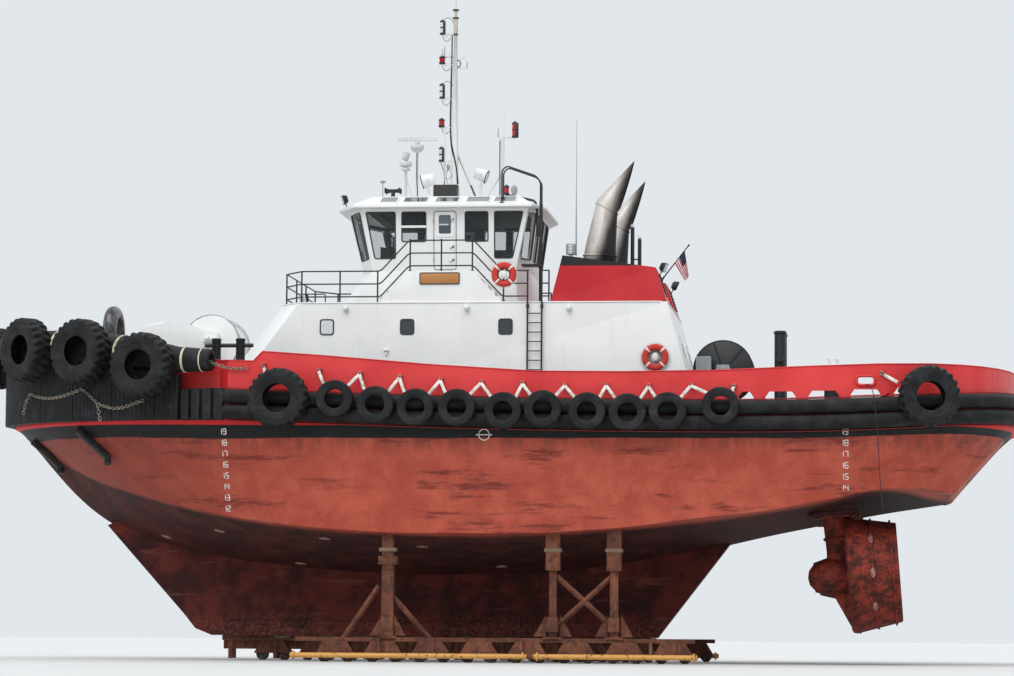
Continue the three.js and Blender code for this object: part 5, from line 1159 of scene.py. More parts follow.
WINCH, REEL = (8.75, 0, 8.63), (-6.44, 0, 7.82)
wound(WINCH, 0.38, 0.66, -0.82, 0.70, 0.06, BODY_OF["bow_winch_drum"], "bow_winch_line")
winch_bits = []
for s in (1, -1):
    winch_bits.append(turned([(0.845, -0.045), (0.865, -0.04), (0.865, 0.04), (0.845, 0.045)],
                             (WINCH[0], s * 0.79, WINCH[2]), (0, 1, 0), 48, closed=True))
    winch_bits.append(turned([(0, 0.0), (0.10, 0.0), (0.11, 0.012), (0.11, 0.05), (0.09, 0.065), (0, 0.065)],
                             (WINCH[0], s * 1.215, WINCH[2]), (0, s, 0), 28))
    for k in range(8):
        a = math.pi / 4 * k
        at = (WINCH[0] + 0.145 * math.cos(a), s * 1.215, WINCH[2] + 0.145 * math.sin(a))
        winch_bits.append(stud(0.018, 0.02, 0.012, 0.026, at, (0, s, 0)))
for z in (7.7, 8.2, 8.7):
    winch_bits.append(pipe([(9.9, 0.985, z), (10.4, 0.99, z), (10.6, 0.99, z)], 0.022, 8))
winch_bits.append(turned([(0, 0), (0.21, 0), (0.22, 0.02), (0.22, 0.42), (0.16, 0.50), (0.06, 0.52), (0, 0.52)],
                         (10.3, -0.955, 8.75), (0, -1, 0), 32))
piece("bow_winch_fittings", winch_bits, grey, sharp=40)

staple_metal = mottled("polished_staple_steel", (9, 5, 0.65, (1, 0.4, 0.4)), (0.035, 0.036, 0.040), (0.16, 0.15, 0.145),
                       (0.4, 0.68), (0.22, 0.3), (0.2, 0.004), Metallic=0.55)
a = np.linspace(0, np.pi, 30)
arch = np.concatenate([[(11.9, 0.56, 7.40), (11.9, 0.56, 8.0), (11.9, 0.56, 8.5)],
                       np.stack([0 * a + 11.9, 0.56 * np.cos(a), 8.95 + 0.67 * np.sin(a)], -1),
                       [(11.9, -0.56, 8.5), (11.9, -0.56, 8.0), (11.9, -0.56, 7.40)]])
piece("tow_staple_round", [carried(circle(0.215, 28), arch, (1, 0, 0)),
                           *both(turned([(0.235, 7.42), (0.30, 7.42), (0.30, 7.47), (0.235, 7.50)], (11.9, 0.56, 0),
                                        (0, 0, 1), 32, closed=True)),
                           slab((11.5, -0.9, 7.10), (12.3, 0.9, 7.425), 0.03)],
      staple_metal, replaces=("tow_staple",), sharp=50)

for side, label in SIDES:
    shells = [slab((6.9, 3.95 if side > 0 else -4.35, 6.84), (8.2, 4.35 if side > 0 else -3.95, 6.98), 0.02),
              pipe([(6.85, side * 4.15, 8.28), (7.5, side * 4.15, 8.28), (8.25, side * 4.15, 8.28)], 0.058, 18)]
    for x in (7.92, 7.22):
        shells.append(turned([(0, 6.95), (0.165, 6.95), (0.165, 6.985), (0.132, 7.0), (0.129, 8.40), (0.140, 8.42),
                              (0.140, 8.46), (0.12, 8.48), (0, 8.48)], (x, side * 4.15, 0), (0, 0, 1), 32))
    piece(f"bitts_{label}_round", shells, black, replaces=(f"bow_bitts_{label}",))

dressed("aft_reel_frame", grey, bevel=0.012)
dressed("aft_reel", black, bevel=0.01)
wound(REEL, 0.30, 0.74, -0.56, 0.56, 0.055, BODY_OF["aft_reel"], "aft_reel_line")
rim = [turned([(0.855, -0.03), (0.886, -0.03), (0.886, 0.03), (0.855, 0.03)], (REEL[0], s * 0.597, REEL[2]), (0, 1, 0),
              48, closed=True) for s in (1, -1)]
spokes = []
for s in (1, -1):
    for k in range(6):
        a = math.pi / 3 * k + 0.2
        far, near = (np.array([REEL[0] + q * math.cos(a), s * 0.633, REEL[2] + q * math.sin(a)]) for q in (0.84, 0.12))
        spokes.append(carried(oblong(0.05, 0.022, 0.008, 2), [far, (far + near) / 2, near], (0, 1, 0)))
piece("aft_reel_rims", rim + spokes, black, BODY_OF["aft_reel"], sharp=50)

shells = [pipe([(-8.1, -0.9, 8.15), (-8.1, 0, 8.15), (-8.1, 0.9, 8.15)], 0.108, 24),
          slab((-8.45, -0.8, 6.50), (-7.75, 0.8, 6.62), 0.02)]
for y in (0.45, -0.45):
    shells.append(turned([(0, 6.6), (0.21, 6.6), (0.21, 6.64), (0.172, 6.66), (0.168, 8.88), (0.19, 8.90), (0.19, 8.95),
                          (0.16, 8.98), (0, 8.98)], (-8.1, y, 0), (0, 0, 1), 36))
piece("tow_bitt_round", shells, black, replaces=("tow_bitt",))
vent_cap = f = Finish("vent_cap_enamel")
run = f.noise(5, 5, 0.6, (1, 1, 0.15))
top_paint = f.mix(run.rise(0.5, 0.75) * 0.5, (0.70, 0.70, 0.68), (0.36, 0.33, 0.30))
f.set(Base_Color=f.mix(f.z.rise(7.62, 7.66), (0.010, 0.011, 0.013), top_paint), Roughness=0.4 + run * 0.2)
f.relief((run, 0.2, 0.004))
piece("mushroom_vent_turned",
      [turned([(0, 6.505), (0.30, 6.505), (0.30, 6.53), (0.262, 6.55), (0.258, 7.60), (0.275, 7.66), (0.40, 7.68),
               (0.448, 7.70), (0.45, 7.73), (0.435, 7.84), (0.40, 7.87), (0.17, 7.90), (0.158, 7.92), (0.15, 8.06),
               (0.13, 8.08), (0, 8.08)], (-9.66, 1.5, 0), (0, 0, 1), 44)], vent_cap,
      replaces=("mushroom_vent",))


# ---- The deckhouse: white plate with small ports, wall lamps, a floodlight and doors in its end walls.
# A window is a rubber or steel ring with rounded corners over its opening, and a pane behind it.
window_rubber = mottled("window_rubber", (30, 3), (0.012, 0.013, 0.014), (0.035, 0.036, 0.038), Roughness=0.55)
clear_glass = mottled("cabin_glass", (1.2, 3, 0.5), (0.05, 0.07, 0.075), (0.10, 0.13, 0.135), rough=(0.03, 0.06),
                      Alpha=0.14)
door_glass = f = Finish("door_glass")
film = f.noise(2.0, 3, 0.5)
# Painted reflection on the door panes: a thin bright streak, and a lighter upper part of the glass.
bright = f.z.between(11.925, 11.965, 0.008) * f.x.between(1.46, 1.74, 0.01)
painted_reflection_tone = f.mix(f.z.rise(11.9, 11.98), (0.055, 0.068, 0.082), (0.095, 0.120, 0.135))
f.set(Base_Color=f.mix(bright, painted_reflection_tone, (0.55, 0.62, 0.64)), Roughness=0.06 + film * 0.1)
# Opaque near-black panes for the deckhouse ports and roof skylights: painted shade of the unlit space behind them.
interior_shade_glass = mottled("dark_interior_shade_glass", (2.5, 4, 0.5), (0.022, 0.027, 0.032), (0.050, 0.058, 0.066),
                     rough=(0.06, 0.12))


def ribbed_glass(name, hollow, crest, smooth):
    """Lamp glass with level ribs 20 mm apart."""
    f = Finish(name)
    rib = f.z.wave(0.02)
    f.set(Base_Color=f.mix(rib, hollow, crest), Roughness=smooth + rib * 0.2)
    return f


lamp_glass = ribbed_glass("ribbed_lamp_glass", (0.50, 0.54, 0.55), (0.72, 0.75, 0.76), 0.10)
red_glass = ribbed_glass("red_lamp_glass", (0.30, 0.006, 0.010), (0.55, 0.018, 0.022), 0.12)
dressed("deckhouse", white, bevel=0.03, steps=3)


def rounded(corners, grow, radius, steps=6):
    """A convex outline moved out by grow, each corner replaced by a quadratic curve of the given reach."""
    p = np.asarray(corners, float)
    ahead, behind = unit(np.roll(p, -1, 0) - p), unit(p - np.roll(p, 1, 0))
    n1, n2 = np.stack([behind[:, 1], -behind[:, 0]], -1), np.stack([ahead[:, 1], -ahead[:, 0]], -1)
    p = p + grow * (n1 + n2) / (1 + np.sum(n1 * n2, 1))[:, None]
    t = np.linspace(0, 1, steps)[:, None]
    return np.concatenate([(1 - t) ** 2 * (c - b * radius) + 2 * t * (1 - t) * c + t ** 2 * (c + a * radius)
                           for c, a, b in zip(p, ahead, behind)])


def window(corners, outside, ring=(0.012, -0.024), proud=0.010, round_at=0.055, depth=0.03):
    """Ring and pane over a flat four-cornered opening; outside is a point off its outer face."""
    corners = np.asarray(corners, float)
    middle = corners.mean(0)
    u = unit(corners[1] - corners[0])
    n = unit(np.cross(u, corners[2] - corners[1]))
    if np.dot(n, np.asarray(outside, float) - middle) < 0:
        n = -n
    v = np.cross(n, u)
    flat = np.stack([(corners - middle) @ u, (corners - middle) @ v], -1)
    turn = np.sum(flat[:, 0] * np.roll(flat[:, 1], -1) - flat[:, 1] * np.roll(flat[:, 0], -1))
    if turn < 0:
        flat = flat[::-1]

    def at(outline, height):
        return middle + outline[:, :1] * u + outline[:, 1:] * v + n * height

    out, inn = rounded(flat, ring[0], round_at + 0.03), rounded(flat, ring[1], round_at)
    out_in, inn_out = rounded(flat, ring[0] - 0.006, round_at + 0.024), rounded(flat, ring[1] + 0.006, round_at + 0.006)
    loop = np.stack([at(out, -0.004), at(out, proud * 0.7), at(out_in, proud), at(inn_out, proud), at(inn, proud * 0.6),
                     at(inn, -depth - 0.004), at(out_in, -depth * 0.3)])
    behind = rounded(flat, ring[1] + 0.012, round_at)
    pane = drawn_together(np.stack([at(behind, -depth), at(behind, -depth + 0.008)]))
    return (loop, True, True), (pane, False, True)


def wall_y(z):
    """The deckhouse's upright side, and the wheelhouse's, which leans out towards its eaves."""
    return np.where(np.asarray(z) < 9.6, 3.3, 2.28 + 0.17 * (np.asarray(z) - 10.6) / 1.82)


def side_quad(x0, x1, h0, h1, z0, z1):
    """Corners of an opening in a side wall: x0 to x1 at its foot z0, h0 to h1 at its head z1."""
    return [(x0, wall_y(z0), z0), (x1, wall_y(z0), z0), (h1, wall_y(z1), z1), (h0, wall_y(z1), z1)]


def end_quad(slope, y, half, z0, z1):
    """Corners of an opening in a sloping end wall, half to either side of y."""
    return [(slope(z), y + d, z) for d, z in ((-half, z0), (half, z0), (half, z1), (-half, z1))]


rings, dark_panes, lit_panes, door_rings = [], [], [], []
for x, bright in ((4.86, True), (2.52, False), (-0.33, False)):
    quad = side_quad(x - 0.19, x + 0.19, x - 0.19, x + 0.19, 8.66, 9.09)
    ring, pane = window(quad, (x, 9, 8.9), (0.02, -0.02), 0.02, 0.07, -0.004)
    rings.append(ring)
    (lit_panes if bright else dark_panes).append(pane)
fore_slope = lambda z: 8.62 - (z - 6.45) * 0.7508
aft_slope = lambda z: -5.85 + (z - 6.45) * 0.2812
for y in (-1.7, 1.7):
    ring, pane = window(end_quad(fore_slope, y, 0.2, 8.55, 9.0), (12, y, 12), (0.02, -0.02), 0.02, 0.07, -0.004)
    rings.append(ring)
    dark_panes.append(pane)
    ring, pane = window(end_quad(aft_slope, y, 0.36, 7.0, 8.75), (-12, y, 8), (0.02, -0.012), 0.025, 0.12, -0.006)
    dark_panes.append(window(end_quad(aft_slope, y, 0.15, 8.1, 8.5), (-12, y, 8), (0.02, 0.0), 0.02, 0.05, -0.03)[1])
    door_rings.append(ring)
    piece(f"house_door_{'port' if y > 0 else 'starboard'}", [pane], white, sharp=50)
piece("deckhouse_window_rings", both(*rings[:3]) + rings[3:], window_rubber, sharp=40)
piece("house_door_frames", door_rings, white, sharp=40)
piece("deckhouse_dark_panes", both(*dark_panes[:2]) + dark_panes[2:], interior_shade_glass, sharp=50)
piece("deckhouse_lit_panes", both(*lit_panes), lamp_glass, sharp=50)

# Wall lamps, a folded bracket, floodlights, and the boat deck's rounded lip
lamps, lamp_lenses, flood_lenses, lamp_heads = [], [], [], []
for x, z in ((4.31, 9.43), (0.79, 9.44), (-2.16, 9.42)):
    lamps.append(turned([(0, 0), (0.05, 0), (0.05, 0.015), (0.03, 0.02), (0.03, 0.07), (0, 0.07)], (x, 3.3, z),
                        (0, 1, 0), 20))
    lamps.append(turned([(0, 0.10), (0.055, 0.10), (0.075, 0.07), (0.08, 0.03), (0.078, 0.0), (0, 0.0)],
                        (x, 3.38, z - 0.04), (0, 0, 1), 24))
    lamp_lenses.append(turned([(0, 0), (0.060, 0), (0.062, -0.04), (0.045, -0.08), (0, -0.095)], (x, 3.38, z - 0.04),
                              (0, 0, 1), 24))
lamps.append(slab((3.05, 3.28, 8.18), (3.19, 3.40, 8.22), 0.01))
lamps.append(slab((3.09, 3.28, 8.06), (3.15, 3.36, 8.18), 0.01))
piece("wall_lamps", both(*lamps), white, sharp=40)
piece("wall_lamp_lenses", both(*lamp_lenses), lamp_glass, sharp=60)


def floodlight(at, aim, size=0.13):
    """A square lamp head with cooling ribs behind and a yoke below, pointing along aim."""
    s, t, n = basis(aim)
    frame_of = np.stack([s, t, n], -1)
    body = [oblong(2 * size * k, 2 * size * k, size * 0.25) for k in (0.55, 0.8, 1.0, 1.04, 1.04)]
    depth = (-0.16, -0.14, -0.05, -0.045, 0.0)
    head = drawn_together(np.stack([np.column_stack([b, np.full(len(b), d)]) for b, d in zip(body, depth)]))
    lens = drawn_together(np.stack([np.column_stack([oblong(1.75 * size, 1.75 * size, size * 0.2), np.full(16, d)])
                                    for d in (-0.01, 0.008)]))
    a = np.linspace(0, np.pi, 12)
    yoke = np.stack([size * 1.2 * np.cos(a), -size * 1.3 * np.sin(a), -0.07 + 0 * a], -1)
    post = np.array([(0, -size * 1.3, -0.07), (0, -size * 2.0, -0.07), (0, -size * 2.4, -0.07)])
    place = lambda shell: (shell[0] @ frame_of.T + np.asarray(at, float), shell[1], shell[2])
    return ([place((head, False, True)), place(pipe(yoke, 0.012, 8, (0, 0, 1))),
             place(pipe(post, 0.014, 8, (0, 0.3, 1)))], [place((lens, False, True))])


for at, aim in (((5.59, 3.22, 9.72), (0.5, 0.8, -0.25)), ((5.59, -3.22, 9.72), (0.5, -0.8, -0.25)),
                ((4.66, 2.0, 12.73), (0.9, 0.3, -0.3)), ((4.66, -2.0, 12.73), (0.9, -0.3, -0.3)),
                ((-4.88, 2.60, 10.62), (-0.9, 0.25, -0.42)), ((-4.88, -2.60, 10.62), (-0.9, -0.25, -0.42))):
    head, lens = floodlight(at, aim)
    lamp_heads += head
    flood_lenses += lens
piece("floodlight_heads", lamp_heads, black, sharp=40)
piece("floodlight_lenses", flood_lenses, lamp_glass, sharp=40)
lip = edged([(6.27, 2.6, 9.58), (5.70, 3.3, 9.58), (-4.97, 3.3, 9.58), (-4.97, -3.3, 9.58), (5.70, -3.3, 9.58),
             (6.27, -2.6, 9.58)], np.linspace(0.02, 0.98, 5))
piece("boat_deck_lip", [carried(oblong(0.05, 0.04, 0.015, 3), lip, closed=True)], white, sharp=50)


# ---- Rails and ladders: black pipe rails round the boat deck, over the landings, and a ladder on each side.
# The port corner of the wheelhouse has a ladder of its own, bent over onto the roof.
def filleted(points, radius, steps=5):
    """A path whose inner corners are replaced by quadratic curves that start radius before them."""
    p = np.asarray(points, float)
    out = [p[:1]]
    t = np.linspace(0, 1, steps)[:, None]
    for a, b, c in zip(p[:-2], p[1:-1], p[2:]):
        into, onward = unit(a - b), unit(c - b)
        reach = min(radius, np.linalg.norm(a - b) * 0.45, np.linalg.norm(c - b) * 0.45)
        out.append((1 - t) ** 2 * (b + into * reach) + 2 * t * (1 - t) * b + t ** 2 * (b + onward * reach))
    return np.concatenate(out + [p[-1:]])


BOAT_DECK, RAIL_Y = 9.58, 3.24
pipes_black = []
for height in (0.18, 0.55, 0.92):
    half = [(6.2, 2.45, BOAT_DECK), (5.62, RAIL_Y, BOAT_DECK), (3.32, RAIL_Y, BOAT_DECK), (2.49, RAIL_Y, 10.47),
            (0.62, RAIL_Y, 10.47), (-0.22, RAIL_Y, BOAT_DECK), (-0.97, RAIL_Y, BOAT_DECK)]
    port_way = np.array(half) + (0, 0, height)
    starboard_way = (port_way * (1, -1, 1))[::-1]
    pipes_black.append(pipe(filleted(np.concatenate([starboard_way, port_way]), 0.10), 0.021, 10, (0.2, 0.1, 1)))
    pipes_black += both(pipe([(-1.38, RAIL_Y, BOAT_DECK + height), (-1.48, RAIL_Y, BOAT_DECK + height),
                              (-1.58, RAIL_Y, BOAT_DECK + height)], 0.021, 10))
for x, y, foot_z in ((6.2, 0.8, BOAT_DECK), (6.2, 2.45, BOAT_DECK), (5.62, RAIL_Y, BOAT_DECK), (4.5, RAIL_Y, BOAT_DECK),
                     (3.4, RAIL_Y, BOAT_DECK),
                     (2.46, RAIL_Y, 10.50), (1.55, RAIL_Y, 10.50), (0.65, RAIL_Y, 10.50), (-0.26, RAIL_Y, BOAT_DECK),
                     (-1.57, RAIL_Y, BOAT_DECK)):
    pipes_black += both(pipe([(x, y, foot_z), (x, y, foot_z + 0.46), (x, y, foot_z + 0.93)], 0.024, 10, (1, 0.1, 0)),
                        stud(0.06, 0.012, 0.03, 0.02, (x, y, foot_z), (0, 0, 1), 14))
pipes_black += both(pipe(filleted([(5.60, 3.05, BOAT_DECK), (5.60, 3.05, 9.86), (4.96, 3.05, 9.86),
                                   (4.96, 3.05, BOAT_DECK)], 0.05), 0.018, 8, (0, 1, 0)))
for x in (-0.97, -1.38):
    pipes_black += both(pipe(filleted([(x, 3.39, 6.64), (x, 3.39, 10.42), (x, 3.36, 10.50), (x, RAIL_Y, 10.50)], 0.08),
                             0.026, 10, (1, 0, 0.1)),
                        pipe([(x, 3.29, 8.02), (x, 3.34, 8.02), (x, 3.39, 8.02)], 0.018, 8),
                        slab((x - 0.04, 3.30, 9.40), (x + 0.04, 3.42, 9.52), 0.01))
for z in (6.80, 7.07, 7.34, 7.61, 7.88, 8.15, 8.42, 8.69, 8.96, 9.23):
    pipes_black += both(pipe([(-0.97, 3.39, z + 0.016), (-1.17, 3.39, z + 0.016), (-1.38, 3.39, z + 0.016)], 0.015, 8))
piece("pipe_rails", pipes_black, black, replaces=("rails",), sharp=50)

EAVES_Y, EAVES_Z, SLOPE_RUN, SLOPE_RISE = 2.72, 12.51, 0.89, 0.34
hoop = []
for y in (2.20, 2.62):
    roof_z = EAVES_Z + SLOPE_RISE * (EAVES_Y - y) / SLOPE_RUN
    way = filleted([(-1.245, y, 9.58), (-1.245, y, 12.45), (-1.245, y, 12.6), (-1.245, y, 13.14), (-1.115, y, 13.32),
                    (-0.26, y, 13.62), (-0.12, y, 13.49), (-0.12, y, roof_z)], 0.12, 7)
    slim = np.where((way[:, 2] > 12.55) | (way[:, 0] > -1.2), 0.72, 1.0)
    hoop.append(carried(circle(0.031, 12), way, (0, 1, 0), scale=slim))
    hoop.append(stud(0.07, 0.012, 0.04, 0.02, (-0.12, y, roof_z), (0, 0, 1), 16))
for z in 9.917 + 0.33 * np.arange(9):
    hoop.append(pipe([(-1.245, 2.20, z), (-1.245, 2.4, z), (-1.245, 2.62, z)], 0.016, 8))
hoop.append(slab((-1.275, 2.17, 10.70), (-0.70, 2.65, 10.76), 0.02))
piece("roof_ladder_pipes", hoop, black, replaces=("roof_ladder",), sharp=50)


# ---- The wheelhouse: white plate leaning out all round, glazed on every side, over a landing and steps.
# Windows have thin black gaskets, the doors small windows and lever handles, and the roof has skylights.
dressed("wheelhouse_base", white, bevel=0.018)
cabin_paint = f = Finish("wheelhouse_enamel")
# The walls' inner faces are near black: painted shade inside the unlit wheelhouse.
from_middle = f.facing(0) * (f.x - 1.7) + f.facing(1) * f.y
run = f.noise(5, 5, 0.6, (1, 1, 0.12))
outer = f.mix(run.rise(0.56, 0.78) * 0.14, (0.77, 0.77, 0.76), (0.29, 0.28, 0.27))
f.set(Base_Color=f.mix(from_middle.rise(-0.35, 0.1), (0.035, 0.033, 0.031), outer), Roughness=0.36 + run * 0.22)
dressed("wheelhouse_walls", cabin_paint, bevel=0.006)
dressed("wheelhouse_roof", white, bevel=0.02, steps=3)
gaskets, glass = [], []
for x0, x1, h0, h1, z0, z1 in ((3.02, 3.64, 3.02, 3.90, 10.96, 12.32), (2.12, 2.84, 2.12, 2.84, 11.45, 12.32),
                               (0.30, 0.98, 0.30, 0.98, 11.45, 12.32), (-0.41, 0.12, -0.73, 0.12, 10.96, 12.32)):
    ring, pane = window(side_quad(x0, x1, h0, h1, z0, z1), (1.5, 9, 11.5))
    gaskets += both(ring)
    glass += both(pane)
FOOT = dict(fore=4.12, fore_half=1.25, shoulder=3.69, half=2.28, aft_shoulder=-0.50, aft=-0.85, aft_half=1.50)
HEAD = dict(fore=4.56, fore_half=1.40, shoulder=4.06, half=2.45, aft_shoulder=-0.87, aft=-1.07, aft_half=1.65)


def cabin(z):
    """The wheelhouse's plan at height z, on straight lines from its foot to its eaves."""
    t = (z - 10.6) / 1.82
    return {key: FOOT[key] + (HEAD[key] - FOOT[key]) * t for key in FOOT}


def bay(low_a, low_b, high_a, high_b):
    """An end or corner window, 0.11 m in from the posts at both sides of its bay."""
    quad = []
    for a, b, z, order in ((low_a, low_b, 10.97, (0, 1)), (high_a, high_b, 12.32, (1, 0))):
        a, b = np.array(a), np.array(b)
        step = unit(b - a) * 0.11
        ends = (a + step, b - step)
        quad += [(*ends[k], z) for k in order]
    middle = np.mean(quad, 0)
    return window(quad, middle + (middle - np.array([1.7, 0, 11.6])) * (1, 1, 0))


low, high = cabin(10.97), cabin(12.32)
for key in ("fore", "aft"):
    cuts = np.linspace(1, -1, 4)
    for a, b in zip(cuts[:-1], cuts[1:]):
        ring, pane = bay(*[(level[key], s * level[key + "_half"]) for level in (low, high) for s in (a, b)])
        gaskets.append(ring)
        glass.append(pane)
for shoulder, end in (("shoulder", "fore"), ("aft_shoulder", "aft")):
    ring, pane = bay(*[spot for level in (low, high)
                       for spot in ((level[shoulder], level["half"]), (level[end], level[end + "_half"]))])
    gaskets += both(ring)
    glass += both(pane)
bar_z = 11.89
bar_y = float(wall_y(bar_z))
piece("window_bars", both(slab((2.11, bar_y - 0.035, bar_z - 0.035), (2.85, bar_y + 0.018, bar_z + 0.035), 0.008)),
      white, sharp=40)
piece("cabin_gaskets", gaskets, window_rubber, sharp=40)
piece("cabin_panes", glass, clear_glass, sharp=50)

for sign, label in SIDES:
    body = BODY_OF[f"wheelhouse_door_{label}"]
    dressed(f"wheelhouse_door_{label}", white, bevel=0.008)
    flip = np.array([1, sign, 1])
    ring, pane = window(np.array(side_quad(1.38, 1.75, 1.38, 1.75, 11.67, 12.23)) * flip + (0, sign * 0.010, 0),
                        (1.5, sign * 9, 12), (0.085, -0.01), 0.028, 0.05, 0.004)
    piece(f"door_window_frame_{label}", [ring], white, body, sharp=40)
    piece(f"door_pane_{label}", [pane], door_glass, body, sharp=50)
    levers = []
    for z, tilt in ((12.10, -0.09), (11.30, -0.06), (10.92, -0.09)):
        y = float(wall_y(z)) + 0.012
        levers.append(turned([(0, 0), (0.03, 0), (0.03, 0.02), (0.018, 0.028), (0.018, 0.05), (0, 0.05)],
                             np.array([1.32, y, z]) * flip, (0, sign, 0), 16))
        levers.append(pipe(np.array([(1.32, y + 0.045, z), (1.36, y + 0.05, z + tilt * 0.6),
                                     (1.42, y + 0.05, z + tilt)]) * flip, 0.011, 8, (0, 1, 0)))
    piece(f"door_levers_{label}", levers, black, body, sharp=40)
way = rounded([(1.25, 10.65), (1.88, 10.65), (1.88, 12.32), (1.25, 12.32)], 0.012, 0.10, 5)
way = np.column_stack([way[:, 0], wall_y(way[:, 1]) + 0.004, way[:, 1]])
frames = [carried(oblong(0.030, 0.014, 0.005, 2), way, (0, 1, 0), closed=True)]
for z in (10.95, 11.5, 12.05):
    frames.append(turned([(0, -0.06), (0.016, -0.06), (0.018, 0.0), (0.016, 0.06), (0, 0.06)],
                         (1.895, float(wall_y(z)) + 0.018, z), (0, 0, 1), 12))
piece("door_frames", both(*frames), grey, sharp=40)

# The name board is left blank
board_wood = mottled("varnished_board", (2.5, 6, 0.6, (0.8, 1, 14)), (0.34, 0.13, 0.035), (0.52, 0.24, 0.075),
                     rough=(0.4, 0.2), relief=(0.3, 0.003))
boards = both(slab((1.03, 3.288, 10.125), (2.15, 3.318, 10.425), 0.008))
piece("name_boards", boards, board_wood, sharp=40)
edge = edged([(1.02, 10.115), (2.16, 10.115), (2.16, 10.435), (1.02, 10.435)], np.linspace(0.03, 0.97, 5))
piece("name_board_edges", both(carried(oblong(0.028, 0.024, 0.006, 2),
                                       np.column_stack([edge[:, 0], np.full(len(edge), 3.312), edge[:, 1]]), (0, 1, 0),
                                       closed=True)), black, sharp=40)

# Skylights in the roof's slopes
sky_rings, sky_panes = [], []
for x0, x1 in ((2.97, 3.47), (2.09, 2.79), (1.17, 1.85), (0.26, 0.94), (-0.50, 0.13)):
    quad = [(x0, EAVES_Y - SLOPE_RUN * t, EAVES_Z + SLOPE_RISE * t) for t in (0.16, 0.80)]
    quad = [quad[0], (x1, *quad[0][1:]), (x1, *quad[1][1:]), quad[1]]
    ring, pane = window(quad, (x0, 8, 20), (0.03, -0.015), 0.035, 0.06, -0.012)
    sky_rings += both(ring)
    sky_panes += both(pane)
for y0, y1 in ((-1.15, -0.42), (-0.36, 0.36), (0.42, 1.15)):
    quad = [(4.83 - SLOPE_RUN * t, y, EAVES_Z + SLOPE_RISE * t) for t,
            y in ((0.16, y0), (0.16, y1), (0.80, y1), (0.80, y0))]
    ring, pane = window(quad, (12, 0, 20), (0.03, -0.015), 0.035, 0.06, -0.012)
    sky_rings.append(ring)
    sky_panes.append(pane)
piece("skylight_rings", sky_rings, white, sharp=40)
piece("skylight_panes", sky_panes, interior_shade_glass, sharp=50)


# ---- Inside the wheelhouse: a dark lining, a helm seat, screens, a wheel and levers, seen through the glass. The lining is partly dark fittings and partly painted shade of the unlit room.
# The desk and seat are the console's own blocks; what is added stands on them.
lining_and_shade = mottled("dark_lining_and_painted_shade", (18, 4), (0.020, 0.019, 0.018), (0.045, 0.042, 0.040), relief=(0.3, 0.004),
                 Roughness=0.8)
dressed("wheelhouse_console", lining_and_shade, bevel=0.03, steps=3)
# The first slab is a near-black ceiling sheet under the white roof: painted shade.
inside = [slab((-0.70, -2.18, 12.375), (3.95, 2.18, 12.40), 0.01), slab((2.55, -0.9, 12.10), (3.35, 0.9, 12.30), 0.03),
          slab((2.60, -0.06, 12.28), (2.75, 0.06, 12.39), 0.01), slab((3.15, -0.06, 12.28), (3.30, 0.06, 12.39), 0.01)]
for y in (-0.42, 0.42):
    inside.append(slab((1.85, y - 0.07, 11.42), (2.45, y + 0.07, 11.50), 0.025))
    inside.append(slab((1.90, y - 0.05, 11.20), (2.05, y + 0.05, 11.43), 0.02))
inside.append(slab((1.80, -0.20, 11.96), (1.92, 0.20, 12.20), 0.04))
for y in (-0.95, -0.32, 0.32, 0.95):
    inside.append(slab((3.35, y - 0.23, 11.44), (3.41, y + 0.23, 11.84), 0.015))
    inside.append(slab((3.37, y - 0.05, 11.36), (3.45, y + 0.05, 11.50), 0.01))
for x in (0.4, 1.2, 2.0, 2.8, 3.6):
    inside.append(slab((x - 0.04, -2.15, 12.32), (x + 0.04, 2.15, 12.378), 0.01))
rim = ellipse((2.86, 0, 11.52), (0, 0.24, 0), (0.09, 0, 0.22), 28)
inside.append(pipe(rim, 0.018, 8, (1, 0, 0.3), closed=True))
inside.append(pipe([(2.86, -0.23, 11.52), (2.86, 0, 11.52), (2.86, 0.23, 11.52)], 0.014, 8, (1, 0, 0)))
inside.append(pipe([(2.86, 0, 11.52), (2.98, 0, 11.47), (3.12, 0, 11.40)], 0.025, 8))
for y in (-0.42, 0.42):
    inside.append(pipe([(2.30, y, 11.49), (2.32, y, 11.58), (2.35, y, 11.64)], 0.014, 8))
    inside.append(turned([(0, -0.03), (0.03, -0.02), (0.034, 0.01), (0.02, 0.035), (0, 0.04)], (2.355, y, 11.66),
                         (0, 0, 1), 14))
piece("wheelhouse_inside", inside, lining_and_shade, sharp=45)
screen = mottled("unlit_screen", (3, 3), (0.010, 0.014, 0.020), (0.030, 0.040, 0.055), Roughness=0.15)
piece("wheelhouse_screens", [slab((3.338, y - 0.20, 11.47), (3.352, y + 0.20, 11.81), 0.006)
                             for y in (-0.95, -0.32, 0.32, 0.95)], screen, sharp=45)


# ---- Masts and the roof's gear: lanterns, aerials, radar, compass, searchlights, horn and hoses.
# Lanterns have black caps round ribbed glass, and cables run down the mast.
mast_white = f = Finish("mast_enamel", Roughness=0.4)
run = f.noise(6, 5, 0.6, (1, 1, 0.1))
paint = f.mix(run.rise(0.5, 0.75) * 0.5, (0.66, 0.65, 0.63), (0.34, 0.32, 0.29))
paint = f.mix(f.z.rise(17.97, 17.98), paint, (0.50, 0.46, 0.36))
foot_mask = 1 - f.z.rise(13.413, 13.418)
f.set(Base_Color=f.mix(foot_mask, paint, (0.022, 0.021, 0.020)), Roughness=0.38 + run * 0.2)
dressed("mast", mast_white, sharp=50, bevel=0.006, steps=1)
for node in ("aft_mast", "radar_post", "dome_aerial"):
    dressed(node, shaded_gear_white, sharp=45, bevel=0.006, steps=1)
dressed("radar_scanner", shaded_gear_white, bevel=0.035, steps=3)


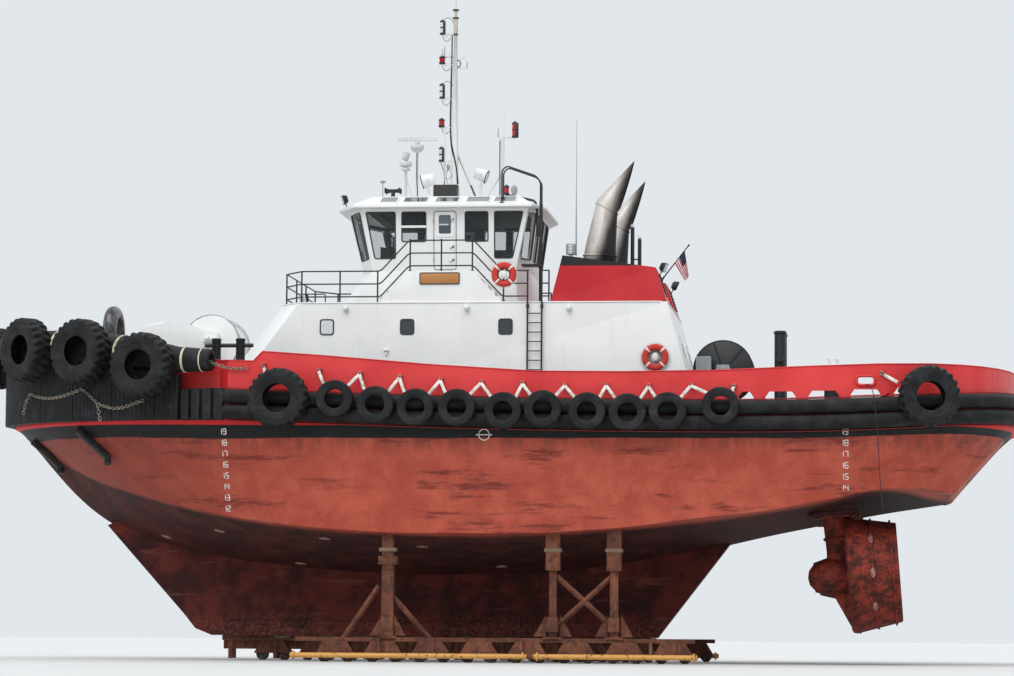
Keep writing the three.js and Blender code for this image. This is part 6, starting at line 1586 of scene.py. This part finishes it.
def lantern(x, y, z, radius, height):
    """Caps and glass of a navigation lantern centred at a height, as two lists of shells."""
    b = height / 2
    caps = [turned([(0, -b - 0.02), (radius * 0.7, -b - 0.02), (radius * 1.15, -b), (radius * 1.15, -b + 0.03),
                    (radius * 0.9, -b + 0.05), (0, -b + 0.05)], (x, y, z), (0, 0, 1), 20),
            turned([(0, b - 0.05), (radius * 0.9, b - 0.05), (radius * 1.15, b - 0.03), (radius * 1.1, b),
                    (radius * 0.5, b + 0.03), (radius * 0.3, b + 0.05), (0, b + 0.05)], (x, y, z), (0, 0, 1), 20)]
    if height > 0.3:
        caps.append(slab((x - radius * 1.2, y - radius * 1.1, z - b), (x - radius * 0.3, y + radius * 1.1, z + b),
                         0.01))
        caps.append(turned([(0, -0.03), (radius, -0.03), (radius * 1.08, 0), (radius, 0.03), (0, 0.03)], (x, y, z),
                           (0, 0, 1), 20))
    heights = np.linspace(-b + 0.04, b - 0.04, 13)
    bands = [(radius * (1.04 if k % 2 else 0.94), h) for k, h in enumerate(heights)]
    lens = turned([(0, heights[0])] + bands + [(0, heights[-1])], (x, y, z), (0, 0, 1), 24)
    return caps, [lens]


LAMP_X = 2.01
cap_shells, clear_lenses, red_lenses = [], [], []
for z, radius, height in ((18.18, 0.072, 0.40), (17.19, 0.085, 0.20), (16.25, 0.072, 0.41), (15.29, 0.085, 0.22),
                          (14.34, 0.072, 0.40)):
    caps, lens = lantern(LAMP_X, 0, z, radius, height)
    cap_shells += caps
    (clear_lenses if height > 0.3 else red_lenses).extend(lens)
for spot in ((-0.197, 0, 15.063, 0.085, 0.43), (-0.07, 1.0, 13.12, 0.075, 0.24)):
    caps, lens = lantern(*spot)
    cap_shells += caps
    red_lenses += lens
cap_shells.append(pipe([(-0.07, 1.0, 12.82), (-0.07, 1.0, 12.9), (-0.07, 1.0, 13.0)], 0.025, 8, (1, 0, 0)))
piece("lantern_caps", cap_shells, black, sharp=40)
piece("lantern_clear_glass", clear_lenses, lamp_glass, sharp=60)
piece("lantern_red_glass", red_lenses, red_glass, sharp=60)

# Shelves under the lanterns: a folded tray with a knee below it, back to the mast
shelves = []
for z in (17.97, 17.075, 16.035, 15.165, 14.13):
    shelves.append(slab((1.66, -0.05, z - 0.03), (2.10, 0.05, z - 0.012), 0.008))
    shelves.append(pipe(filleted([(1.70, 0, z - 0.16), (1.82, 0, z - 0.13), (1.95, 0, z - 0.03)], 0.05), 0.012, 8,
                        (0, 1, 0)))
piece("lantern_shelves", shelves, white, sharp=40)

# Cables down the mast's fore side, along its strut and in loops at the lanterns; a double hose, collars and a ring
wires = [pipe(filleted(route, 0.25, 6), r, 8, (0.1, 1, 0)) for route, r in (
    ([(1.71, 0.03, 17.95), (1.72, 0.03, 16.9), (1.74, 0.03, 15.1), (1.72, 0.05, 14.75), (1.62, 0.12, 14.3),
      (1.53, 0.14, 13.9), (1.50, 0.14, 13.44)], 0.020),
    ([(1.74, -0.02, 16.95), (1.76, -0.02, 15.4), (1.75, 0.0, 14.9), (1.69, 0.12, 14.45), (1.56, 0.16, 14.1),
      (1.47, 0.17, 13.44)], 0.015),
    ([(1.60, -0.04, 14.50), (1.40, -0.045, 14.05), (1.20, -0.05, 13.58), (0.98, -0.05, 13.08), (0.93, -0.05, 12.90)],
     0.026), ([(2.03, 0, 14.10), (1.97, 0, 13.95), (1.92, 0.0, 13.7), (1.90, 0.03, 13.42)], 0.012),
    ([(0.25, 0.04, 14.75), (0.25, 0.05, 14.0), (0.24, 0.05, 13.2), (0.25, 0.06, 12.87)], 0.014),
    ([(2.67, 0.54, 14.30), (2.67, 0.56, 13.78), (2.66, 0.58, 13.40), (2.62, 0.60, 12.87)], 0.014))]
for z in (17.93, 17.03, 15.99, 15.13):
    wires.append(pipe(filleted([(2.01, 0, z), (1.95, 0, z - 0.14), (1.86, 0, z - 0.17), (1.76, 0, z - 0.06)], 0.12, 5),
                      0.009, 8, (0, 1, 0)))
for z in (18.43, 16.50):
    wires.append(pipe(filleted([(1.97, 0, z - 0.02), (1.88, 0, z + 0.06), (1.76, 0, z + 0.03), (1.68, 0, z - 0.10)],
                               0.12, 5), 0.008, 8, (0, 1, 0)))
for dy in (-0.035, 0.035):
    hose = [(-0.10, 1.0 + dy, 12.86), (-0.10, 1.0 + dy, 12.98), (-0.20, 1.1 + dy, 12.95), (-0.60, 1.5 + dy, 12.82),
            (-0.98, 1.92 + dy, 12.69), (-1.06, 2.06 + dy, 12.60), (-1.10, 2.15 + dy, 12.40), (-1.12, 2.17 + dy, 11.6)]
    wires.append(pipe(filleted(hose, 0.1, 5), 0.033, 12, (0.3, 0.2, 1)))
for bore, rim, z in ((0.055, 0.075, 17.96), (0.045, 0.10, 18.47), (0.02, 0.10, 18.71)):
    wires.append(turned([(bore, -0.02), (rim, -0.015), (rim, 0.015), (bore, 0.02)], (1.61, 0, z), (0, 0, 1), 20,
                        closed=True))
wires.append(pipe(ellipse((1.53, 0.02, 17.08), (0.075, 0, 0), (0, 0, 0.10), 24), 0.016, 8, (0, 1, 0), closed=True))
piece("roof_cables", wires, black, sharp=60)

# A plug joint in the cable beside the mast, with a loop of grey wire
plug = [turned([(0, -0.09), (0.03, -0.09), (0.035, -0.05), (0.05, -0.04), (0.05, 0.04), (0.035, 0.05), (0.03, 0.09),
                (0, 0.09)], (1.79, 0.10, 13.95), (0.1, 0, 1), 16)]
turn_at = np.linspace(0, 1.75 * np.pi, 24)
plug.append(pipe(np.stack([1.80 + 0.11 * np.cos(turn_at), 0.12 + 0.01 * turn_at, 13.72 + 0.14 * np.sin(turn_at)], -1),
                 0.010, 8, (0, 1, 0)))
plug.append(pipe(filleted([(1.79, 0.10, 13.88), (1.86, 0.1, 13.7), (1.84, 0.08, 13.55), (1.78, 0.05, 13.42)], 0.08),
                 0.010, 8, (0, 1, 0)))
piece("mast_cable_plug", plug, grey, sharp=50)

# Whips, the positioning aerial on its thin post, a ribbed can and a small dome
aerials = []
for x, y, low_z, high_z, r in ((-2.28, 2.5, 11.0, 12.9, 0.020), (-2.28, 2.5, 12.9, 14.96, 0.009),
                               (0.31, 0, 14.86, 15.15, 0.016),
                               (3.77, 0, 12.85, 13.50, 0.016), (2.01, 0.0, 17.27, 17.55, 0.012),
                               (1.94, 0, 17.30, 17.60, 0.016), (1.26, 0, 16.95, 17.16, 0.018)):
    aerials.append(turned([(0, 0), (r * 1.2, 0), (r, (high_z - low_z) * 0.5), (r * 0.6, high_z - low_z),
                           (0, high_z - low_z)], (x, y, low_z), (0, 0, 1), 10))
aerials.append(turned([(0, -0.03), (0.05, -0.03), (0.085, -0.015), (0.085, 0.02), (0.05, 0.045), (0, 0.05)],
                      (3.77, 0, 13.53), (0, 0, 1), 24))
aerials.append(turned([(0, 0), (0.02, 0), (0.02, 0.19), (0.06, 0.21), (0.09, 0.27), (0.098, 0.36), (0.085, 0.43),
                       (0.05, 0.48), (0, 0.50)], (-0.23, 0.4, 12.86), (0, 0, 1), 28))
piece("roof_aerials", aerials, grey, sharp=50)
silver = mottled("brushed_silver", (20, 4, 0.6, (1, 1, 0.2)), (0.42, 0.42, 0.41), (0.60, 0.60, 0.59), rough=(0.32, 0.2),
                 Metallic=0.6)
can = [(0, 0), (0.06, 0), (0.06, 0.06), (0.13, 0.065)]
can += [(0.150 - 0.012 * (k % 2), 0.08 + 0.022 * k) for k in range(13)] + [(0.12, 0.38), (0.05, 0.40), (0, 0.40)]
piece("aft_aerial_can", [turned(can, (-2.13, 2.5, 10.97), (0, 0, 1), 32),
                         turned([(0, 0), (0.035, 0), (0.035, 0.32), (0, 0.32)], (-2.13, 2.5, 10.70), (0, 0, 1), 14)],
      silver, sharp=40)

horns = []
for y in (0.86, 1.12):
    flare = [(0.035, 0.0), (0.038, 0.10), (0.055, 0.17), (0.085, 0.215), (0.088, 0.23), (0.07, 0.225), (0, 0.16)]
    trumpet = [(0, -0.16)] + [(r, -h) for r, h in flare[-2::-1]] + flare[1:]
    horns.append(turned(trumpet, (3.31, y, 13.13), (1, 0, 0), 28))
    horns.append(slab((3.27, y - 0.015, 12.84), (3.35, y + 0.015, 13.12), 0.008))
piece("horns", horns, black, sharp=50)

# Each searchlight: a drum with a rolled rim and a yoke with two knobs, nose down on its pedestal
for label, x, y, z, way, down in (("port", 2.24, 1.15, 13.07, 1, 15), ("starboard", 0.955, -1.15, 13.535, -1, 21)):
    dressed(f"searchlight_{label}_base", white, sharp=50)
    body = BODY_OF[f"searchlight_{label}"]
    lean = math.radians(down)
    axis = np.array([way * math.cos(lean), 0, -math.sin(lean)])
    back = np.array([x, y, z + 0.345]) - axis * 0.2
    drum = turned([(0, 0.001), (0.09, 0.001), (0.155, 0.012), (0.172, 0.04), (0.174, 0.06), (0.198, 0.33),
                   (0.206, 0.34), (0.208, 0.398), (0.190, 0.399), (0.185, 0.375), (0, 0.375)], back, axis, 44)
    yoke_a = np.linspace(0, np.pi, 16)
    yoke = np.stack([0 * yoke_a + x, y + 0.225 * np.cos(yoke_a), z + 0.345 - 0.285 * np.sin(yoke_a)], -1)
    foot = turned([(0, 0.0005), (0.06, 0.0005), (0.06, 0.05), (0.045, 0.062), (0, 0.062)], (x, y, z), (0, 0, 1), 20)
    knobs = [turned([(0, -0.262), (0.026, -0.262), (0.03, -0.25), (0.03, 0.25), (0.026, 0.262), (0, 0.262)],
                    (x, y, z + 0.345), (0, 1, 0), 16)]
    piece(f"searchlight_{label}_head", [drum, carried(oblong(0.05, 0.012, 0.004, 2), yoke, (1, 0, 0)), foot] + knobs,
          white, body, replaces=(f"searchlight_{label}",), sharp=45)
    rim_black = turned([(0.188, 0.372), (0.210, 0.372), (0.210, 0.400), (0.188, 0.400)], back, axis, 44, closed=True)
    piece(f"searchlight_{label}_rim", [rim_black], black, body, sharp=45)
    pane = turned([(0, 0.376), (0.188, 0.376), (0.188, 0.384), (0.10, 0.392), (0, 0.394)], back, axis, 32)
    piece(f"searchlight_{label}_glass", [pane], lamp_glass, body, sharp=60)


# ---- Funnels and exhausts: red casings with black tops, and bare steel trunks that lean and open aft.
# The trunks are stained by heat and black with soot at the mouth.
casing = f = Finish("funnel_enamel", Specular_IOR_Level=0.2)
broad, run, fleck = f.noise(0.8, 4, 0.5), f.noise(5, 5, 0.6, (1, 1, 0.12)), f.noise(22, 5, 0.75)
colour = f.mix(broad.rise(0.35, 0.65), (0.42, 0.010, 0.016), (0.48, 0.018, 0.022))
colour = f.mix(run.rise(0.58, 0.8) * 0.3, colour, (0.24, 0.02, 0.018))
colour = f.mix(f.z.rise(10.648, 10.654), colour, (0.010, 0.011, 0.013))
f.set(Base_Color=f.mix(fleck.rise(0.72, 0.78) * 0.5, colour, (0.10, 0.035, 0.018)), Roughness=0.36 + run * 0.2)
f.relief((broad, 0.25, 0.015))
steel = f = Finish("heat_tinted_steel")
brush, stain = f.noise(16, 5, 0.65, (1, 1, 0.12)), f.noise(1.6, 5, 0.6, (1, 1, 0.35))
speck = f.noise(9, 4, 0.7, (1, 1, 0.4))
tint = f.mix(brush, (0.50, 0.46, 0.42), (0.74, 0.71, 0.67))
tint = f.mix(stain.rise(0.42, 0.62) * 0.65, tint, (0.30, 0.20, 0.13))
tint = f.mix(speck.rise(0.6, 0.72) * 0.4, tint, (0.66, 0.63, 0.59))
off_mouth = (f.x + 3.725) * 0.958 + (f.z - 13.085) * 0.287 + (stain - 0.5) * 0.35
soot = 1 - off_mouth.rise(0.02, 0.34)
f.set(Base_Color=f.mix(soot, tint, (0.012, 0.011, 0.011)), Metallic=0.38 - soot * 0.3,
      Roughness=0.38 + brush * 0.18 + soot * 0.25)
f.relief((brush, 0.2, 0.004), (stain, 0.15, 0.01))
for label in ("port", "starboard"):
    dressed(f"funnel_{label}", casing, bevel=0.03, steps=3)
    dressed(f"exhaust_{label}", steel, sharp=50, bevel=0.006, steps=1)
collars, louvres = [], []
for level, along, across in ((11.02, 0.49, 0.435), (12.40, 0.362, 0.362)):
    cx = np.interp(level, [10.7, 11.3, 12.47], [-2.92, -2.97, -3.15])
    tilt = math.radians(np.interp(level, [10.7, 11.3, 12.47], [0, 4, 29]))
    loop = ellipse((cx, 2.2, level), (along * math.cos(tilt), 0, along * math.sin(tilt)), (0, across, 0), 40)
    collars.append(carried(oblong(0.016, 0.045, 0.006, 2), loop, (0, 0, 1), closed=True))
piece("exhaust_collars", both(*collars), steel, sharp=50)
for k in range(7):
    z = 9.86 + 0.09 * k
    x = -4.96 + (z - 9.58) * 0.333
    louvres.append(slab((x - 0.035, 1.72, z), (x + 0.02, 2.78, z + 0.03), 0.01))
louvres.append(pipe([(-3.83, 1.40, 10.66), (-3.83, 1.40, 11.3), (-3.83, 1.40, 11.93)], 0.057, 16, (1, 0, 0)))
louvres.append(pipe(filleted([(-3.86, 1.40, 11.0), (-3.98, 1.42, 11.0), (-4.05, 1.42, 11.04), (-4.04, 1.42, 11.12)],
                             0.04), 0.02, 8, (0, 1, 0)))
piece("funnel_louvres", both(*louvres), black, sharp=40)
knob = turned([(0, -0.05), (0.035, -0.045), (0.06, 0), (0.045, 0.05), (0, 0.06)], (-3.83, 1.40, 11.98), (0, 0, 1), 20)
piece("vent_pipe_knobs", both(knob), white, sharp=60)


# ---- Life rings on the rails, the flag on its raked staff, and a thin line hanging over the quarter.
# The rings have narrow white bands, a grab line, and a pale bag of line in the middle.
ring_red = mottled("life_ring_cloth", (40, 3), (0.46, 0.022, 0.014), (0.58, 0.040, 0.024), relief=(0.3, 0.002),
                   Roughness=0.7)
band_white = mottled("life_ring_bands", (40, 3), (0.66, 0.65, 0.62), (0.78, 0.77, 0.75), Roughness=0.75)
buoys, bands, lines, inner_lines = [], [], [], []
for x, y, z, r in ((-0.28, 3.335, 10.375, 0.27), (-4.64, 3.37, 7.98, 0.29)):
    fat = circle(1.0, 18) * (0.092, 0.062)
    buoys.append(carried(fat, ellipse((x, y, z), (r, 0, 0), (0, 0, r), 64), (0, 1, 0), closed=True))
    for k in range(4):
        b = np.linspace(-0.085, 0.085, 8) + math.pi / 4 + k * math.pi / 2
        bands.append(carried(fat * 1.04, np.stack([x + r * np.cos(b), 0 * b + y, z + r * np.sin(b)], -1), (0, 1, 0)))
        c = np.linspace(math.pi / 4, 3 * math.pi / 4, 12) + k * math.pi / 2
        bow_out = r + 0.105 + 0.02 * np.sin(np.linspace(0, np.pi, 12))
        lines.append(pipe(np.stack([x + bow_out * np.cos(c), 0 * c + y, z + bow_out * np.sin(c)], -1), 0.008, 6,
                          (0, 1, 0)))
    inner_lines.append(pipe(ellipse((x, y + 0.01, z), (0.165, 0, 0), (0, 0, 0.165), 64), 0.014, 8, (0, 1, 0),
                            closed=True))
    bag = np.array([circle(1.0, 20) * (0.095 * s, 0.125 * s) for s in (0.35, 0.8, 0.97, 1.0, 0.95, 0.7, 0.3)])
    depth = np.array([-0.04, -0.035, -0.015, 0.01, 0.04, 0.06, 0.066])
    bands.append((drawn_together(np.stack([x + bag[..., 0], y + depth[:, None] + 0 * bag[..., 0], z + bag[..., 1]],
                                          -1)), False, True))
piece("life_rings", both(*buoys), ring_red, sharp=60)
piece("life_ring_bands", both(*bands), band_white, sharp=50)
piece("life_ring_lines", both(*lines), strap_web, sharp=60)
piece("life_ring_inner_lines", both(*inner_lines), black, sharp=60)

STAFF_FOOT, STAFF_TOP = np.array([-4.609, 0, 10.569]), np.array([-5.387, 0, 11.570])
staff_way = STAFF_TOP - STAFF_FOOT
staff_length = float(np.linalg.norm(staff_way))
staff = turned([(0, -0.06), (0.030, -0.06), (0.030, 0.08), (0.021, 0.10), (0.016, staff_length - 0.03),
                (0.030, staff_length - 0.01), (0.030, staff_length + 0.02), (0, staff_length + 0.035)], STAFF_FOOT,
               staff_way, 14)
step_foot = pipe(filleted([(-4.42, 0, 9.58), (-4.42, 0, 10.30), (-4.62, 0, 10.56)], 0.12), 0.034, 12, (0, 1, 0))
step_plate = stud(0.09, 0.015, 0.05, 0.03, (-4.42, 0, 9.58), (0, 0, 1), 20)
piece("flag_staff", [staff, step_foot, step_plate], black, sharp=50)


def cloth(name, colour):
    f = Finish(name, Roughness=0.85)
    thread, soil = f.noise(160, 2, 0.5), f.noise(5, 4, 0.6)
    f.set(Base_Color=f.mix(soil.rise(0.4, 0.8) * 0.3, colour, tuple(c * 0.5 + 0.02 for c in colour)))
    f.relief((thread, 0.3, 0.001))
    return f


def hanging_flag(hoist_low, hoist_high, low_fly, high_fly, waves=1.25, cells=(66, 44)):
    """A flag hung from a raked staff: u runs up the hoist and v out along the fly.

    Points lie on the bilinear sheet through the corners and stand off it by A(v) sin(2 pi waves u) in y. A(v) is
    found by halving an interval until the line across the cloth at v is as long as the hoist.
    """
    u, v = np.linspace(0, 1, cells[0] + 1)[:, None], np.linspace(0, 1, cells[1] + 1)[None]
    corner = [np.asarray(p, float) for p in (hoist_low, hoist_high, low_fly, high_fly)]
    flat = ((1 - u) * (1 - v))[..., None] * corner[0] + (u * (1 - v))[..., None] * corner[1] \
        + ((1 - u) * v)[..., None] * corner[2] + (u * v)[..., None] * corner[3]
    across = np.linalg.norm(flat[-1] - flat[0], axis=-1)
    full = across[0] * 1.0001
    low, high = np.zeros_like(across), np.full_like(across, 0.3)
    wave = np.sin(2 * np.pi * waves * u)
    for _ in range(30):
        size = (low + high) / 2
        steps = np.hypot(across / cells[0], np.diff(wave * size, axis=0))
        too_long = steps.sum(0) > full
        low, high = np.where(too_long, low, size), np.where(too_long, size, high)
    flat[..., 1] += wave * low
    return flat


flag_points = hanging_flag((-4.974, 0.02, 11.043), (-5.278, 0.02, 11.395), (-5.298, 0.22, 10.486),
                           (-5.398, 0.06, 10.646))
rows, columns = flag_points.shape[:2]
i, j = np.meshgrid(np.arange(rows - 1), np.arange(columns - 1), indexing="ij")
quads = np.stack([i * columns + j, (i + 1) * columns + j, (i + 1) * columns + j + 1, i * columns + j + 1],
                 -1).reshape(-1, 4)
flag_mesh = bpy.data.meshes.new("flag")
flag_mesh.from_pydata((flag_points.reshape(-1, 3) + KEEL).tolist(), [], quads.tolist())
flag = bpy.data.objects.new("flag", flag_mesh)
bpy.context.collection.objects.link(flag)
for name, colour in (("flag_red", (0.42, 0.012, 0.020)), ("flag_white", (0.76, 0.73, 0.72)),
                     ("flag_blue", (0.030, 0.036, 0.075))):
    flag_mesh.materials.append(cloth(name, colour).material)
STRIPES = 11
stripe = (i * STRIPES // (rows - 1)) % 2
canton = (i > (rows - 1) * 5 / 11) & (j < (columns - 1) * 0.42)
flag_mesh.polygons.foreach_set("material_index", np.where(canton, 2, stripe).ravel().tolist())
flag_mesh.polygons.foreach_set("use_smooth", [True] * len(flag_mesh.polygons))
thick = flag.modifiers.new("thickness", "SOLIDIFY")
thick.thickness, thick.offset = 0.0015, 0
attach(flag, "tug")

thin = filleted([(-10.62, 6.02, 7.0), (-10.74, 6.40, 6.95), (-10.83, 6.54, 6.776), (-10.93, 6.55, 5.98),
                 (-10.99, 6.45, 5.0), (-11.0, 6.40, 4.57), (-11.09, 6.35, 3.56)], 0.2, 5)
thin_line = piece("quarter_line", [pipe(thin, 0.012, 8, (1, 0, 0.2))], black, sharp=60)
